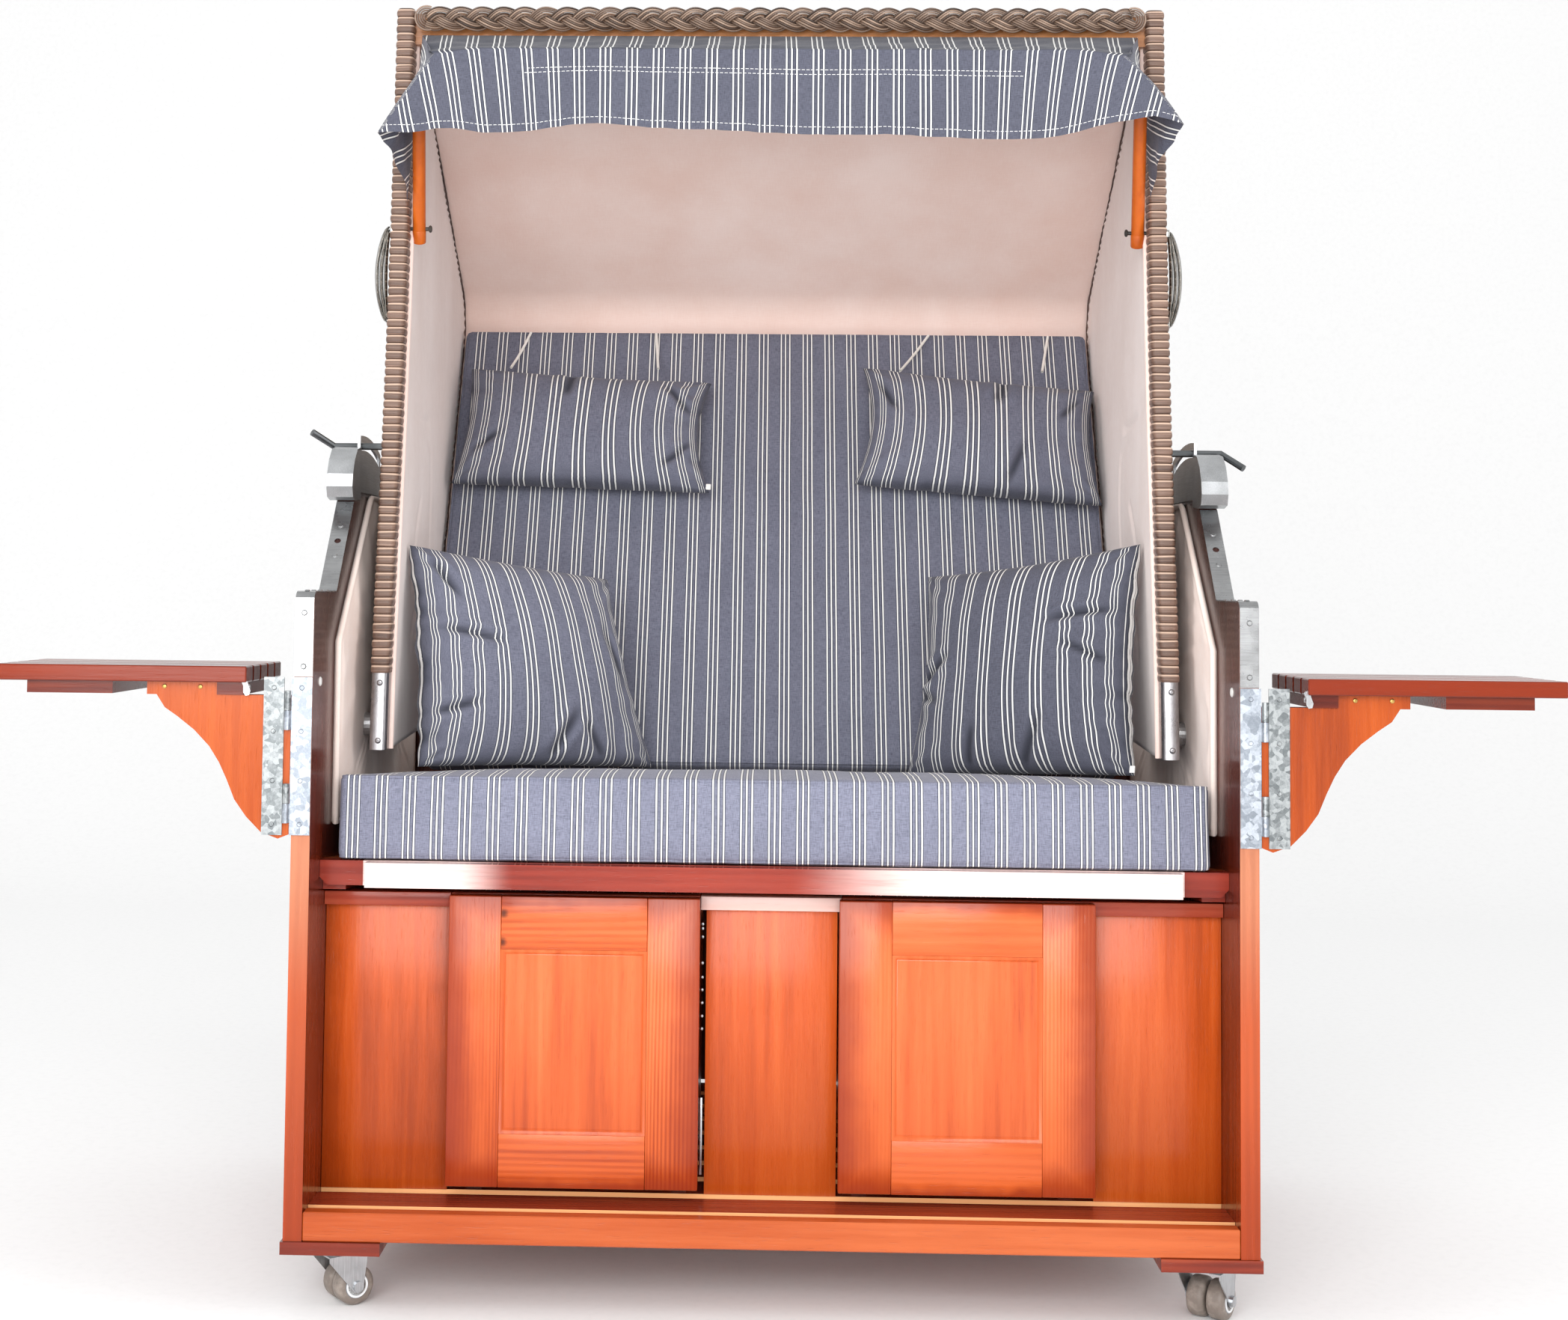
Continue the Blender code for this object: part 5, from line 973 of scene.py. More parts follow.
def points_of(piece: bpy.types.Object) -> np.ndarray:
    """A piece's mesh points as an array.

    Args:
        piece: The piece.

    Returns:
        One row of three for each point.
    """
    spots = np.empty(len(piece.data.vertices) * 3)
    piece.data.vertices.foreach_get("co", spots)
    return spots.reshape(-1, 3)


def move_points(piece: bpy.types.Object, spots: np.ndarray) -> None:
    """Puts a piece's mesh points at new places."""
    piece.data.vertices.foreach_set("co", spots.ravel())
    piece.data.update()


@dataclass
class BoxCushion:
    """A foam cushion in a sewn striped cover.

    Fields: its name, solid and body, its width, length and thickness at the borders, the middle
    of its underside, its tilt in degrees, how far its top is crowned, its edges' rounding, the
    depth of its creases, a fill share that is not used, the first stripe's offset, a factor on
    the cloth that paints the light and shade it gets, how far the rear edge is eased, and the
    mesh's step.
    """

    name: str
    node: str
    body: str
    size: tuple[float, float, float]
    middle: Vector
    tilt: float
    crown: float = 0.010
    edge: float = 0.008
    crease: float = 0.0014
    fill: float = 0.85
    shift: float = 0.0148
    tone: float = 1.0
    back_drop: float = 0.0
    step: float = 0.008

    def marks(self, half: float) -> np.ndarray:
        """Places from one end to the other, close together on the rounded ends.

        Args:
            half: Half of the length.

        Returns:
            The places, from the middle.
        """
        flat = half - self.edge
        count = max(2, round(2 * flat / self.step))
        end = flat + self.edge * np.tan(np.linspace(0.0, math.pi / 4, 5))[1:]
        return np.concatenate((-end[::-1], np.linspace(-flat, flat, count + 1), end))

    def rear_eased(self, y: float, z: float, w: float) -> tuple[float, float]:
        """Lowers the rear edge and draws it in, for the hood's foot that swings over it.

        Args:
            y: A place along the cushion, from its middle.
            z: The height there, from any level.
            w: The share of half the thickness that the place lies above the middle.

        Returns:
            The eased place and height.
        """
        t = y / (self.size[1] / 2)
        return (y - w * self.back_drop * smooth(t, 0.9, 1.0),
                z - w * self.back_drop * smooth(t, 0.78, 0.98))

    def lifted(self, spot: np.ndarray) -> tuple[float, float, float]:
        """Rounds, crowns and creases one point of the plain box.

        Args:
            spot: A point on the box's surface, from its middle.

        Returns:
            The cover's point, from the middle of its underside.
        """
        half = np.array(self.size) / 2
        core = np.clip(spot, self.edge - half, half - self.edge)
        out = (spot - core) / np.linalg.norm(spot - core)
        x, y, z = core + out * self.edge
        s, t, w = x / half[0], y / half[1], z / half[2]
        inside = (x, y, z * 1.5)
        puff = ripple(inside, 9.0, 3.1) + 0.5 * ripple(inside, 30.0, 7.7)
        x, y, z = np.array((x, y, z)) + out * self.crease * puff
        rim = min(half[0] - abs(x), half[1] - abs(y))
        pucker = ripple((x, y, 0.0), 120.0, 2.0) * math.exp(-max(rim, 0.0) / 0.01)
        z += 0.0006 * pucker * (1 if w > 0 else 0)
        y -= 0.003 * math.copysign((1 - w * w) * (1 - s * s) * abs(t) ** 8, -y)
        if w > 0:
            z += w * self.crown * (1 - s ** 4) * (1 - t * t)
            y, z = self.rear_eased(y, z, w)
        return x, y, z + half[2]

    def cover(self, shape: Shape) -> None:
        """Adds the six faces of the cover.

        Args:
            shape: What they are added to.
        """
        half = np.array(self.size) / 2
        for axis in range(3):
            first, second = (k for k in range(3) if k != axis)
            for sign in (-1, 1):
                rows = []
                for a in self.marks(half[first]):
                    row = []
                    for b in self.marks(half[second]):
                        spot = np.zeros(3)
                        spot[axis], spot[first], spot[second] = sign * half[axis], a, b
                        row.append(self.lifted(spot))
                    rows.append(row)
                shape.grid(rows)

    def seams(self, shape: Shape) -> None:
        """Adds the raised seams that run round the top and the underside.

        Args:
            shape: What they are added to.
        """
        half = np.array(self.size) / 2
        inset = 0.29 * self.edge
        turns = np.linspace(0, math.pi / 2, 6)
        ring = []
        for sx, sy, start in ((1, 1, 0.0), (-1, 1, 0.5), (-1, -1, 1.0), (1, -1, 1.5)):
            for turn in turns:
                angle = turn + start * math.pi
                ring.append((sx * (half[0] - self.edge) + (self.edge - inset) * math.cos(angle),
                             sy * (half[1] - self.edge) + (self.edge - inset) * math.sin(angle)))
        ring = resampled(np.array(ring + ring[:1]), 0.006)[:-1]
        for z in (inset, self.size[2] - inset):
            above = max(0.0, 2 * z / self.size[2] - 1)
            path = [(x, *self.rear_eased(y, z + 0.0005 * ripple((x, y, z), 90.0, 5.0), above))
                    for x, y in ring]
            shape.tube(path, 0.0019, 7, closed=True)

    def build(self) -> bpy.types.Object:
        """Sews the cover with its seams and lays the cushion in its place.

        Returns:
            The cushion.
        """
        shape = Shape()
        self.cover(shape)
        self.seams(shape)
        cloth = StripedCloth("striped_chambray_" + self.node, shift=self.shift, tone=self.tone)
        cover = shape.build(self.name, cloth, smooth=180.0, weld=0.00001)
        turn = Matrix.Rotation(math.radians(self.tilt), 4, "X")
        cover.matrix_world = Matrix.Translation(self.middle) @ turn
        return attach(cover, self.body, self.node, self.node)


def crowded(cells: int, reach: float = 0.85) -> np.ndarray:
    """Places from -1 to 1 that lie closer together towards both ends.

    Args:
        cells: Steps between the places.
        reach: How much closer they lie, up to 1.

    Returns:
        The places.
    """
    turns = np.linspace(-1, 1, cells + 1) * math.pi / 2 * reach
    return np.sin(turns) / math.sin(math.pi / 2 * reach)


@dataclass(frozen=True)
class Fold:
    """A crease in a pillow's front: its middle, its way in degrees, length, width and depth."""

    middle: tuple[float, float]
    way: float
    length: float
    width: float = 0.007
    depth: float = 0.006

    def sink(self, a: np.ndarray, b: np.ndarray) -> np.ndarray:
        """How far the fold sinks the cloth, with a soft ridge on each side.

        Args:
            a: Places across the pillow.
            b: Places up the pillow.

        Returns:
            The sinking at each place, negative on the ridges.
        """
        turn = math.radians(self.way)
        da, db = a - self.middle[0], b - self.middle[1]
        along = (da * math.cos(turn) + db * math.sin(turn)) / (self.length / 2)
        side = (db * math.cos(turn) - da * math.sin(turn)) / self.width
        window = np.exp(-along ** 4)
        return self.depth * window * (np.exp(-side ** 2) - 0.55 * np.exp(-((abs(side) - 2) ** 2)))


@dataclass
class Pillow:
    """A loose pillow of two sewn panels around its stuffing.

    Fields: its name, solid and body, its thickness, the middle of the solid, its turns in
    degrees (yaw, lean, roll), its four corners in its own plane (top left, top right, bottom
    right, bottom left), how far its top, right, bottom and left seams bow inwards and how much
    they are gathered, its folds, a seed for its wrinkles, a factor on the cloth that paints the
    light and shade it gets, how steeply it swells at its seams, whether it has a tag, its mesh's
    cells, a fill share that is not used, and what keeps its points clear of its neighbours.
    """

    name: str
    node: str
    body: str
    thickness: float
    middle: Vector
    turns: tuple[float, float, float]
    corners: tuple[tuple[float, float], ...]
    bows: tuple[float, float, float, float]
    gathers: tuple[float, float, float, float]
    folds: tuple[Fold, ...] = ()
    seed: float = 0.0
    tone: float = 1.0
    fullness: float = 0.42
    tag: bool = False
    cells: tuple[int, int] = (112, 92)
    fill: float = 0.7
    limits: Callable[[np.ndarray], np.ndarray] | None = None

    def turn(self) -> Matrix:
        """The pillow's turn from standing upright and facing the front.

        Returns:
            The turn as a matrix.
        """
        yaw, lean, roll = (math.radians(a) for a in self.turns)
        return (Matrix.Rotation(yaw, 3, "Z") @ Matrix.Rotation(-lean, 3, "X")
                @ Matrix.Rotation(roll, 3, "Y"))

    def outline(self, u: np.ndarray, v: np.ndarray) -> np.ndarray:
        """Spreads the panel between its bowed seams.

        Args:
            u: Places across, from -1 to 1.
            v: Places up, from -1 to 1.

        Returns:
            The places in the pillow's plane.
        """
        tl, tr, br, bl = (np.array(c) for c in self.corners)
        left, right = (1 - u)[..., None] / 2, (1 + u)[..., None] / 2
        low, high = (1 - v)[..., None] / 2, (1 + v)[..., None] / 2
        spots = low * (bl * left + br * right) + high * (tl * left + tr * right)
        spots[..., 1] -= self.bows[0] * (1 - u ** 2) * high[..., 0] ** 2
        spots[..., 0] -= self.bows[1] * (1 - v ** 2) * right[..., 0] ** 2
        spots[..., 1] += self.bows[2] * (1 - u ** 2) * low[..., 0] ** 2
        spots[..., 0] += self.bows[3] * (1 - v ** 2) * left[..., 0] ** 2
        return spots

    def wrinkles(self, spots: np.ndarray, u: np.ndarray, v: np.ndarray,
                 face: float) -> tuple[np.ndarray, np.ndarray, np.ndarray]:
        """Gathers along the seams, rays from the corners and the broad unevenness.

        Args:
            spots: The panel's places in the pillow's plane.
            u: Places across, from -1 to 1.
            v: Places up, from -1 to 1.
            face: -1 for the front panel, 1 for the back one.

        Returns:
            What is added to the swelling, what moves the seam itself, and the hollows' shade.
        """
        half = np.ptp(spots.reshape(-1, 2), axis=0) / 2
        gaps = ((1 - v) * half[1], (1 - u) * half[0], (1 + v) * half[1], (1 + u) * half[0])
        lift, wave, shade = np.zeros(u.shape), np.zeros(u.shape), np.zeros(u.shape)
        for side, (gap, amount) in enumerate(zip(gaps, self.gathers)):
            along = u * half[0] if side % 2 == 0 else v * half[1]
            noise = np.array([ripple((a, 0.30 * g, 3.0 * side), 44.0, self.seed)
                              for a, g in zip(along.ravel(), gap.ravel())]).reshape(u.shape)
            middle = (1 - (u if side % 2 == 0 else v) ** 6)
            lift += amount * noise * np.exp(-gap / 0.030) * (1 - np.exp(-gap / 0.006)) * middle
            shade += 60 * amount * np.clip(-noise, 0, 1) * np.exp(-gap / 0.025) * middle
            shade += 0.45 * np.exp(-gap / 0.009)
            wave += 0.6 * amount * noise * np.exp(-gap / 0.008) * middle
        for k, (su, sv) in enumerate(((-1, 1), (1, 1), (1, -1), (-1, -1))):
            da, db = (1 - su * u) * half[0], (1 - sv * v) * half[1]
            reach = np.hypot(da, db)
            angle = np.arctan2(db, da)
            rays = np.sin(angle * 9.0 + self.seed + k * 1.7 + 6.0 * reach / half[0])
            fade = np.exp(-reach / 0.055) * (1 - np.exp(-reach / 0.012))
            lift += 0.0042 * rays * fade * (1 - np.exp(-np.minimum(da, db) / 0.008))
        broad = np.array([ripple((a, b, 0.4 * face), 11.0, self.seed + 9.0)
                          for a, b in spots.reshape(-1, 2)]).reshape(u.shape)
        lift += 0.0045 * broad * (1 - u ** 4) * (1 - v ** 4)
        return lift, wave, shade

    def panel(self, face: float) -> tuple[np.ndarray, np.ndarray]:
        """One swollen panel.

        Args:
            face: -1 for the front panel, 1 for the back one.

        Returns:
            The panel's points, seen from the pillow's middle, and the shade of its hollows.
        """
        u, v = np.meshgrid(*(crowded(cells) for cells in self.cells), indexing="ij")
        spots = self.outline(u, v)
        full = ((1 - u ** 2) * (1 - v ** 2)).clip(0.0) ** self.fullness
        swell = self.thickness / 2 * full
        lift, wave, shade = self.wrinkles(spots, u, v, face)
        rim = np.minimum(1 - abs(u), 1 - abs(v))
        swell = swell + lift
        if face < 0:
            for fold in self.folds:
                sink = fold.sink(spots[..., 0], spots[..., 1]) * np.minimum(1, rim / 0.08)
                swell = swell - sink
                shade = shade + 0.8 * np.clip(sink / fold.depth, 0, 1)
        swell = np.where(rim > 1e-6, np.maximum(swell, 0.0004), 0.0)
        points = np.stack([spots[..., 0], face * swell + wave, spots[..., 1]], -1)
        return points, np.clip(shade, 0, 0.85)

    def build(self) -> bpy.types.Object:
        """Sews, fills and places the pillow.

        Returns:
            The pillow.
        """
        n, m = self.cells
        flat_u = np.linspace(-0.5, 0.5, n + 1) * float(np.ptp([c[0] for c in self.corners]))
        flat_v = np.linspace(-0.5, 0.5, m + 1) * float(np.ptp([c[1] for c in self.corners]))
        shape = Shape()
        for face in (-1.0, 1.0):
            points, shade = self.panel(face)
            rows = points if face < 0 else points[::-1]
            lays = [[(a, b, shade[i, j]) for j, b in enumerate(flat_v)]
                    for i, a in enumerate(flat_u)]
            shape.grid(rows.tolist(), lays if face < 0 else lays[::-1])
        if self.tag:
            a, b = self.corners[2]
            shape.block(Vector((a - 0.006, -0.0065, b + 0.003)),
                        Vector((a + 0.002, -0.0035, b + 0.013)), 0.001, 1)
        cloth = StripedCloth("striped_chambray_" + self.node, own_lay=True,
                             shift=0.004 * self.seed, tone=self.tone)
        white = PlainCloth("white_tag", rgb("F4F3F0"), rgb("DEDCD8"), 1500.0)
        finishes = (cloth, white) if self.tag else (cloth,)
        cover = shape.build(self.name, *finishes, smooth=180.0, weld=0.00002)
        world = points_of(cover) @ np.array(self.turn()).T + np.array(self.middle)
        if self.limits is not None:
            world = self.limits(world)
        move_points(cover, (world - np.array(self.middle)) @ np.array(self.turn()))
        cover.matrix_world = Matrix.Translation(self.middle) @ self.turn().to_4x4()
        return attach(cover, self.body, self.node, self.node)


def distances(path: np.ndarray) -> np.ndarray:
    """The length run up to each point of a path."""
    steps = np.linalg.norm(np.diff(path, axis=0), axis=1)
    return np.concatenate(([0.0], np.cumsum(steps)))


def resampled(path: np.ndarray, step: float) -> np.ndarray:
    """A path in even steps.

    Args:
        path: Its points, one row each.
        step: About how far apart the new points lie.

    Returns:
        The new points.
    """
    run = distances(path)
    marks = np.linspace(0, run[-1], max(2, round(run[-1] / step) + 1))
    return np.stack([np.interp(marks, run, path[:, k]) for k in range(path.shape[1])], -1)


STRAND = WovenStrand("wicker_strand", rgb("B59A86"), rgb("6E5A4E"), rgb("352923"))
# 4.2 puts a painted highlight on each band's top rib
RAIL_STRAND = WovenStrand("wicker_rail_strand", rgb("D8BBA6"), rgb("8A6C5C"), rgb("4A352C"), 0.34,
                          4.2, 0.14)
CANVAS = PlainCloth("lining_canvas")
# painted light: a lighter copy of the lining canvas for the walls' padding, which lies in shade
# between wall and hood
LIT_LINING_CANVAS = PlainCloth("lit_wall_lining_canvas", rgb("FFF1E9"), rgb("F3D9CC"))
# painted light: a lighter copy of the lining canvas for the hood's cheeks, whose upper part lies
# in shade
LIT_CHEEK_CANVAS = PlainCloth("lit_cheek_canvas", rgb("F7EDE9"), rgb("E8D9D3"))
SEAM_THREAD = PlainCloth("seam_thread", rgb("6A5048"), rgb("2E211E"), 2500.0)
STAINLESS = Steel("brushed_stainless")
FOOT_STEEL = Steel("foot_steel", rgb("A2A0A2"), 0.26)
BLACK_KNOB = Moulded("black_knob", rgb("26221F"), rgb("4A433D"), 0.4)
BRASS = Steel("brass_screw", rgb("D9B36A"), 0.3)


@dataclass
class HoodShell:
    """The woven outside of the hood: back and roof in one sheet, and two cheeks.

    Fields: the strands' pitch, the stakes' pitch, how far the strands swing round the stakes,
    the back's half width, the cheeks' half width, and the lines of the back and of the front
    edge as places from front to back and heights.
    """

    strand: float = 0.010
    stake: float = 0.032
    swing: float = 0.0016
    half_width: float = 0.5435
    cheek_half: float = 0.5519
    back: tuple[tuple[float, float], ...] = (
        (0.6061, 0.6971), (0.9380, 1.3085), (0.9448, 1.3244), (0.9486, 1.3422),
        (0.9489, 1.3604), (0.9457, 1.3783), (0.9391, 1.3953), (0.9294, 1.4107),
        (0.9170, 1.4239), (0.9030, 1.4341), (0.3807, 1.7392))
    front: tuple[tuple[float, float], ...] = (
        (0.2463, 0.6905), (0.2563, 0.8009), (0.2851, 0.9772), (0.3133, 1.1472),
        (0.3344, 1.3065), (0.3503, 1.4615), (0.3619, 1.6038), (0.3713, 1.7263))

    def woven(self, shape: Shape, spot: Callable[[float, float], Vector],
              out: Callable[[float, float], Vector], length: float,
              width: Callable[[float], tuple[float, float]], seed: int) -> None:
        """Weaves flat strands over and under upright stakes.

        Args:
            shape: What the woven surface is added to.
            spot: The bare surface's point at a length and a width.
            out: The surface's outward direction there.
            length: How far the surface runs from strand to strand.
            width: The surface's two borders at a length.
            seed: Where this surface's strands are counted from.
        """
        rows, lays = [], []
        profile = ((0.03, 0.1), (0.2, 0.8), (0.5, 1.0), (0.8, 0.8), (0.97, 0.1))
        for strand in range(int(length / self.strand)):
            for share, height in profile:
                s = (strand + share) * self.strand
                low, high = width(s)
                row, flat = [], []
                for w in np.linspace(low, high, max(8, round(2 * self.half_width / 0.008))):
                    wave = math.cos(math.pi * w / self.stake + math.pi * strand)
                    depth = (0.35 + 0.65 * wave) * self.swing * height
                    row.append(spot(s, w) + out(s, w) * depth)
                    flat.append((strand + seed, w, share * 3))
                rows.append(row)
                lays.append(flat)
        shape.grid(rows, lays)

    def build(self) -> None:
        """Weaves the back, the roof and both cheeks."""
        back = np.array([place(0, y, z)[1:] for y, z in self.back])
        run = distances(back)
        ahead = np.gradient(back, run, axis=0)

        def at(s: float) -> tuple[float, float]:
            """The back's y and z at a length from its foot."""
            return float(np.interp(s, run, back[:, 0])), float(np.interp(s, run, back[:, 1]))

        def away(s: float) -> Vector:
            """The back's outward direction at a length from its foot."""
            dy, dz = (float(np.interp(s, run, ahead[:, k])) for k in (0, 1))
            return Vector((0.0, dz, -dy)).normalized()

        shape = Shape()
        self.woven(shape, lambda s, w: Vector((w, *at(s))), lambda s, w: away(s), run[-1],
                   lambda s: (-self.half_width, self.half_width), 0)
        front = np.array([place(0, y, z)[1:] for y, z in self.front])
        lift = back[:, 1]
        for sign in (-1, 1):
            def side_spot(s: float, w: float, sign: int = sign) -> Vector:
                """A cheek's point at a height above its foot and a place across."""
                return Vector((sign * self.cheek_half, w, front[0, 1] + s))

            def side_width(s: float) -> tuple[float, float]:
                """The cheek's two borders.

                Args:
                    s: The height above the cheek's foot.

                Returns:
                    The front and the back border there.
                """
                z = front[0, 1] + s
                ahead_y = float(np.interp(z, front[:, 1], front[:, 0]))
                peak = int(np.argmax(back[:, 0]))
                rear = float(np.interp(z, lift[:peak + 1], back[:peak + 1, 0]))
                if z > lift[peak]:
                    rear = float(np.interp(z, lift[peak:], back[peak:, 0]))
                return ahead_y, max(rear, ahead_y + 0.004)

            self.woven(shape, side_spot, lambda s, w, sign=sign: Vector((sign, 0.0, 0.0)),
                       self.front[-1][1] - self.front[0][1], side_width, 300)
        attach(shape.build("hood_weave", STRAND, smooth=60.0), "hood", "hood_shell")
        dress("hood_shell", WovenStrand("wicker_backing"))


@dataclass
class HoodLining:
    """The padded canvas inside the hood, sewn along the cheeks' seams.

    Fields: its half width, its least distance from the shell, how deep and how often its seams
    pucker, its thickness, the lines of the back and of the front edge, the lines, depth and
    width of the cheeks' creases, and the thread's and the piping's places and radii.
    """

    half_width: float = 0.5318
    lift: float = 0.0012
    pucker: float = 0.0022
    pucker_pitch: float = 0.017
    backing: float = 0.0011
    back: tuple[tuple[float, float], ...] = (
        (0.5898, 0.7060), (0.9213, 1.3166), (0.9270, 1.3300), (0.9300, 1.3443),
        (0.9302, 1.3589), (0.9277, 1.3733), (0.9224, 1.3869), (0.9146, 1.3992),
        (0.9047, 1.4099), (0.8928, 1.4184), (0.3713, 1.7232))
    front: tuple[tuple[float, float], ...] = HoodShell.front
    creases: tuple[tuple[tuple[float, float], ...], ...] = (
        ((0.410, 1.172), (0.468, 1.163), (0.530, 1.162)),
        ((0.487, 1.151), (0.557, 1.125), (0.568, 1.059), (0.560, 0.98)),
        ((0.476, 1.045), (0.442, 1.010), (0.421, 0.975)),
        ((0.470, 0.900), (0.420, 0.870), (0.395, 0.820)))
    crease_depth: float = 0.0042
    crease_width: float = 0.006
    thread_inset: float = 0.0042
    thread_radius: float = 0.0013
    piping_half: float = 0.5265
    piping_offset: float = 0.0065
    piping_radius: float = 0.0042

    def sunk_by(self, y: float, z: float) -> float:
        """How deep the cheek's creases press a point in.

        Args:
            y: The point's place from front to back.
            z: Its height.

        Returns:
            The depth.
        """
        deepest = 0.0
        spot = np.array((y - FRONT_PLANE, z))
        for line in self.creases:
            for a, b in zip(line, line[1:]):
                start, way = np.array(a), np.array(b) - np.array(a)
                share = min(1.0, max(0.0, float((spot - start) @ way / (way @ way))))
                gap = float(np.linalg.norm(spot - start - way * share))
                deepest = max(deepest, math.exp(-(gap / self.crease_width) ** 2))
        return deepest * self.crease_depth

    def build(self) -> None:
        """Stretches the back and both cheeks and gathers them at their seams."""
        path = resampled(np.array([place(0, y, z)[1:] for y, z in self.back]), 0.008)
        run = distances(path)
        ahead = np.gradient(path, axis=0)
        ahead /= np.linalg.norm(ahead, axis=1)[:, None]
        inward = np.stack([-ahead[:, 1], ahead[:, 0]], -1)
        shape = Shape()
        half = self.half_width
        reach = [1 - d for d in (0, .002, .005, .009, .014, .02, .03, .045, .07, .1, .15, .2)]
        across = sorted({round(s * r * half, 5) for r in (*reach, .7, .6, .5, .4, .3, .2, .1, 0)
                         for s in (-1, 1)})
        rows = []
        for s, spot, inn in zip(run, path, inward):
            row = []
            for x in across:
                edge = half - abs(x)
                gather = math.sin(s / self.pucker_pitch * 2 * math.pi
                                  + 2.5 * ripple((x, s, 0), 9.0))
                sunk = -0.004 * math.exp(-edge / 0.006)
                lift = self.lift + 0.004 * (1 - math.exp(-edge / 0.03)) + sunk
                lift += self.pucker * gather * math.exp(-edge / 0.016) * 0.6
                lift += 0.0016 * ripple((x, s, 0), 6.5, 2.0) + 0.0005 * ripple((x, s, 0), 21.0)
                row.append((x, spot[0] + inn[0] * lift, spot[1] + inn[1] * lift))
            rows.append(row)
        shape.grid(rows)
        front = np.array([place(0, y, z)[1:] for y, z in self.front])
        for sign in (-1, 1):
            rows = []
            for s, spot in zip(run, path):
                share = s / run[-1]
                edge_z = front[0, 1] + share * (front[-1, 1] - front[0, 1])
                start = np.array((np.interp(edge_z, front[:, 1], front[:, 0]) + 0.001, edge_z))
                row = []
                length = float(np.linalg.norm(spot - start))
                for part in np.linspace(0, 1, 84):
                    ease = 1 - (1 - part) ** 1.6
                    point = start + (spot - start) * ease
                    edge = length * (1 - ease)
                    rim = length * ease
                    gather = math.sin(s / self.pucker_pitch * 2 * math.pi
                                      + 2.5 * ripple((0, s, 1), 9.0))
                    lift = 0.0035 * (1 - math.exp(-edge / 0.03)) * (1 - math.exp(-rim / 0.02))
                    lift += self.pucker * gather * math.exp(-edge / 0.02) * 0.8
                    lift += 0.0014 * ripple((sign, *point), 9.0, 5.0) + 0.0012
                    lift -= self.sunk_by(*point) * (0.8 + 0.2 * sign)
                    row.append((sign * (half - lift), point[0], point[1]))
                rows.append(row)
            shape.grid(rows, slot=1, turned=sign > 0)
        # the cheeks take the lighter canvas, painted light against their shade
        canvas = shape.build("hood_canvas", CANVAS, LIT_CHEEK_CANVAS, smooth=70.0)
        backing = canvas.modifiers.new("backing", "SOLIDIFY")
        backing.thickness, backing.offset = self.backing, -1.0
        settled(canvas)
        attach(canvas, "hood", "hood_lining", "hood_lining")
        self.seams(path)
        self.piping()

    def seams(self, path: np.ndarray) -> None:
        """Sews the dark thread that closes the back against both cheeks.

        Args:
            path: The back's line from its foot to the header, as world y and z.
        """
        shape = Shape()
        for sign in (-1, 1):
            x = self.half_width - self.thread_inset
            line = [(sign * (x + 0.0011 * ripple((k, 0, 0), 0.45, sign)),
                     y - self.thread_inset, z + 0.0011 * ripple((k, 3, 0), 0.55, sign))
                    for k, (y, z) in enumerate(path)]
            shape.tube(line, self.thread_radius, 6)
        attach(shape.build("hood_seam_thread", SEAM_THREAD), "hood", "hood_lining")

    def piping(self) -> None:
        """Sews a round cord of the same canvas inside each rail."""
        shape = Shape()
        line = [place(0, y + 0.0015, z) for y, z in self.front]
        for sign in (-1, 1):
            path = [(sign * self.piping_half, p.y - self.piping_offset, p.z) for p in line]
            shape.tube(resampled(np.array(path), 0.012), self.piping_radius, 10)
        attach(shape.build("hood_piping", CANVAS), "hood", "hood_lining")


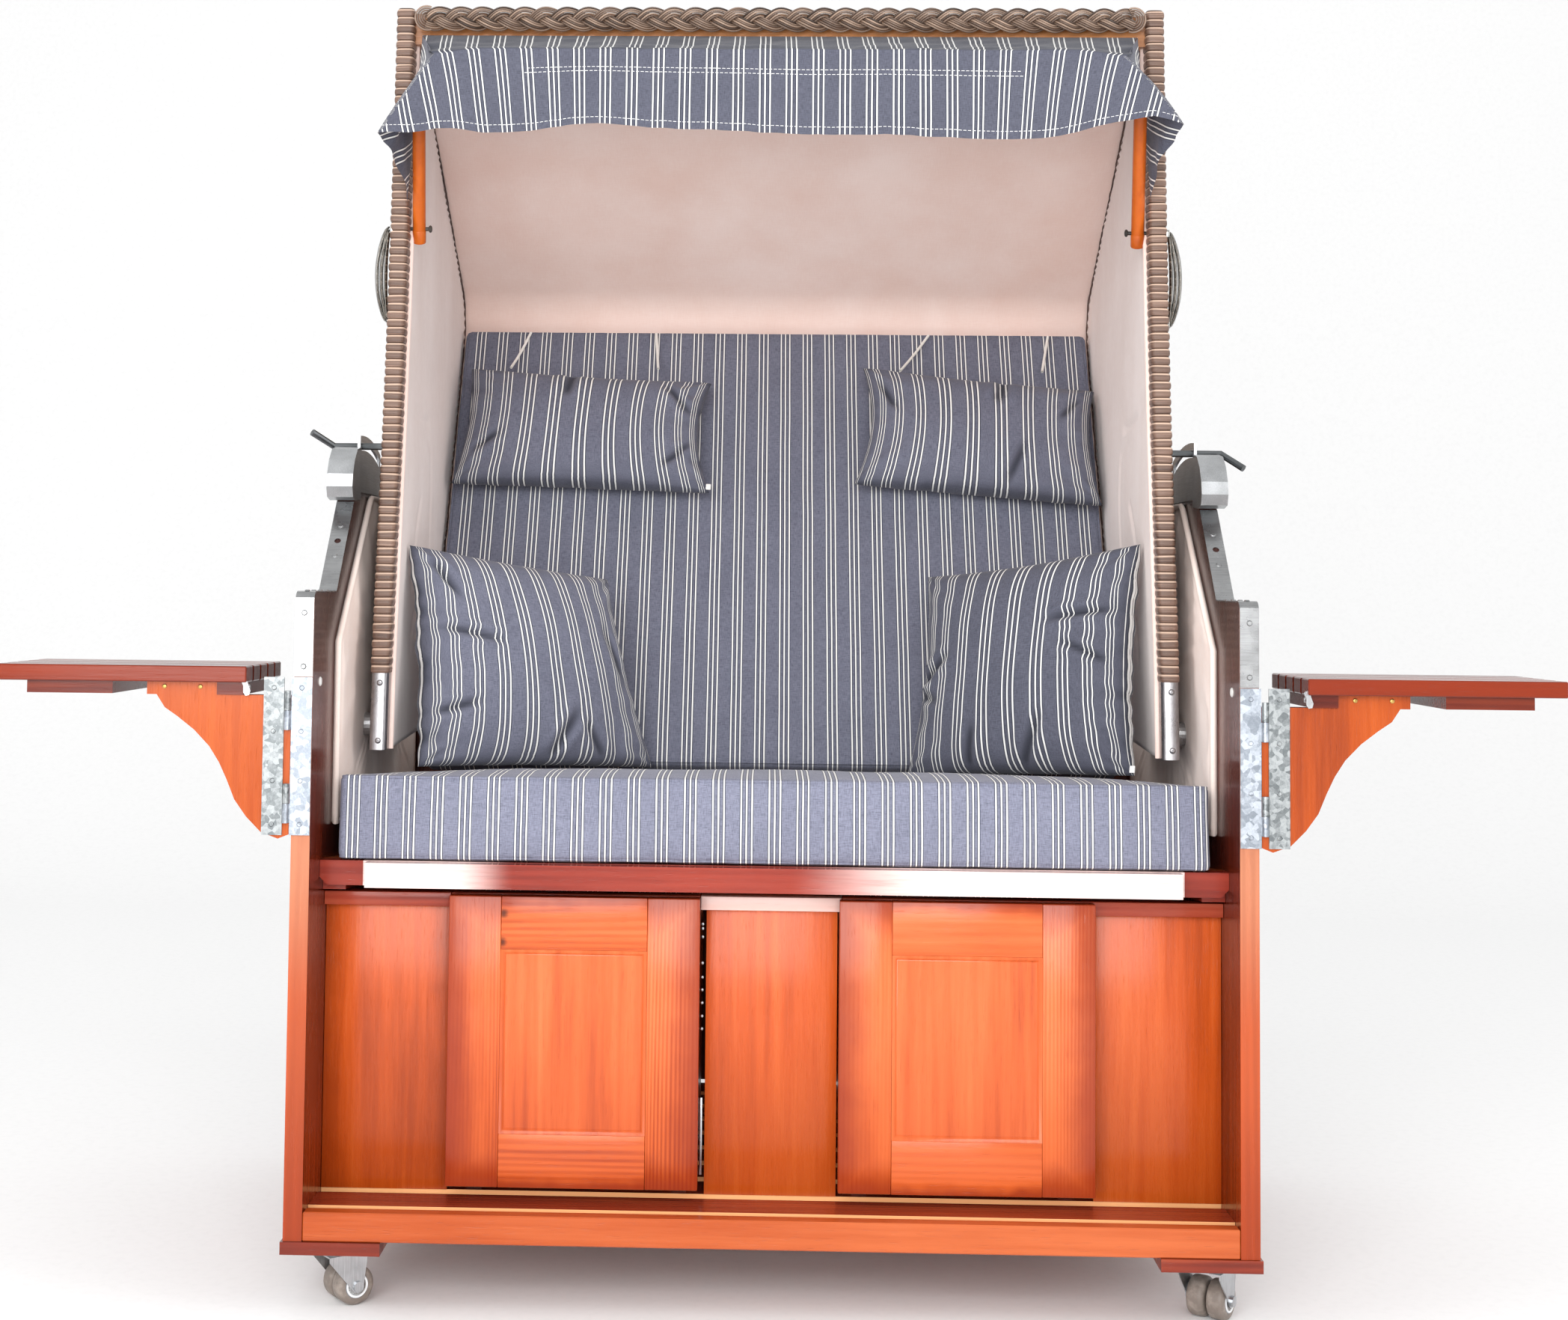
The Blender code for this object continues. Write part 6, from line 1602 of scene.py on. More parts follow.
@dataclass
class WrappedRail:
    """One rail of the hood: bands of ribbed wicker round it, and a bare steel foot.

    Fields: its side, half widths, the bands' height and ribs, the bare foot's height, the rail's
    place across and its depth, the awning knob's place, and the foot screws' heights.
    """

    side: Side
    half_x: float = 0.0132
    half_y: float = 0.0182
    band: float = 0.0118
    ribs: int = 5
    steel_height: float = 0.104
    middle_x: float = 0.540
    depth: float = 0.034
    knob: tuple[float, float, float] = (0.4995, 0.338, 1.428)
    screws: tuple[float, float] = (0.703, 0.7815)

    def path(self) -> np.ndarray:
        """The rail's middle line from its foot to its tip.

        Returns:
            The line's points.
        """
        front = [*HoodShell.front, (0.3730, 1.7500)]
        return np.array([place(self.side.value * self.middle_x, y - self.depth / 2, z)
                         for y, z in front])

    def section(self, half_x: float, half_y: float, count: int = 28) -> np.ndarray:
        """A rounded rectangle.

        Args:
            half_x: Half of its width.
            half_y: Half of its depth.
            count: Points round it.

        Returns:
            Pairs of offsets from its middle.
        """
        turns = np.linspace(0, 2 * math.pi, count, endpoint=False)
        c, s = np.cos(turns), np.sin(turns)
        return np.stack([half_x * np.sign(c) * abs(c) ** 0.45,
                         half_y * np.sign(s) * abs(s) ** 0.45], -1)

    def wraps(self) -> None:
        """Winds the ribbed bands round the rail."""
        path = resampled(self.path(), 0.002)
        run = distances(path)
        start, end = self.steel_height / math.cos(0.09), run[-1]
        count = round((end - start) / self.band)
        band = (end - start) / count
        shape = Shape()
        rows, lays = [], []
        seed = 0 if self.side is Side.LEFT else 500
        turns = np.linspace(0, 2 * math.pi, 28, endpoint=False)
        for k in range(count):
            bulge = 0.0003 * (k % 2) + 0.0005 * ripple((k, seed, 0), 0.7)
            tilt = 0.0010 * ripple((k, 9, seed), 0.9)
            for rib in range(self.ribs):
                for share, height in ((0.02, 0.0), (0.25, 0.8), (0.5, 1.0), (0.75, 0.8)):
                    place_in = (rib + share) / self.ribs
                    at = start + (k + place_in * 0.94) * band
                    spot = np.array([np.interp(at, run, path[:, a]) for a in range(3)])
                    round_in = math.sqrt(max(0.0, 1 - (2 * place_in - 1) ** 2))
                    rise = 0.00025 * height + bulge + 0.0021 * round_in - 0.0018
                    flat = self.section(self.half_x + rise, self.half_y + rise)
                    ring = [(spot[0] + x, spot[1] + y, spot[2] + tilt * x / self.half_x)
                            for x, y in flat]
                    rows.append(ring)
                    lays.append([(k + seed, t * 0.016, rib + share) for t in turns])
        shape.grid(rows, lays, around=True)
        top = path[-1]
        cap = self.section(self.half_x * 0.86, self.half_y * 0.86)
        ends = [[(top[0] + x * f, top[1] + y * f, top[2] + h) for x, y in cap]
                for h, f in ((-0.001, 1.08), (0.001, 1.02), (0.002, 0.8), (0.0024, 0.02))]
        shape.grid(ends, [[(seed + 77, 0, 2)] * 28] * 4, around=True)
        name = "wrapped_rail_" + self.side.label
        attach(shape.build(name, RAIL_STRAND, smooth=75.0), "hood", "hood_rail_" + self.side.label)

    def build(self) -> None:
        """Winds the bands and finishes the steel rail beneath."""
        self.wraps()
        shape = Shape()
        self.foot(shape)
        x = self.side.value * self.middle_x
        for z in self.screws:
            spot = place(x + 0.001, 0.2119 + (z - HoodShell.front[0][1]) * 0.09, z)
            screw_head(shape, spot, Vector((0, -1, 0)), 0.0042)
        across, back, height = self.knob
        spot = place(self.side.value * across, back, height)
        profile = ((-0.03, 0.0028), (-0.0012, 0.0028), (-0.001, 0.0040), (0.0, 0.0052),
                   (0.0014, 0.0054), (0.0026, 0.0046), (0.0034, 0.0028), (0.0036, 0.0))
        shape.turned(profile, spot, Vector((-self.side.value, 0, 0)), 24, 1)
        name = "rail_foot_" + self.side.label
        node = "hood_rail_" + self.side.label
        attach(shape.build(name, FOOT_STEEL, BLACK_KNOB), "hood", node, node)

    def foot(self, shape: Shape) -> None:
        """Adds the bare square steel bar below the wraps, with its foot cut level.

        Args:
            shape: What it is added to.
        """
        path = resampled(self.path(), 0.004)
        run = distances(path)
        path = path[run < self.steel_height + 0.012]
        flat = self.section(self.half_x - 0.0012, self.half_y - 0.0012)
        rows = [[(p[0] + x, p[1] + y, p[2]) for x, y in flat] for p in path]
        first = shape.count
        shape.grid(rows, around=True)
        shape.close(first, len(flat))


def screw_head(shape: Shape, spot: Vector, out: Vector, radius: float, slot: int = 0) -> None:
    """Adds a domed screw head with a cross recess round it.

    Args:
        shape: What it is added to.
        spot: The middle of its foot on the surface.
        out: The surface's outward direction.
        radius: The head's radius.
        slot: The finish it takes.
    """
    r = radius
    profile = ((-0.0008, r), (0.0, r), (0.12 * r, 0.97 * r), (0.3 * r, 0.8 * r),
               (0.4 * r, 0.55 * r), (0.4 * r, 0.34 * r), (0.12 * r, 0.26 * r), (0.1 * r, 0.0))
    shape.turned(profile, spot, out, 18, slot)


@dataclass
class TopBraid:
    """The three-strand plait along the hood's top edge, each strand five rods wide."""

    start_x: float = -0.508
    end_x: float = 0.508
    middle_y: float = 0.3299
    middle_z: float = 1.733
    period: float = 0.093
    swing: float = 0.0105
    depth: float = 0.0062
    rods: int = 5
    rod_pitch: float = 0.0030
    rod_radius: float = 0.00135

    def build(self) -> None:
        """Plaits the rods and curls them at both ends."""
        shape = Shape()
        waves = round((self.end_x - self.start_x) / self.period)
        xs = np.linspace(self.start_x, self.end_x, waves * 30)
        turn = (xs - self.start_x) / (self.end_x - self.start_x) * waves * 2 * math.pi
        for strand in range(3):
            phase = turn + strand * 2 * math.pi / 3
            z, y = self.swing * np.sin(phase), -self.depth * np.sin(2 * phase)
            line = np.stack([xs, y, z], -1)
            ahead = np.gradient(line, axis=0)
            level = np.stack([-ahead[:, 2], np.zeros(len(xs)), ahead[:, 0]], -1)
            level /= np.linalg.norm(level, axis=1)[:, None]
            for rod in range(self.rods):
                offset = (rod - (self.rods - 1) / 2) * self.rod_pitch
                path = line + level * offset
                path[:, 1] -= 0.0012 * math.cos(offset / self.rod_pitch)
                number = strand * 7 + rod
                lay = [(number, x, number) for x in xs]
                path += np.array(place(0, self.middle_y, self.middle_z))
                shape.tube(path, self.rod_radius, 7, lay=lay)
        for sign, x in ((-1, self.start_x), (1, self.end_x)):
            for rod in range(self.rods):
                reach = 0.0165 - rod * self.rod_pitch * 1.05
                turns = np.linspace(-0.62 * math.pi, 0.62 * math.pi, 22)
                path = np.array([place(x + sign * (reach * math.cos(a) - 0.001),
                                       self.middle_y - 0.003 - 0.004 * math.cos(a),
                                       self.middle_z + (reach + 0.001) * math.sin(a))
                                 for a in turns])
                shape.tube(path, self.rod_radius, 7,
                           lay=[(30 + rod, a * reach, rod) for a in turns])
        attach(shape.build("plaited_edge", STRAND, smooth=75.0), "hood", "top_braid", "top_braid")


@dataclass
class GrabBow:
    """A lifting bow of three polished strips nested one outside the other.

    Fields: its side, the heights of its feet, their place across, how far it stands off, the
    strips' step, half widths and number, and the rings of points along a strip.
    """

    side: Side
    low_z: float = 1.290
    high_z: float = 1.428
    foot_x: float = 0.5523
    stand_off: float = 0.0165
    step: float = 0.0062
    half_x: float = 0.0026
    half_y: float = 0.0062
    strips: int = 3
    rings: int = 44

    def build(self) -> None:
        """Bends the strips and their two feet."""
        shape = Shape()
        sign = self.side.value
        turns = np.linspace(0, 2 * math.pi, 12, endpoint=False)
        for k in range(self.strips):
            rows = []
            for share in np.linspace(0, 1, self.rings):
                inset = 0.004 * k
                z = self.low_z + inset + (self.high_z - self.low_z - 2 * inset) * share
                arch = max(0.0, math.sin(math.pi * share)) ** 0.6
                x = sign * (self.foot_x + 0.0030 + (self.stand_off - self.step * k) * arch)
                y = 0.3225 + 0.0012 * (k - 1)
                narrow = 0.75 + 0.25 * arch
                rows.append([place(x + self.half_x * narrow * math.cos(a),
                                   y + self.half_y * narrow * math.sin(a), z) for a in turns])
            first = shape.count
            shape.grid(rows, around=True)
            shape.close(first, len(turns))
        for z in (self.low_z + 0.004, self.high_z - 0.004):
            shape.block(place(sign * self.foot_x - 0.0012, 0.3135, z - 0.0055),
                        place(sign * self.foot_x + 0.0040, 0.3315, z + 0.0055), 0.0016)
        node = "grab_bow_" + self.side.label
        polished = Steel("polished_bow", rgb("B4B2AE"), 0.14)
        attach(shape.build("lifting_" + node, polished), "hood", node, node)


@dataclass
class AwningBow:
    """The tubular arms and crossbar of the awning, sprung in a little towards the top."""

    foot_x: float = 0.5158
    top_x: float = 0.4975
    foot: tuple[float, float] = (0.3476, 1.4115)
    top: tuple[float, float] = (0.2003, 1.6440)
    corner: float = 0.06
    radius: float = 0.0092

    def build(self) -> None:
        """Bends one tube and closes both its feet with a cap ring."""
        foot_y, foot_z = self.foot
        top_y, top_z = self.top
        left = [(-self.foot_x, foot_y, foot_z)]
        arm = np.array((self.top_x - self.foot_x, top_y - foot_y, top_z - foot_z))
        length = float(np.linalg.norm(arm))
        start = 1 - self.corner / length
        for share in np.linspace(0.05, start, 14):
            left.append((-(self.foot_x + arm[0] * share), foot_y + arm[1] * share,
                         foot_z + arm[2] * share))
        for angle in np.linspace(0.12, math.pi / 2, 10):
            rise = start + (1 - start) * math.sin(angle)
            inward = self.corner * (1 - math.cos(angle))
            left.append((-(self.foot_x + arm[0] * start) + inward, foot_y + arm[1] * rise,
                         foot_z + arm[2] * rise))
        right = [(-x, y, z) for x, y, z in reversed(left)]
        path = resampled(np.array([place(*spot) for spot in left + right]), 0.01)
        shape = Shape()
        shape.tube(path, self.radius, 20)
        for sign in (-1, 1):
            spot = place(sign * self.foot_x, foot_y, foot_z)
            ahead = Vector((sign * arm[0], arm[1], arm[2])).normalized()
            ring = ((-0.0012, 0.0080), (-0.0012, 0.0092), (0.0, 0.00965), (0.018, 0.00965),
                    (0.0186, 0.0092), (0.0186, 0.0080))
            shape.turned(ring, spot, ahead, 24)
        wood = VarnishedWood("awning_arm_wood", rgb("D26A1A"), rgb("B95510"), rgb("8C3D0C"),
                             Axis.Z, 0.3, 0.02, 0.1)
        attach(shape.build("awning_arms", wood), "awning", "awning_bow", "awning_bow")


@dataclass
class Awning:
    """The striped cloth over the front bow, its valance, end flaps and stitching.

    Fields: half widths at the header, the fold and the hem, the places of the header and the
    fold, the fold's radius, the hem's height across the chair, the flaps' lowest points, the
    stripes' lean, the shade of the band behind the bow, the columns at each side that belong to
    the ends, a plane for the ends to gather to that is not used, the cloth's columns, its rows
    up to the fold, the columns that the front stitches run between, and the stitches' length and
    gap.
    """

    head_half: float = 0.5165
    fold_half: float = 0.4735
    hem_half: float = 0.5495
    head: tuple[float, float] = (0.3475, 1.7130)
    fold: tuple[float, float] = (0.1900, 1.6540)
    fold_radius: float = 0.0118
    hem_line: tuple[tuple[float, float], ...] = (
        (-0.551, 1.5358), (-0.506, 1.5343), (-0.471, 1.5397), (-0.432, 1.5382), (-0.404, 1.5348),
        (-0.373, 1.5349), (-0.342, 1.5386), (-0.311, 1.5457), (-0.262, 1.5505), (-0.203, 1.5462),
        (-0.141, 1.5395), (-0.044, 1.5393), (0.039, 1.5362), (0.145, 1.5347), (0.265, 1.5293),
        (0.320, 1.5296), (0.363, 1.5330), (0.390, 1.5386), (0.425, 1.5459), (0.460, 1.5539),
        (0.510, 1.5600), (0.551, 1.5500))
    flap_tip: tuple[float, float] = (0.5265, 0.3000)
    flap_low: tuple[float, float] = (1.4600, 1.4700)
    lean: float = 0.024
    band_shade: float = 0.55
    tuck: int = 7
    gather_y: float = 0.3050
    columns: int = 221
    band_rows: int = 22
    front_stitches: tuple[int, int] = (33, 186)
    stitch: float = 0.0042
    stitch_gap: float = 0.0022

    def hem(self, x: float) -> float:
        """The hem's height at a place across the valance."""
        spots, heights = zip(*self.hem_line)
        return float(np.interp(x, spots, heights)) + 0.0012 * ripple((x, 0, 0), 40.0, 5.0)

    def sway(self, x: float, drop: float) -> float:
        """How far the valance hangs before its bow's plane.

        Args:
            x: A place across the chair.
            drop: How far below the fold the place lies.

        Returns:
            The distance, negative towards the front.
        """
        deep = min(1.0, drop / 0.10)
        wave = 0.0075 * math.sin(x * 19.0 + 0.8) + 0.006 * ripple((x, drop * 0.5, 0), 11.0, 3.0)
        edge = smooth(abs(x), 0.30, 0.50)
        slant = 0.005 * math.sin((abs(x) - 0.35 * drop) * 75.0) * edge
        return -0.006 * deep + (wave + slant) * deep

    def front_rows(self) -> tuple[list[list[Vector]], list[list[tuple[float, float, float]]]]:
        """The cloth from the header over the bow and down to the hem.

        Returns:
            The rows of points, and their flat coordinates in the same layout.
        """
        xs = np.linspace(-1, 1, self.columns)
        head, fold = np.array(self.head), np.array(self.fold)
        rows, lays = [], []
        run = 0.0
        slope = [tuple(head + (fold - head) * t) for t in np.linspace(0, 0.94, 16)]
        slope += [(self.fold[0] - self.fold_radius * 0.55 * math.sin(a),
                   self.fold[1] + self.fold_radius * (0.35 * math.cos(a) - 0.1))
                  for a in np.linspace(0.2, math.pi * 0.5, 6)]
        middle = len(xs) // 2
        for k, (y, z) in enumerate(slope):
            share = k / (len(slope) - 1)
            half = self.head_half + (self.fold_half - self.head_half) * share ** 0.8
            row, lay = [], []
            for t in xs:
                x = t * half
                belly = math.sin(math.pi * share)
                sag = 0.0035 * belly * (0.6 + ripple((x, share, 0), 9.0))
                tuck = 0.0035 * ripple((x + 0.15 * share, 0.2 * share, 4), 24.0) * belly
                corner = 0.007 * smooth(abs(t), 0.86, 1.0) * share
                row.append(place(x, y, z - sag + tuck - corner))
                slip = self.lean * (1 - share) * smooth(abs(x), 0.15, 0.5)
                lay.append((x + math.copysign(slip, -x), 0.0, 0.0))
            if rows:
                run += (row[middle] - rows[-1][middle]).length
            rows.append(row)
            shadow = self.band_shade * (1.0 - smooth(share, 0.8, 1.0))
            lays.append([(u, run, shadow) for u, _, _ in lay])
        top_y = slope[-1][0]
        top = rows[-1]
        for k in range(1, 29):
            share = k / 28
            row, lay = [], []
            half = self.fold_half + (self.hem_half - self.fold_half) * share ** 0.92
            for t, above in zip(xs, top):
                x = t * half
                z = above.z + (self.hem(x) - above.z) * share
                row.append(place(x, top_y + self.sway(x, above.z - z), z))
                slip = self.lean * share * smooth(abs(x), 0.22, 0.5)
                lay.append((x + math.copysign(slip, x), 0.0, 0.0))
            run += (row[middle] - rows[-1][middle]).length
            rows.append(row)
            lays.append([(u, run, 0) for u, _, _ in lay])
        return rows, lays

    def build(self) -> None:
        """Lays the cloth, its ends and the thread of its seams."""
        rows, lays = self.front_rows()
        shape, ends = Shape(), Shape()
        near, far = self.tuck, self.columns - self.tuck
        brow = self.band_rows - 1
        shape.grid(rows[:self.band_rows], lays[:self.band_rows])
        for cloth, first, last in ((shape, near, far), (ends, 0, near + 1),
                                   (ends, far - 1, self.columns)):
            cloth.grid([row[first:last] for row in rows[brow:]],
                       [lay[first:last] for lay in lays[brow:]])
        for sign, column, low in ((-1, 0, self.flap_low[0]), (1, -1, self.flap_low[1])):
            front = [row[column] for row in rows[brow - 1:]]
            head = rows[0][column]
            foot = place(sign * self.flap_tip[0], self.flap_tip[1], low)
            flap, flat = [], []
            for k, spot in enumerate(front):
                down = k / (len(front) - 1)
                rear = head.lerp(foot, down)
                row, lay = [], []
                for share in np.linspace(0, 1, 24):
                    point = spot.lerp(rear, share)
                    bow = math.sin(math.pi * share) * down
                    fold_in = 0.010 * ripple((share * 1.4, down * 2.0, sign), 3.0)
                    point.x += sign * bow * (0.004 + fold_in) - sign * 0.012 * bow * share
                    point.z += 0.014 * bow
                    row.append(point)
                    lay.append((0.8 * point.z - 0.35 * (point.y - spot.y), share * 0.1, 0))
                flap.append(row)
                flat.append(lay)
            ends.grid(flap, flat)
        # tone 0.58 paints shade on the awning's cloth
        striped = StripedCloth("striped_chambray_awning", own_lay=True, tone=0.58)
        white = PlainCloth("white_thread", rgb("F4F4F2"), rgb("DADBDD"), 2500.0)
        threads = Shape()
        self.seams(rows, threads, ends)
        cloth = shape.build("awning_sheet", striped, smooth=180.0, weld=0.00001)
        sides = ends.build("awning_ends", striped, white, smooth=180.0, weld=0.00001)
        thread = threads.build("awning_thread", white)
        attach(thread, "awning", "awning_cloth")
        attach(sides, "hood", "awning_cloth")
        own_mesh(sides)
        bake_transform(cloth)
        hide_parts("awning_cloth")

    def seams(self, rows: list[list[Vector]], middle: Shape, ends: Shape) -> None:
        """Stitches of white thread along the hem and in two lines across the valance.

        Args:
            rows: The cloth's points.
            middle: What the stitches between the ends are added to.
            ends: What the stitches on the ends are added to.
        """
        limit = abs(rows[-1][self.tuck].x)
        net = np.array(rows[self.band_rows - 1:])
        runs = [net[-4] * 0.45 + net[-3] * 0.55]
        left, right = self.front_stitches
        for share in (0.235, 0.29):
            at = share * (len(net) - 1)
            k = int(at)
            runs.append((net[k] + (net[k + 1] - net[k]) * (at - k))[left:right])
        for line in runs:
            run = distances(line)
            at = 0.0
            while at + self.stitch < run[-1]:
                dips = [[np.interp(at + d, run, line[:, a]) for a in range(3)]
                        for d in (0.0, self.stitch / 2, self.stitch)]
                path = np.array(dips) + np.array([(0, -0.0002, 0), (0, -0.0008, 0),
                                                  (0, -0.0002, 0)])
                if abs(path[:, 0]).max() < limit:
                    middle.tube(path, 0.00045, 5)
                elif abs(path[:, 0]).min() > limit:
                    ends.tube(path, 0.00045, 5, slot=1)
                at += self.stitch + self.stitch_gap


@dataclass
class BaseBox:
    """The varnished base: walls, floor, recess, seat frame, and the lined walls inside."""

    inner_half: float = 0.5815
    wall_half: float = 0.5856
    lining: tuple[tuple[float, float], ...] = (
        (0.14, 0.60), (0.14, 0.84), (0.36, 1.04), (0.60, 1.04), (0.78, 0.87), (0.78, 0.60))

    def woods(self) -> None:
        """Finishes the base's wooden solids."""
        for side in Side:
            # each wall's front face is painted lighter as if lit from the front, paler higher up
            # and darker towards the bottom
            dress("side_wall_" + side.label, VarnishedWood(
                "wall_wood", rgb("76290F"), rgb("561A0B"), rgb("340E06"), Axis.Z, 0.16, 0.012,
                face_axis=Axis.Y, face_limit=FRONT_PLANE + 0.0012, lit_face_tone=rgb("BE5428"),
                low_tone=rgb("A43C10"), lit_high_tone=rgb("C9805E"), top_z=0.70))
        dress("front_bar", VarnishedWood("bar_wood", rgb("CC6A3A"), rgb("AE4C1E"), rgb("7E3212"),
                                         Axis.X, 0.15))
        # the slats' front edges are painted pale as if lit from the front
        dress("floor_frame", VarnishedWood(
            "floor_wood", rgb("A84A2A"), rgb("7C2C1C"), rgb("4C1A12"), Axis.X, 0.12,
            board_axis=Axis.Y, board_pitch=0.084, board_start=FRONT_PLANE + 0.023,
            lit_edge_pitch=0.084, lit_edge_start=FRONT_PLANE + 0.034))
        # painted shade: the back panel's wood is darkened where it lies in shade behind the seat
        # cushion
        dress("back_panel", VarnishedWood("shaded_back_wood", rgb("6A2A16"), rgb("4A1A0E"),
                                          rgb("2A0E08"), grain=Axis.Z, board_axis=Axis.X,
                                          board_pitch=0.1, board_start=-0.6))
        # glare and far_glare paint a reflection of window light on the nosing's varnish
        dress("seat_frame", VarnishedWood("nosing_wood", rgb("A83E2A"), rgb("842819"),
                                          rgb("5C1910"), Axis.X, 0.12, glare=(-0.42, -0.33),
                                          far_glare=(0.02, 0.22)))
        dress("seat_deck", VarnishedWood("deck_wood", grain=Axis.X))

    def linings(self) -> None:
        """Pads the walls' inner faces with canvas between its piped borders."""
        edge = np.array([(y + FRONT_PLANE, z) for y, z in self.lining])
        ring = resampled(np.vstack([edge, edge[:1]]), 0.010)[:-1]
        middle = ring.mean(axis=0)
        for side in Side:
            shape = Shape()
            rows = []
            for share in (1.0, 0.985, 0.965, 0.94, 0.9, 0.84, 0.76, 0.66, 0.54, 0.4, 0.25, 0.08):
                row = []
                for spot in ring:
                    point = middle + (spot - middle) * share
                    reach = float(np.linalg.norm(spot - middle)) * (1 - share)
                    lift = 0.0052 * (1 - math.exp(-reach / 0.018))
                    lift += 0.0022 * ripple((side.value, *point), 9.0, 6.0)
                    crease = ripple((side.value, point[0] * 2.4, point[1] * 0.8), 10.0, 8.0)
                    lift += 0.0030 * (1 - min(1.0, abs(crease) * 5.0)) * (share < 0.98)
                    x = side.value * (self.inner_half - max(lift, 0.0004))
                    row.append((x, point[0], point[1]))
                rows.append(row)
            rows.insert(0, [(side.value * self.wall_half, y, z) for y, z in ring])
            shape.grid(rows, around=True)
            count = len(ring)
            shape.faces.append(tuple(range(count)))
            shape.faces.append(tuple(range(shape.count - count, shape.count)))
            shape.slots.extend((0, 0))
            path = [(side.value * (self.inner_half - 0.0005), y, z) for y, z in ring]
            shape.tube(path, 0.0042, 10, closed=True)
            node = "side_lining_" + side.label
            # the padding takes the lighter canvas, painted light against its shade
            lining = shape.build("padded_" + node, LIT_LINING_CANVAS, smooth=70.0)
            attach(lining, "base", node, node)

    def recess(self) -> None:
        """Sets the boards beside and between the footrests, their rail, and the gap's pins."""
        top, low = 0.4962, 0.1278
        tones = (rgb("E47236"), rgb("C9541A"), rgb("93360C"))
        boards = (("left", -0.5857, -0.4205, (-0.5857, 0.05, -0.4205, 0.55)),
                  ("middle", -0.0845, 0.0870, ()), ("right", 0.4205, 0.5857, ()))
        for word, x0, x1, rim in boards:
            shape = Shape()
            shape.block(place(x0, 0.1157, low), place(x1, 0.1276, top), 0.0006)
            wood = VarnishedWood(f"recess_{word}_wood", *tones, Axis.Z, 0.18, 0.02, 0.15,
                                 low_tone=rgb("A8460A"), rim=rim, rim_width=0.03)
            hidden = ("recess_panels",) if word == "middle" else ()
            attach(shape.build("recess_board_" + word, wood), "base", "recess_panels", *hidden)
        rail = Shape()
        for x0, x1, slot in ((-0.5857, -0.4190, 0), (-0.4180, -0.0925, 0), (-0.0915, 0.0915, 1),
                             (0.0925, 0.5857, 0)):
            rail.block(place(x0, 0.1004, 0.4966), place(x1, 0.1275, 0.5144), 0.0009, slot)
        woods = (VarnishedWood("recess_rail_wood", rgb("B85A40"), rgb("9C3C28"), rgb("6E2114"),
                               Axis.X, 0.15),
                 VarnishedWood("recess_rail_lit_wood", rgb("F0D4CC"), rgb("E4BFB4"),
                               rgb("C58A7A"), Axis.X, 0.15))
        attach(rail.build("recess_rail", *woods), "base", "recess_panels")
        pins = Shape()
        for z in (0.4758, 0.4701, 0.4593, 0.4253, 0.4069, 0.3905, 0.3737, 0.3565, 0.3401):
            screw_head(pins, place(-0.0893, 0.1185, z), Vector((0, -1, 0)), 0.0022)
        pins.block(place(-0.0912, 0.1185, 0.152), place(-0.0876, 0.1195, 0.251), 0.0004)
        attach(pins.build("recess_pins", STAINLESS), "base", "recess_panels")

    def build(self) -> None:
        """Finishes the wood and pads the walls."""
        self.woods()
        self.recess()
        self.linings()


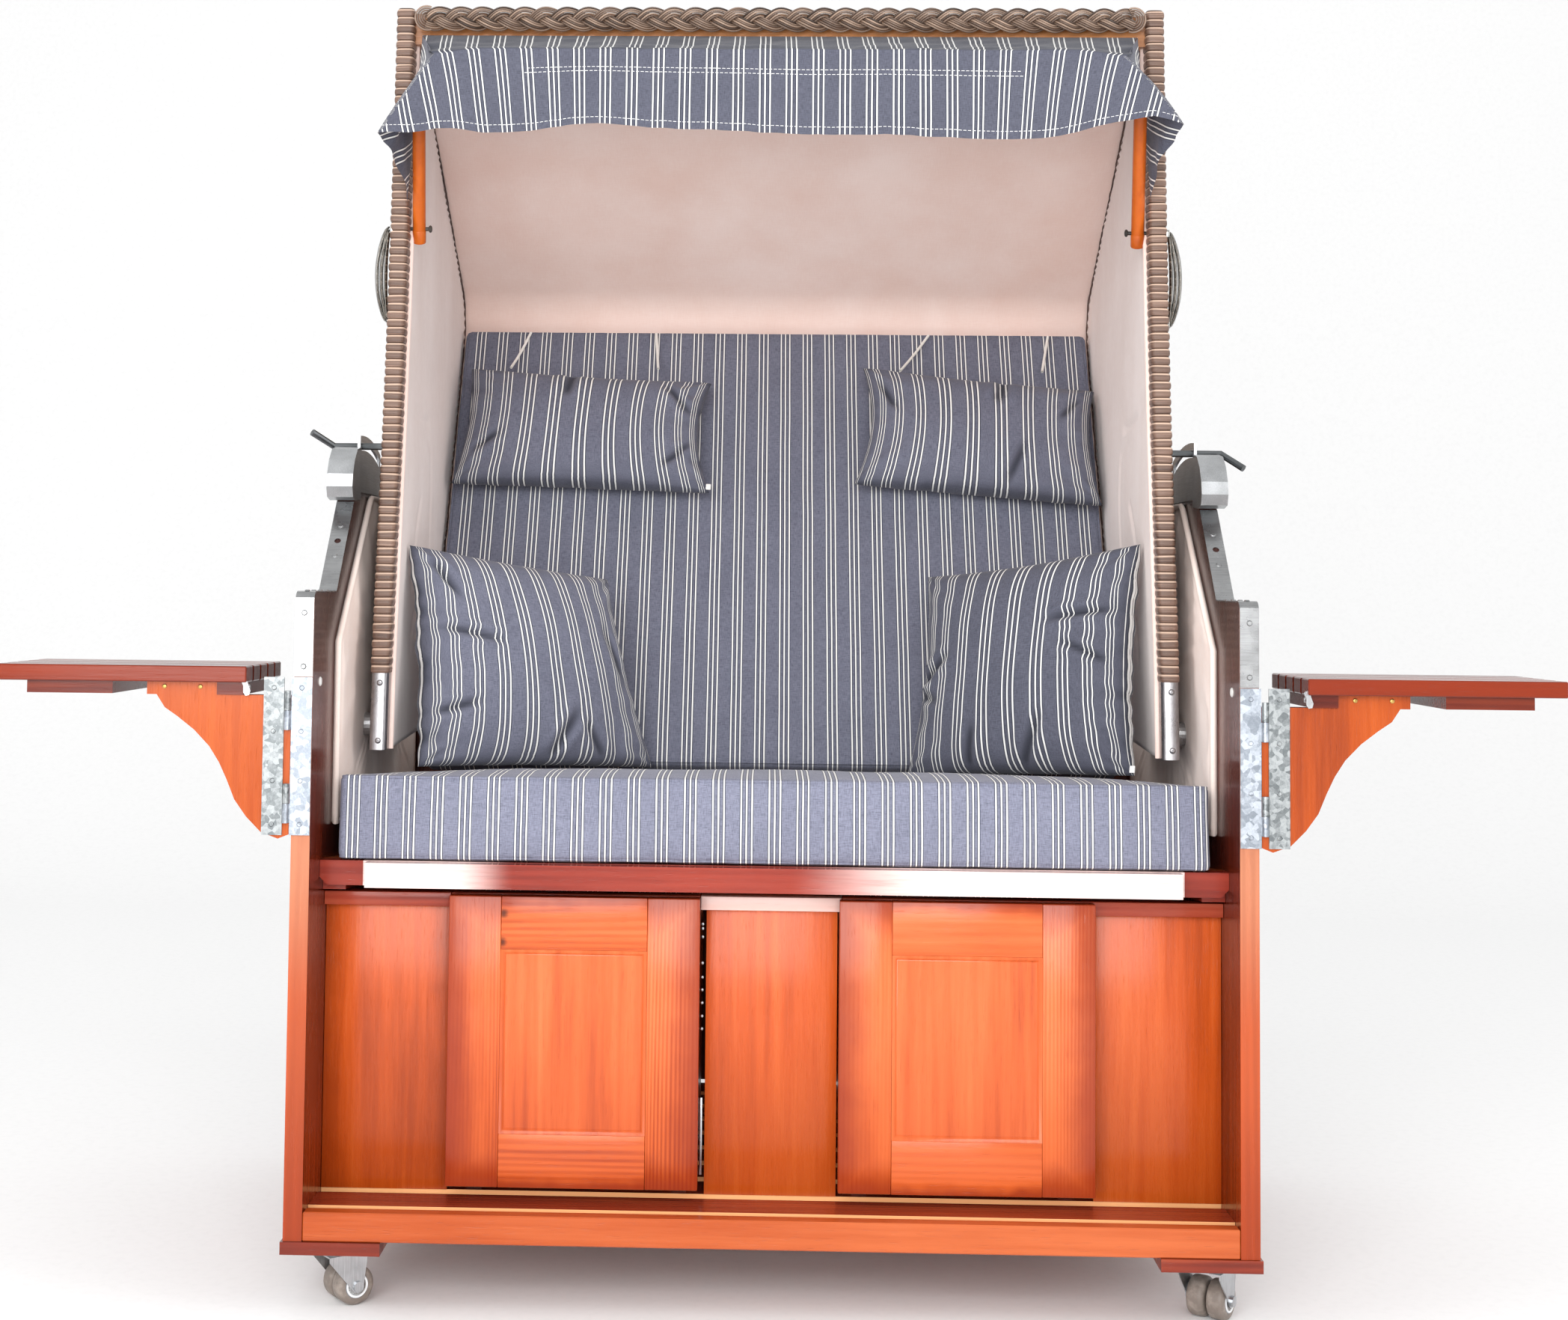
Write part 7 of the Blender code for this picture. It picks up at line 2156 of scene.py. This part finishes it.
@dataclass
class Footrest:
    """A footrest drawer: framed front, box and padded top."""

    side: Side
    near_x: float = 0.0885
    far_x: float = 0.4175
    low_z: float = 0.1425
    high_z: float = 0.5140
    front_y: float = 0.0750
    depth: float = 0.0220
    stile: float = 0.068
    sunk: float = 0.0035
    rounding: float = 0.0016
    knots: tuple[tuple[float, float], ...] = ()

    def front(self) -> None:
        """Joins two upright stiles, two rails and a sunk panel with a bevelled rim."""
        x0, x1 = sorted((self.side.value * self.near_x, self.side.value * self.far_x))
        y0, y1 = self.front_y, self.front_y + self.depth
        z0, z1 = self.low_z, self.high_z
        gap = 0.00015
        upright, level, panel = Shape(), Shape(), Shape()
        for low, high in ((x0, x0 + self.stile), (x1 - self.stile, x1)):
            upright.block(place(low, y0, z0), place(high, y1, z1), self.rounding)
        for low, high in ((z0, z0 + self.stile), (z1 - self.stile, z1)):
            level.block(place(x0 + self.stile + gap, y0, low),
                        place(x1 - self.stile - gap, y1, high), self.rounding * 0.6)
        inner = (x0 + self.stile, z0 + self.stile, x1 - self.stile, z1 - self.stile)
        steps = ((0.0, self.sunk + 0.004), (0.0, 0.0002), (0.0035, 0.0012), (0.0052, self.sunk),
                 (0.006, self.sunk + 0.0006), (0.0072, self.sunk))
        rows = []
        for inset, deep in steps:
            a, b = inner[0] + inset, inner[2] - inset
            c, d = inner[1] + inset, inner[3] - inset
            rows.append([place(x, y0 + deep, z) for x, z in ((a, c), (b, c), (b, d), (a, d))])
        panel.grid(rows, around=True)
        a, b, c, d = inner[0] + 0.0072, inner[2] - 0.0072, inner[1] + 0.0072, inner[3] - 0.0072
        cells = [[place(x, y0 + self.sunk, z) for x in np.linspace(a, b, 8)]
                 for z in np.linspace(c, d, 10)]
        panel.grid(cells)
        panel.block(place(inner[0], y0 + self.sunk + 0.0045, inner[1]),
                    place(inner[2], y1, inner[3]), 0.0004)
        rim = (x0, z0, x1, z1)
        tones = (rgb("E97E4A"), rgb("D05F2C"), rgb("8A2C14"))
        low = rgb("C04E0E")
        body = "footrest_" + self.side.label
        node = "footrest_front_" + self.side.label
        pieces = (
            (upright, "stiles", VarnishedWood("stile_wood_" + self.side.label, *tones, Axis.Z,
                                              0.14, 0.0052, 0.55, rim=rim, rim_width=0.055,
                                              low_tone=low)),
            (level, "rails", VarnishedWood("rail_wood_" + self.side.label, *tones, Axis.X,
                                           0.14, 0.0062, 0.35, rim=rim, rim_width=0.02,
                                           low_tone=low, knots=self.knots)),
            (panel, "panel", VarnishedWood("panel_wood_" + self.side.label, *tones, Axis.Z,
                                           0.14, 0.016, 0.12, low_tone=low, low_z=0.10)))
        for shape, word, finish in pieces:
            made = shape.build("footrest_" + word + "_" + self.side.label, finish)
            attach(made, body, node, *((node,) if word == "stiles" else ()))

    def pad(self) -> None:
        """Swells the pad on the drawer's top."""
        label = self.side.label
        BoxCushion("footrest_cushion_" + label, "footrest_pad_" + label, "footrest_" + label,
                   (0.301, 0.398, 0.046), place(self.side.value * 0.253, 0.2988, 0.4405), 0.0,
                   0.0025, 0.006, 0.0008).build()

    def build(self) -> None:
        """Makes the front and the pad and finishes the box."""
        self.front()
        self.pad()
        dress("footrest_box_" + self.side.label, VarnishedWood("box_wood", grain=Axis.Z))


@dataclass
class SideTable:
    """A slatted table on its bracket, with the corner fitting that lets it tip.

    Fields: its side, the height of the ledge under its top, and the places across of the
    ledge's screws and of the wing bolt.
    """

    side: Side
    ledge_z: float = 0.7835
    screws: tuple[float, float] = (0.730, 0.776)
    bolt_x: float = 0.6700

    def build(self) -> None:
        """Finishes the wood and adds the fitting, its wing bolt and the screws."""
        label, sign = self.side.label, self.side.value
        # the top's front face is painted lighter as if lit from the front
        dress("table_top_" + label, VarnishedWood(
            "table_wood", rgb("8E3A20"), rgb("5E1E12"), rgb("340E08"), Axis.X, 0.1,
            face_axis=Axis.Y, face_limit=FRONT_PLANE - 0.0142, lit_face_tone=rgb("8A2C08")))
        dress("table_bracket_" + label, VarnishedWood(
            "bracket_wood", rgb("C45A18"), rgb("A84408"), rgb("782806"), Axis.Z, 0.18, 0.02, 0.2))
        shape = Shape()
        z = self.ledge_z
        for x in self.screws:
            screw_head(shape, place(sign * x, 0.0, z), Vector((0, -1, 0)), 0.0032, 1)
        x = sign * self.bolt_x
        shape.turned(((0, 0.0042), (0.006, 0.0042), (0.007, 0.0032), (0.010, 0.0030)),
                     place(x, 0.004, z), Vector((0, -1, 0)), 16)
        wing = [place(x + dx, -0.006, z + dz)
                for dx, dz in ((-0.003, 0.002), (-0.006, 0.0085), (-0.003, 0.0115),
                               (0.0015, 0.010), (0.003, 0.004), (0.006, -0.004),
                               (0.0045, -0.0095), (0.0, -0.0105), (-0.003, -0.006))]
        shape.outline(wing, Vector((0, -0.0022, 0)))
        attach(shape.build("table_fitting_" + label, STAINLESS, BRASS), "table_" + label,
               "table_bracket_" + label)


@dataclass
class Hardware:
    """Edge trims, strap hinges, bolts, locks and levers, and the plug in the wall's inner face."""

    side: Side
    plug: tuple[float, float, float] = (0.5862, 0.045, 0.79)

    def build(self) -> None:
        """Finishes the metal solids and sets the plug."""
        label, sign = self.side.label, self.side.value
        dress("edge_trim_" + label, Steel("trim_stainless", rgb("ADAEAF"), 0.24, Axis.X))
        dress("wall_hinge_leaf_" + label, Galvanised())
        dress("bracket_hinge_leaf_" + label, Galvanised("galvanised_plate_dull", rgb("A9ADAE"),
                                                        rgb("6F7476"), 170.0))
        dress("pivot_bolt_" + label, STAINLESS)
        dress("recline_lock_" + label, Steel("cast_lock", rgb("C6C8CA"), 0.3, Axis.Y))
        dress("adjuster_lever_" + label, Steel("lever_steel", rgb("6F7274"), 0.3, Axis.X))
        plug = Shape()
        plug.turned(((-0.001, 0.0062), (0.0012, 0.006), (0.0022, 0.0045), (0.0025, 0.0)),
                    place(sign * self.plug[0], *self.plug[1:]), Vector((-sign, 0, 0)), 18)
        attach(plug.build("wall_plug_" + label, Moulded("white_plug", rgb("E9E9E6"),
                                                        rgb("D6D6D2"), 0.4)),
               "base", "side_wall_" + label)


@dataclass
class Castor:
    """A twin-wheel castor: zinc fork, race, axle bolt, hubs and two tyres."""

    corner: str
    middle: tuple[float, float]
    turn: float
    radius: float = 0.025
    width: float = 0.0235
    spacing: float = 0.003
    trail: float = 0.018

    def build(self) -> None:
        """Turns the tyres and hubs and dresses the fork."""
        zinc = Steel("zinc_castor", rgb("CFD2D5"), 0.28, Axis.Z)
        dress("castor_fork_" + self.corner, zinc)
        dress("castor_plate_" + self.corner, zinc)
        angle = math.radians(self.turn)
        ahead = Vector((math.cos(angle), math.sin(angle), 0.0))
        axle = Vector((-math.sin(angle), math.cos(angle), 0.0))
        centre = place(*self.middle, self.radius) + ahead * self.trail
        shape = Shape()
        r, w = self.radius, self.width
        tyre = ((0.0, 0.55 * r), (0.0, 0.80 * r), (0.06 * w, 0.93 * r), (0.16 * w, 0.985 * r),
                (0.3 * w, 0.998 * r), (0.7 * w, 0.998 * r), (0.84 * w, 0.985 * r),
                (0.94 * w, 0.93 * r), (w, 0.80 * r), (w, 0.55 * r))
        hub = ((0.02 * w, 0.64 * r), (-0.01 * w, 0.62 * r), (-0.02 * w, 0.58 * r),
               (0.08 * w, 0.52 * r), (0.1 * w, 0.30 * r), (-0.02 * w, 0.26 * r), (-0.02 * w, 0.0))
        for sign in (-1, 1):
            start = centre + axle * sign * self.spacing / 2
            shape.turned(tyre, start, axle * sign, 48, 0)
            far = start + axle * sign * w
            shape.turned(hub, far, -axle * sign, 32, 1)
            ring = ((0.0, 0.60 * r), (-0.05 * w, 0.59 * r), (-0.05 * w, 0.50 * r),
                    (0.02 * w, 0.48 * r))
            shape.turned(ring, far, -axle * sign, 32, 2)
        node = "castor_wheels_" + self.corner
        grey = Moulded("castor_tread", rgb("776C64"), rgb("968B82"), 0.5)
        side = Moulded("castor_hub", rgb("6B7078"), rgb("8A8F96"), 0.4)
        white = Moulded("castor_ring", rgb("E6E7E8"), rgb("CFD1D3"), 0.35)
        attach(shape.build("castor_tyres_" + self.corner, grey, side, white),
               "wheels_" + self.corner, node, node)


@dataclass
class ElasticCord:
    """A thin white elastic from a neck pillow's seam to the back cushion's top edge."""

    name: str
    foot: Vector
    head: Vector
    sag: Vector
    radius: float = 0.0022

    def build(self) -> None:
        """Draws the cord."""
        curve = bpy.data.curves.new(self.name, "CURVE")
        curve.dimensions, curve.bevel_depth, curve.bevel_resolution = "3D", self.radius, 3
        line = curve.splines.new("POLY")
        shares = np.linspace(0, 1, 24)
        line.points.add(len(shares) - 1)
        for point, share in zip(line.points, shares):
            spot = self.foot.lerp(self.head, share) + self.sag * math.sin(math.pi * share)
            point.co = (*spot, 1.0)
        cord = bpy.data.objects.new(self.name, curve)
        bpy.context.scene.collection.objects.link(cord)
        white = PlainCloth("elastic_braid", rgb("F3F1EC"), rgb("D8D5CE"), 1800.0)
        curve.materials.append(white.material())
        tuple(self.foot)
        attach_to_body(cord, "hood")


SEAT_TILT = 5.0
SEAT_FRONT = (0.0640, 0.5612)
SEAT_SIZE = (1.1246, 0.407, 0.1075)
SEAT_CROWN = 0.014
BACK_LEAN = 28.5
BACK_FOOT = (0.516, 0.665)
CHEEK_HALF = 0.5245


def cushions() -> None:
    """Makes the seat and back cushions."""
    tilt, half = math.radians(-SEAT_TILT), SEAT_SIZE[1] / 2
    middle = place(0.0, SEAT_FRONT[0] + half * math.cos(tilt),
                   SEAT_FRONT[1] + half * math.sin(tilt))
    # tone 1.22 paints light on the seat cushion, which faces the front light
    BoxCushion("striped_seat_cushion", "seat_cushion", "base", SEAT_SIZE, middle, -SEAT_TILT,
               SEAT_CROWN, tone=1.22, back_drop=0.0105).build()
    lean = math.radians(BACK_LEAN)
    foot, length, deep = -0.010, 0.786, 0.045
    along = foot + length / 2
    middle = place(0.0, BACK_FOOT[0] + along * math.sin(lean) + deep * math.cos(lean),
                   BACK_FOOT[1] + along * math.cos(lean) - deep * math.sin(lean))
    # tone 0.86 paints shade on the back cushion
    BoxCushion("striped_back_cushion", "back_cushion", "hood", (1.0395, length, deep - 0.002),
               middle, 90 - BACK_LEAN, 0.004, 0.010, shift=0.0, tone=0.86).build()


def pillows() -> None:
    """Makes the four loose pillows and the neck pillows' elastics."""
    tilt = math.radians(SEAT_TILT)
    half_x, half_y = SEAT_SIZE[0] / 2, SEAT_SIZE[1] / 2

    def on_seat(spots: np.ndarray) -> np.ndarray:
        """Flattens a pillow where it stands on the seat or meets the hood's cheek.

        Args:
            spots: The pillow's points in the chair's frame.

        Returns:
            The same points, kept clear of both.
        """
        back = (spots[:, 1] - FRONT_PLANE - SEAT_FRONT[0]) / math.cos(tilt)
        crown = SEAT_CROWN * (1 - (spots[:, 0] / half_x) ** 4) * (1 - (back / half_y - 1) ** 2)
        floor = SEAT_FRONT[1] + SEAT_SIZE[2] / math.cos(tilt) - back * math.sin(tilt)
        spots[:, 2] = np.maximum(spots[:, 2], floor + crown.clip(0.0) - 0.001)
        spots[:, 0] = np.clip(spots[:, 0], -CHEEK_HALF, CHEEK_HALF)
        return spots

    # tone below 1 paints shade on each pillow: 0.92 and 0.62 on the throw pillows, 0.86 and 0.84
    # on the neck pillows
    Pillow("throw_cushion_left", "throw_pillow_left", "base", 0.120,
           place(-0.349, 0.412, 0.7952), (39.0, 17.0, 4.0),
           ((-0.1905, 0.1730), (0.1473, 0.1491), (0.1940, -0.1400), (-0.2020, -0.1500)),
           (0.006, 0.016, 0.004, 0.010), (0.004, 0.006, 0.005, 0.015),
           (Fold((-0.120, 0.035), -14.0, 0.085, 0.006, 0.0060),
            Fold((-0.150, 0.120), -62.0, 0.060, 0.006, 0.0070),
            Fold((0.020, -0.105), 58.0, 0.075, 0.008, 0.0060),
            Fold((0.075, -0.110), -50.0, 0.060, 0.007, 0.0045),
            Fold((0.120, 0.020), -70.0, 0.080, 0.008, 0.0040),
            Fold((-0.150, -0.070), 12.0, 0.060, 0.006, 0.0050)),
           seed=1.0, tone=0.92, limits=on_seat).build()
    Pillow("throw_cushion_right", "throw_pillow_right", "base", 0.120,
           place(0.349, 0.412, 0.7952), (-39.0, 17.0, -4.0),
           ((-0.1700, 0.1600), (0.1877, 0.1860), (0.2100, -0.1500), (-0.1640, -0.1480)),
           (0.010, 0.012, 0.004, 0.022), (0.004, 0.015, 0.005, 0.009),
           (Fold((-0.120, 0.000), 36.0, 0.075, 0.007, 0.0070),
            Fold((-0.135, -0.035), -20.0, 0.060, 0.006, 0.0060),
            Fold((0.120, 0.075), 10.0, 0.085, 0.006, 0.0070),
            Fold((0.135, 0.020), -22.0, 0.070, 0.006, 0.0050),
            Fold((0.060, -0.110), 66.0, 0.080, 0.008, 0.0050),
            Fold((-0.040, -0.115), 80.0, 0.060, 0.007, 0.0040)),
           seed=3.0, tone=0.62, tag=True, limits=on_seat).build()
    Pillow("neck_cushion_left", "neck_pillow_left", "hood", 0.085,
           place(-0.317, 0.7577, 1.1913), (0.0, 28.5, 3.0),
           ((-0.1860, 0.0820), (0.2105, 0.0780), (0.2220, -0.1300), (-0.1900, -0.1380)),
           (0.010, 0.020, 0.006, 0.012), (0.004, 0.011, 0.004, 0.008),
           (Fold((-0.018, 0.045), 84.0, 0.050, 0.009, 0.0090),
            Fold((0.160, 0.030), -50.0, 0.060, 0.006, 0.0060),
            Fold((0.165, -0.075), 46.0, 0.060, 0.006, 0.0050),
            Fold((-0.140, -0.070), 40.0, 0.050, 0.007, 0.0040)),
           seed=5.0, tone=0.86, fullness=0.36, tag=True, cells=(120, 64)).build()
    Pillow("neck_cushion_right", "neck_pillow_right", "hood", 0.085,
           place(0.317, 0.7577, 1.1913), (0.0, 28.5, 5.0),
           ((-0.1800, 0.0840), (0.1960, 0.0740), (0.2130, -0.1400), (-0.1780, -0.1380)),
           (0.010, 0.014, 0.004, 0.020), (0.004, 0.010, 0.004, 0.009),
           (Fold((0.046, 0.045), 80.0, 0.050, 0.009, 0.0090),
            Fold((-0.135, 0.020), -60.0, 0.060, 0.006, 0.0060),
            Fold((0.075, -0.090), 70.0, 0.070, 0.007, 0.0050),
            Fold((0.155, 0.020), 58.0, 0.050, 0.006, 0.0050)),
           seed=7.0, tone=0.84, fullness=0.36, cells=(120, 64)).build()
    lean = math.radians(BACK_LEAN)
    out = Vector((0.0, -math.cos(lean), math.sin(lean)))
    cushion_y, cushion_z = 0.523, 0.678
    ends = ((-0.4349, -0.4099), (-0.1917, -0.1986), (0.2065, 0.2568), (0.4385, 0.4558))
    for k, across in enumerate(ends):
        foot, head = (place(x, cushion_y + (z - cushion_z) * math.tan(lean), z) + out * off
                      for x, z, off in zip(across, (1.262, 1.340), (0.030, 0.0045)))
        ElasticCord(f"neck_elastic_{k + 1}", foot, head, out * -0.004).build()


def main() -> None:
    """Builds the studio and every piece of the chair, in order."""
    logging.basicConfig(level=logging.INFO, format="%(message)s", stream=sys.stdout)
    Studio().build()
    BaseBox().build()
    for side in Side:
        Hardware(side).build()
        SideTable(side).build()
    Footrest(Side.LEFT, near_x=0.0920, knots=((-0.3466, 0.4924), (-0.3479, 0.4555))).build()
    Footrest(Side.RIGHT).build()
    for corner, middle, turn in (("front_left", (-0.552, 0.052), 37.0),
                                 ("front_right", (0.552, 0.052), 57.0),
                                 ("rear_left", (-0.552, 0.748), 70.0),
                                 ("rear_right", (0.552, 0.748), 110.0)):
        Castor(corner, middle, turn).build()
    HoodShell().build()
    HoodLining().build()
    for side in Side:
        WrappedRail(side).build()
        GrabBow(side).build()
    TopBraid().build()
    dress("hood_header", VarnishedWood("header_wood", rgb("C98A58"), rgb("A0683C"),
                                       rgb("7A4826"), Axis.X))
    AwningBow().build()
    Awning().build()
    cushions()
    pillows()


if __name__ == "__main__":
    main()
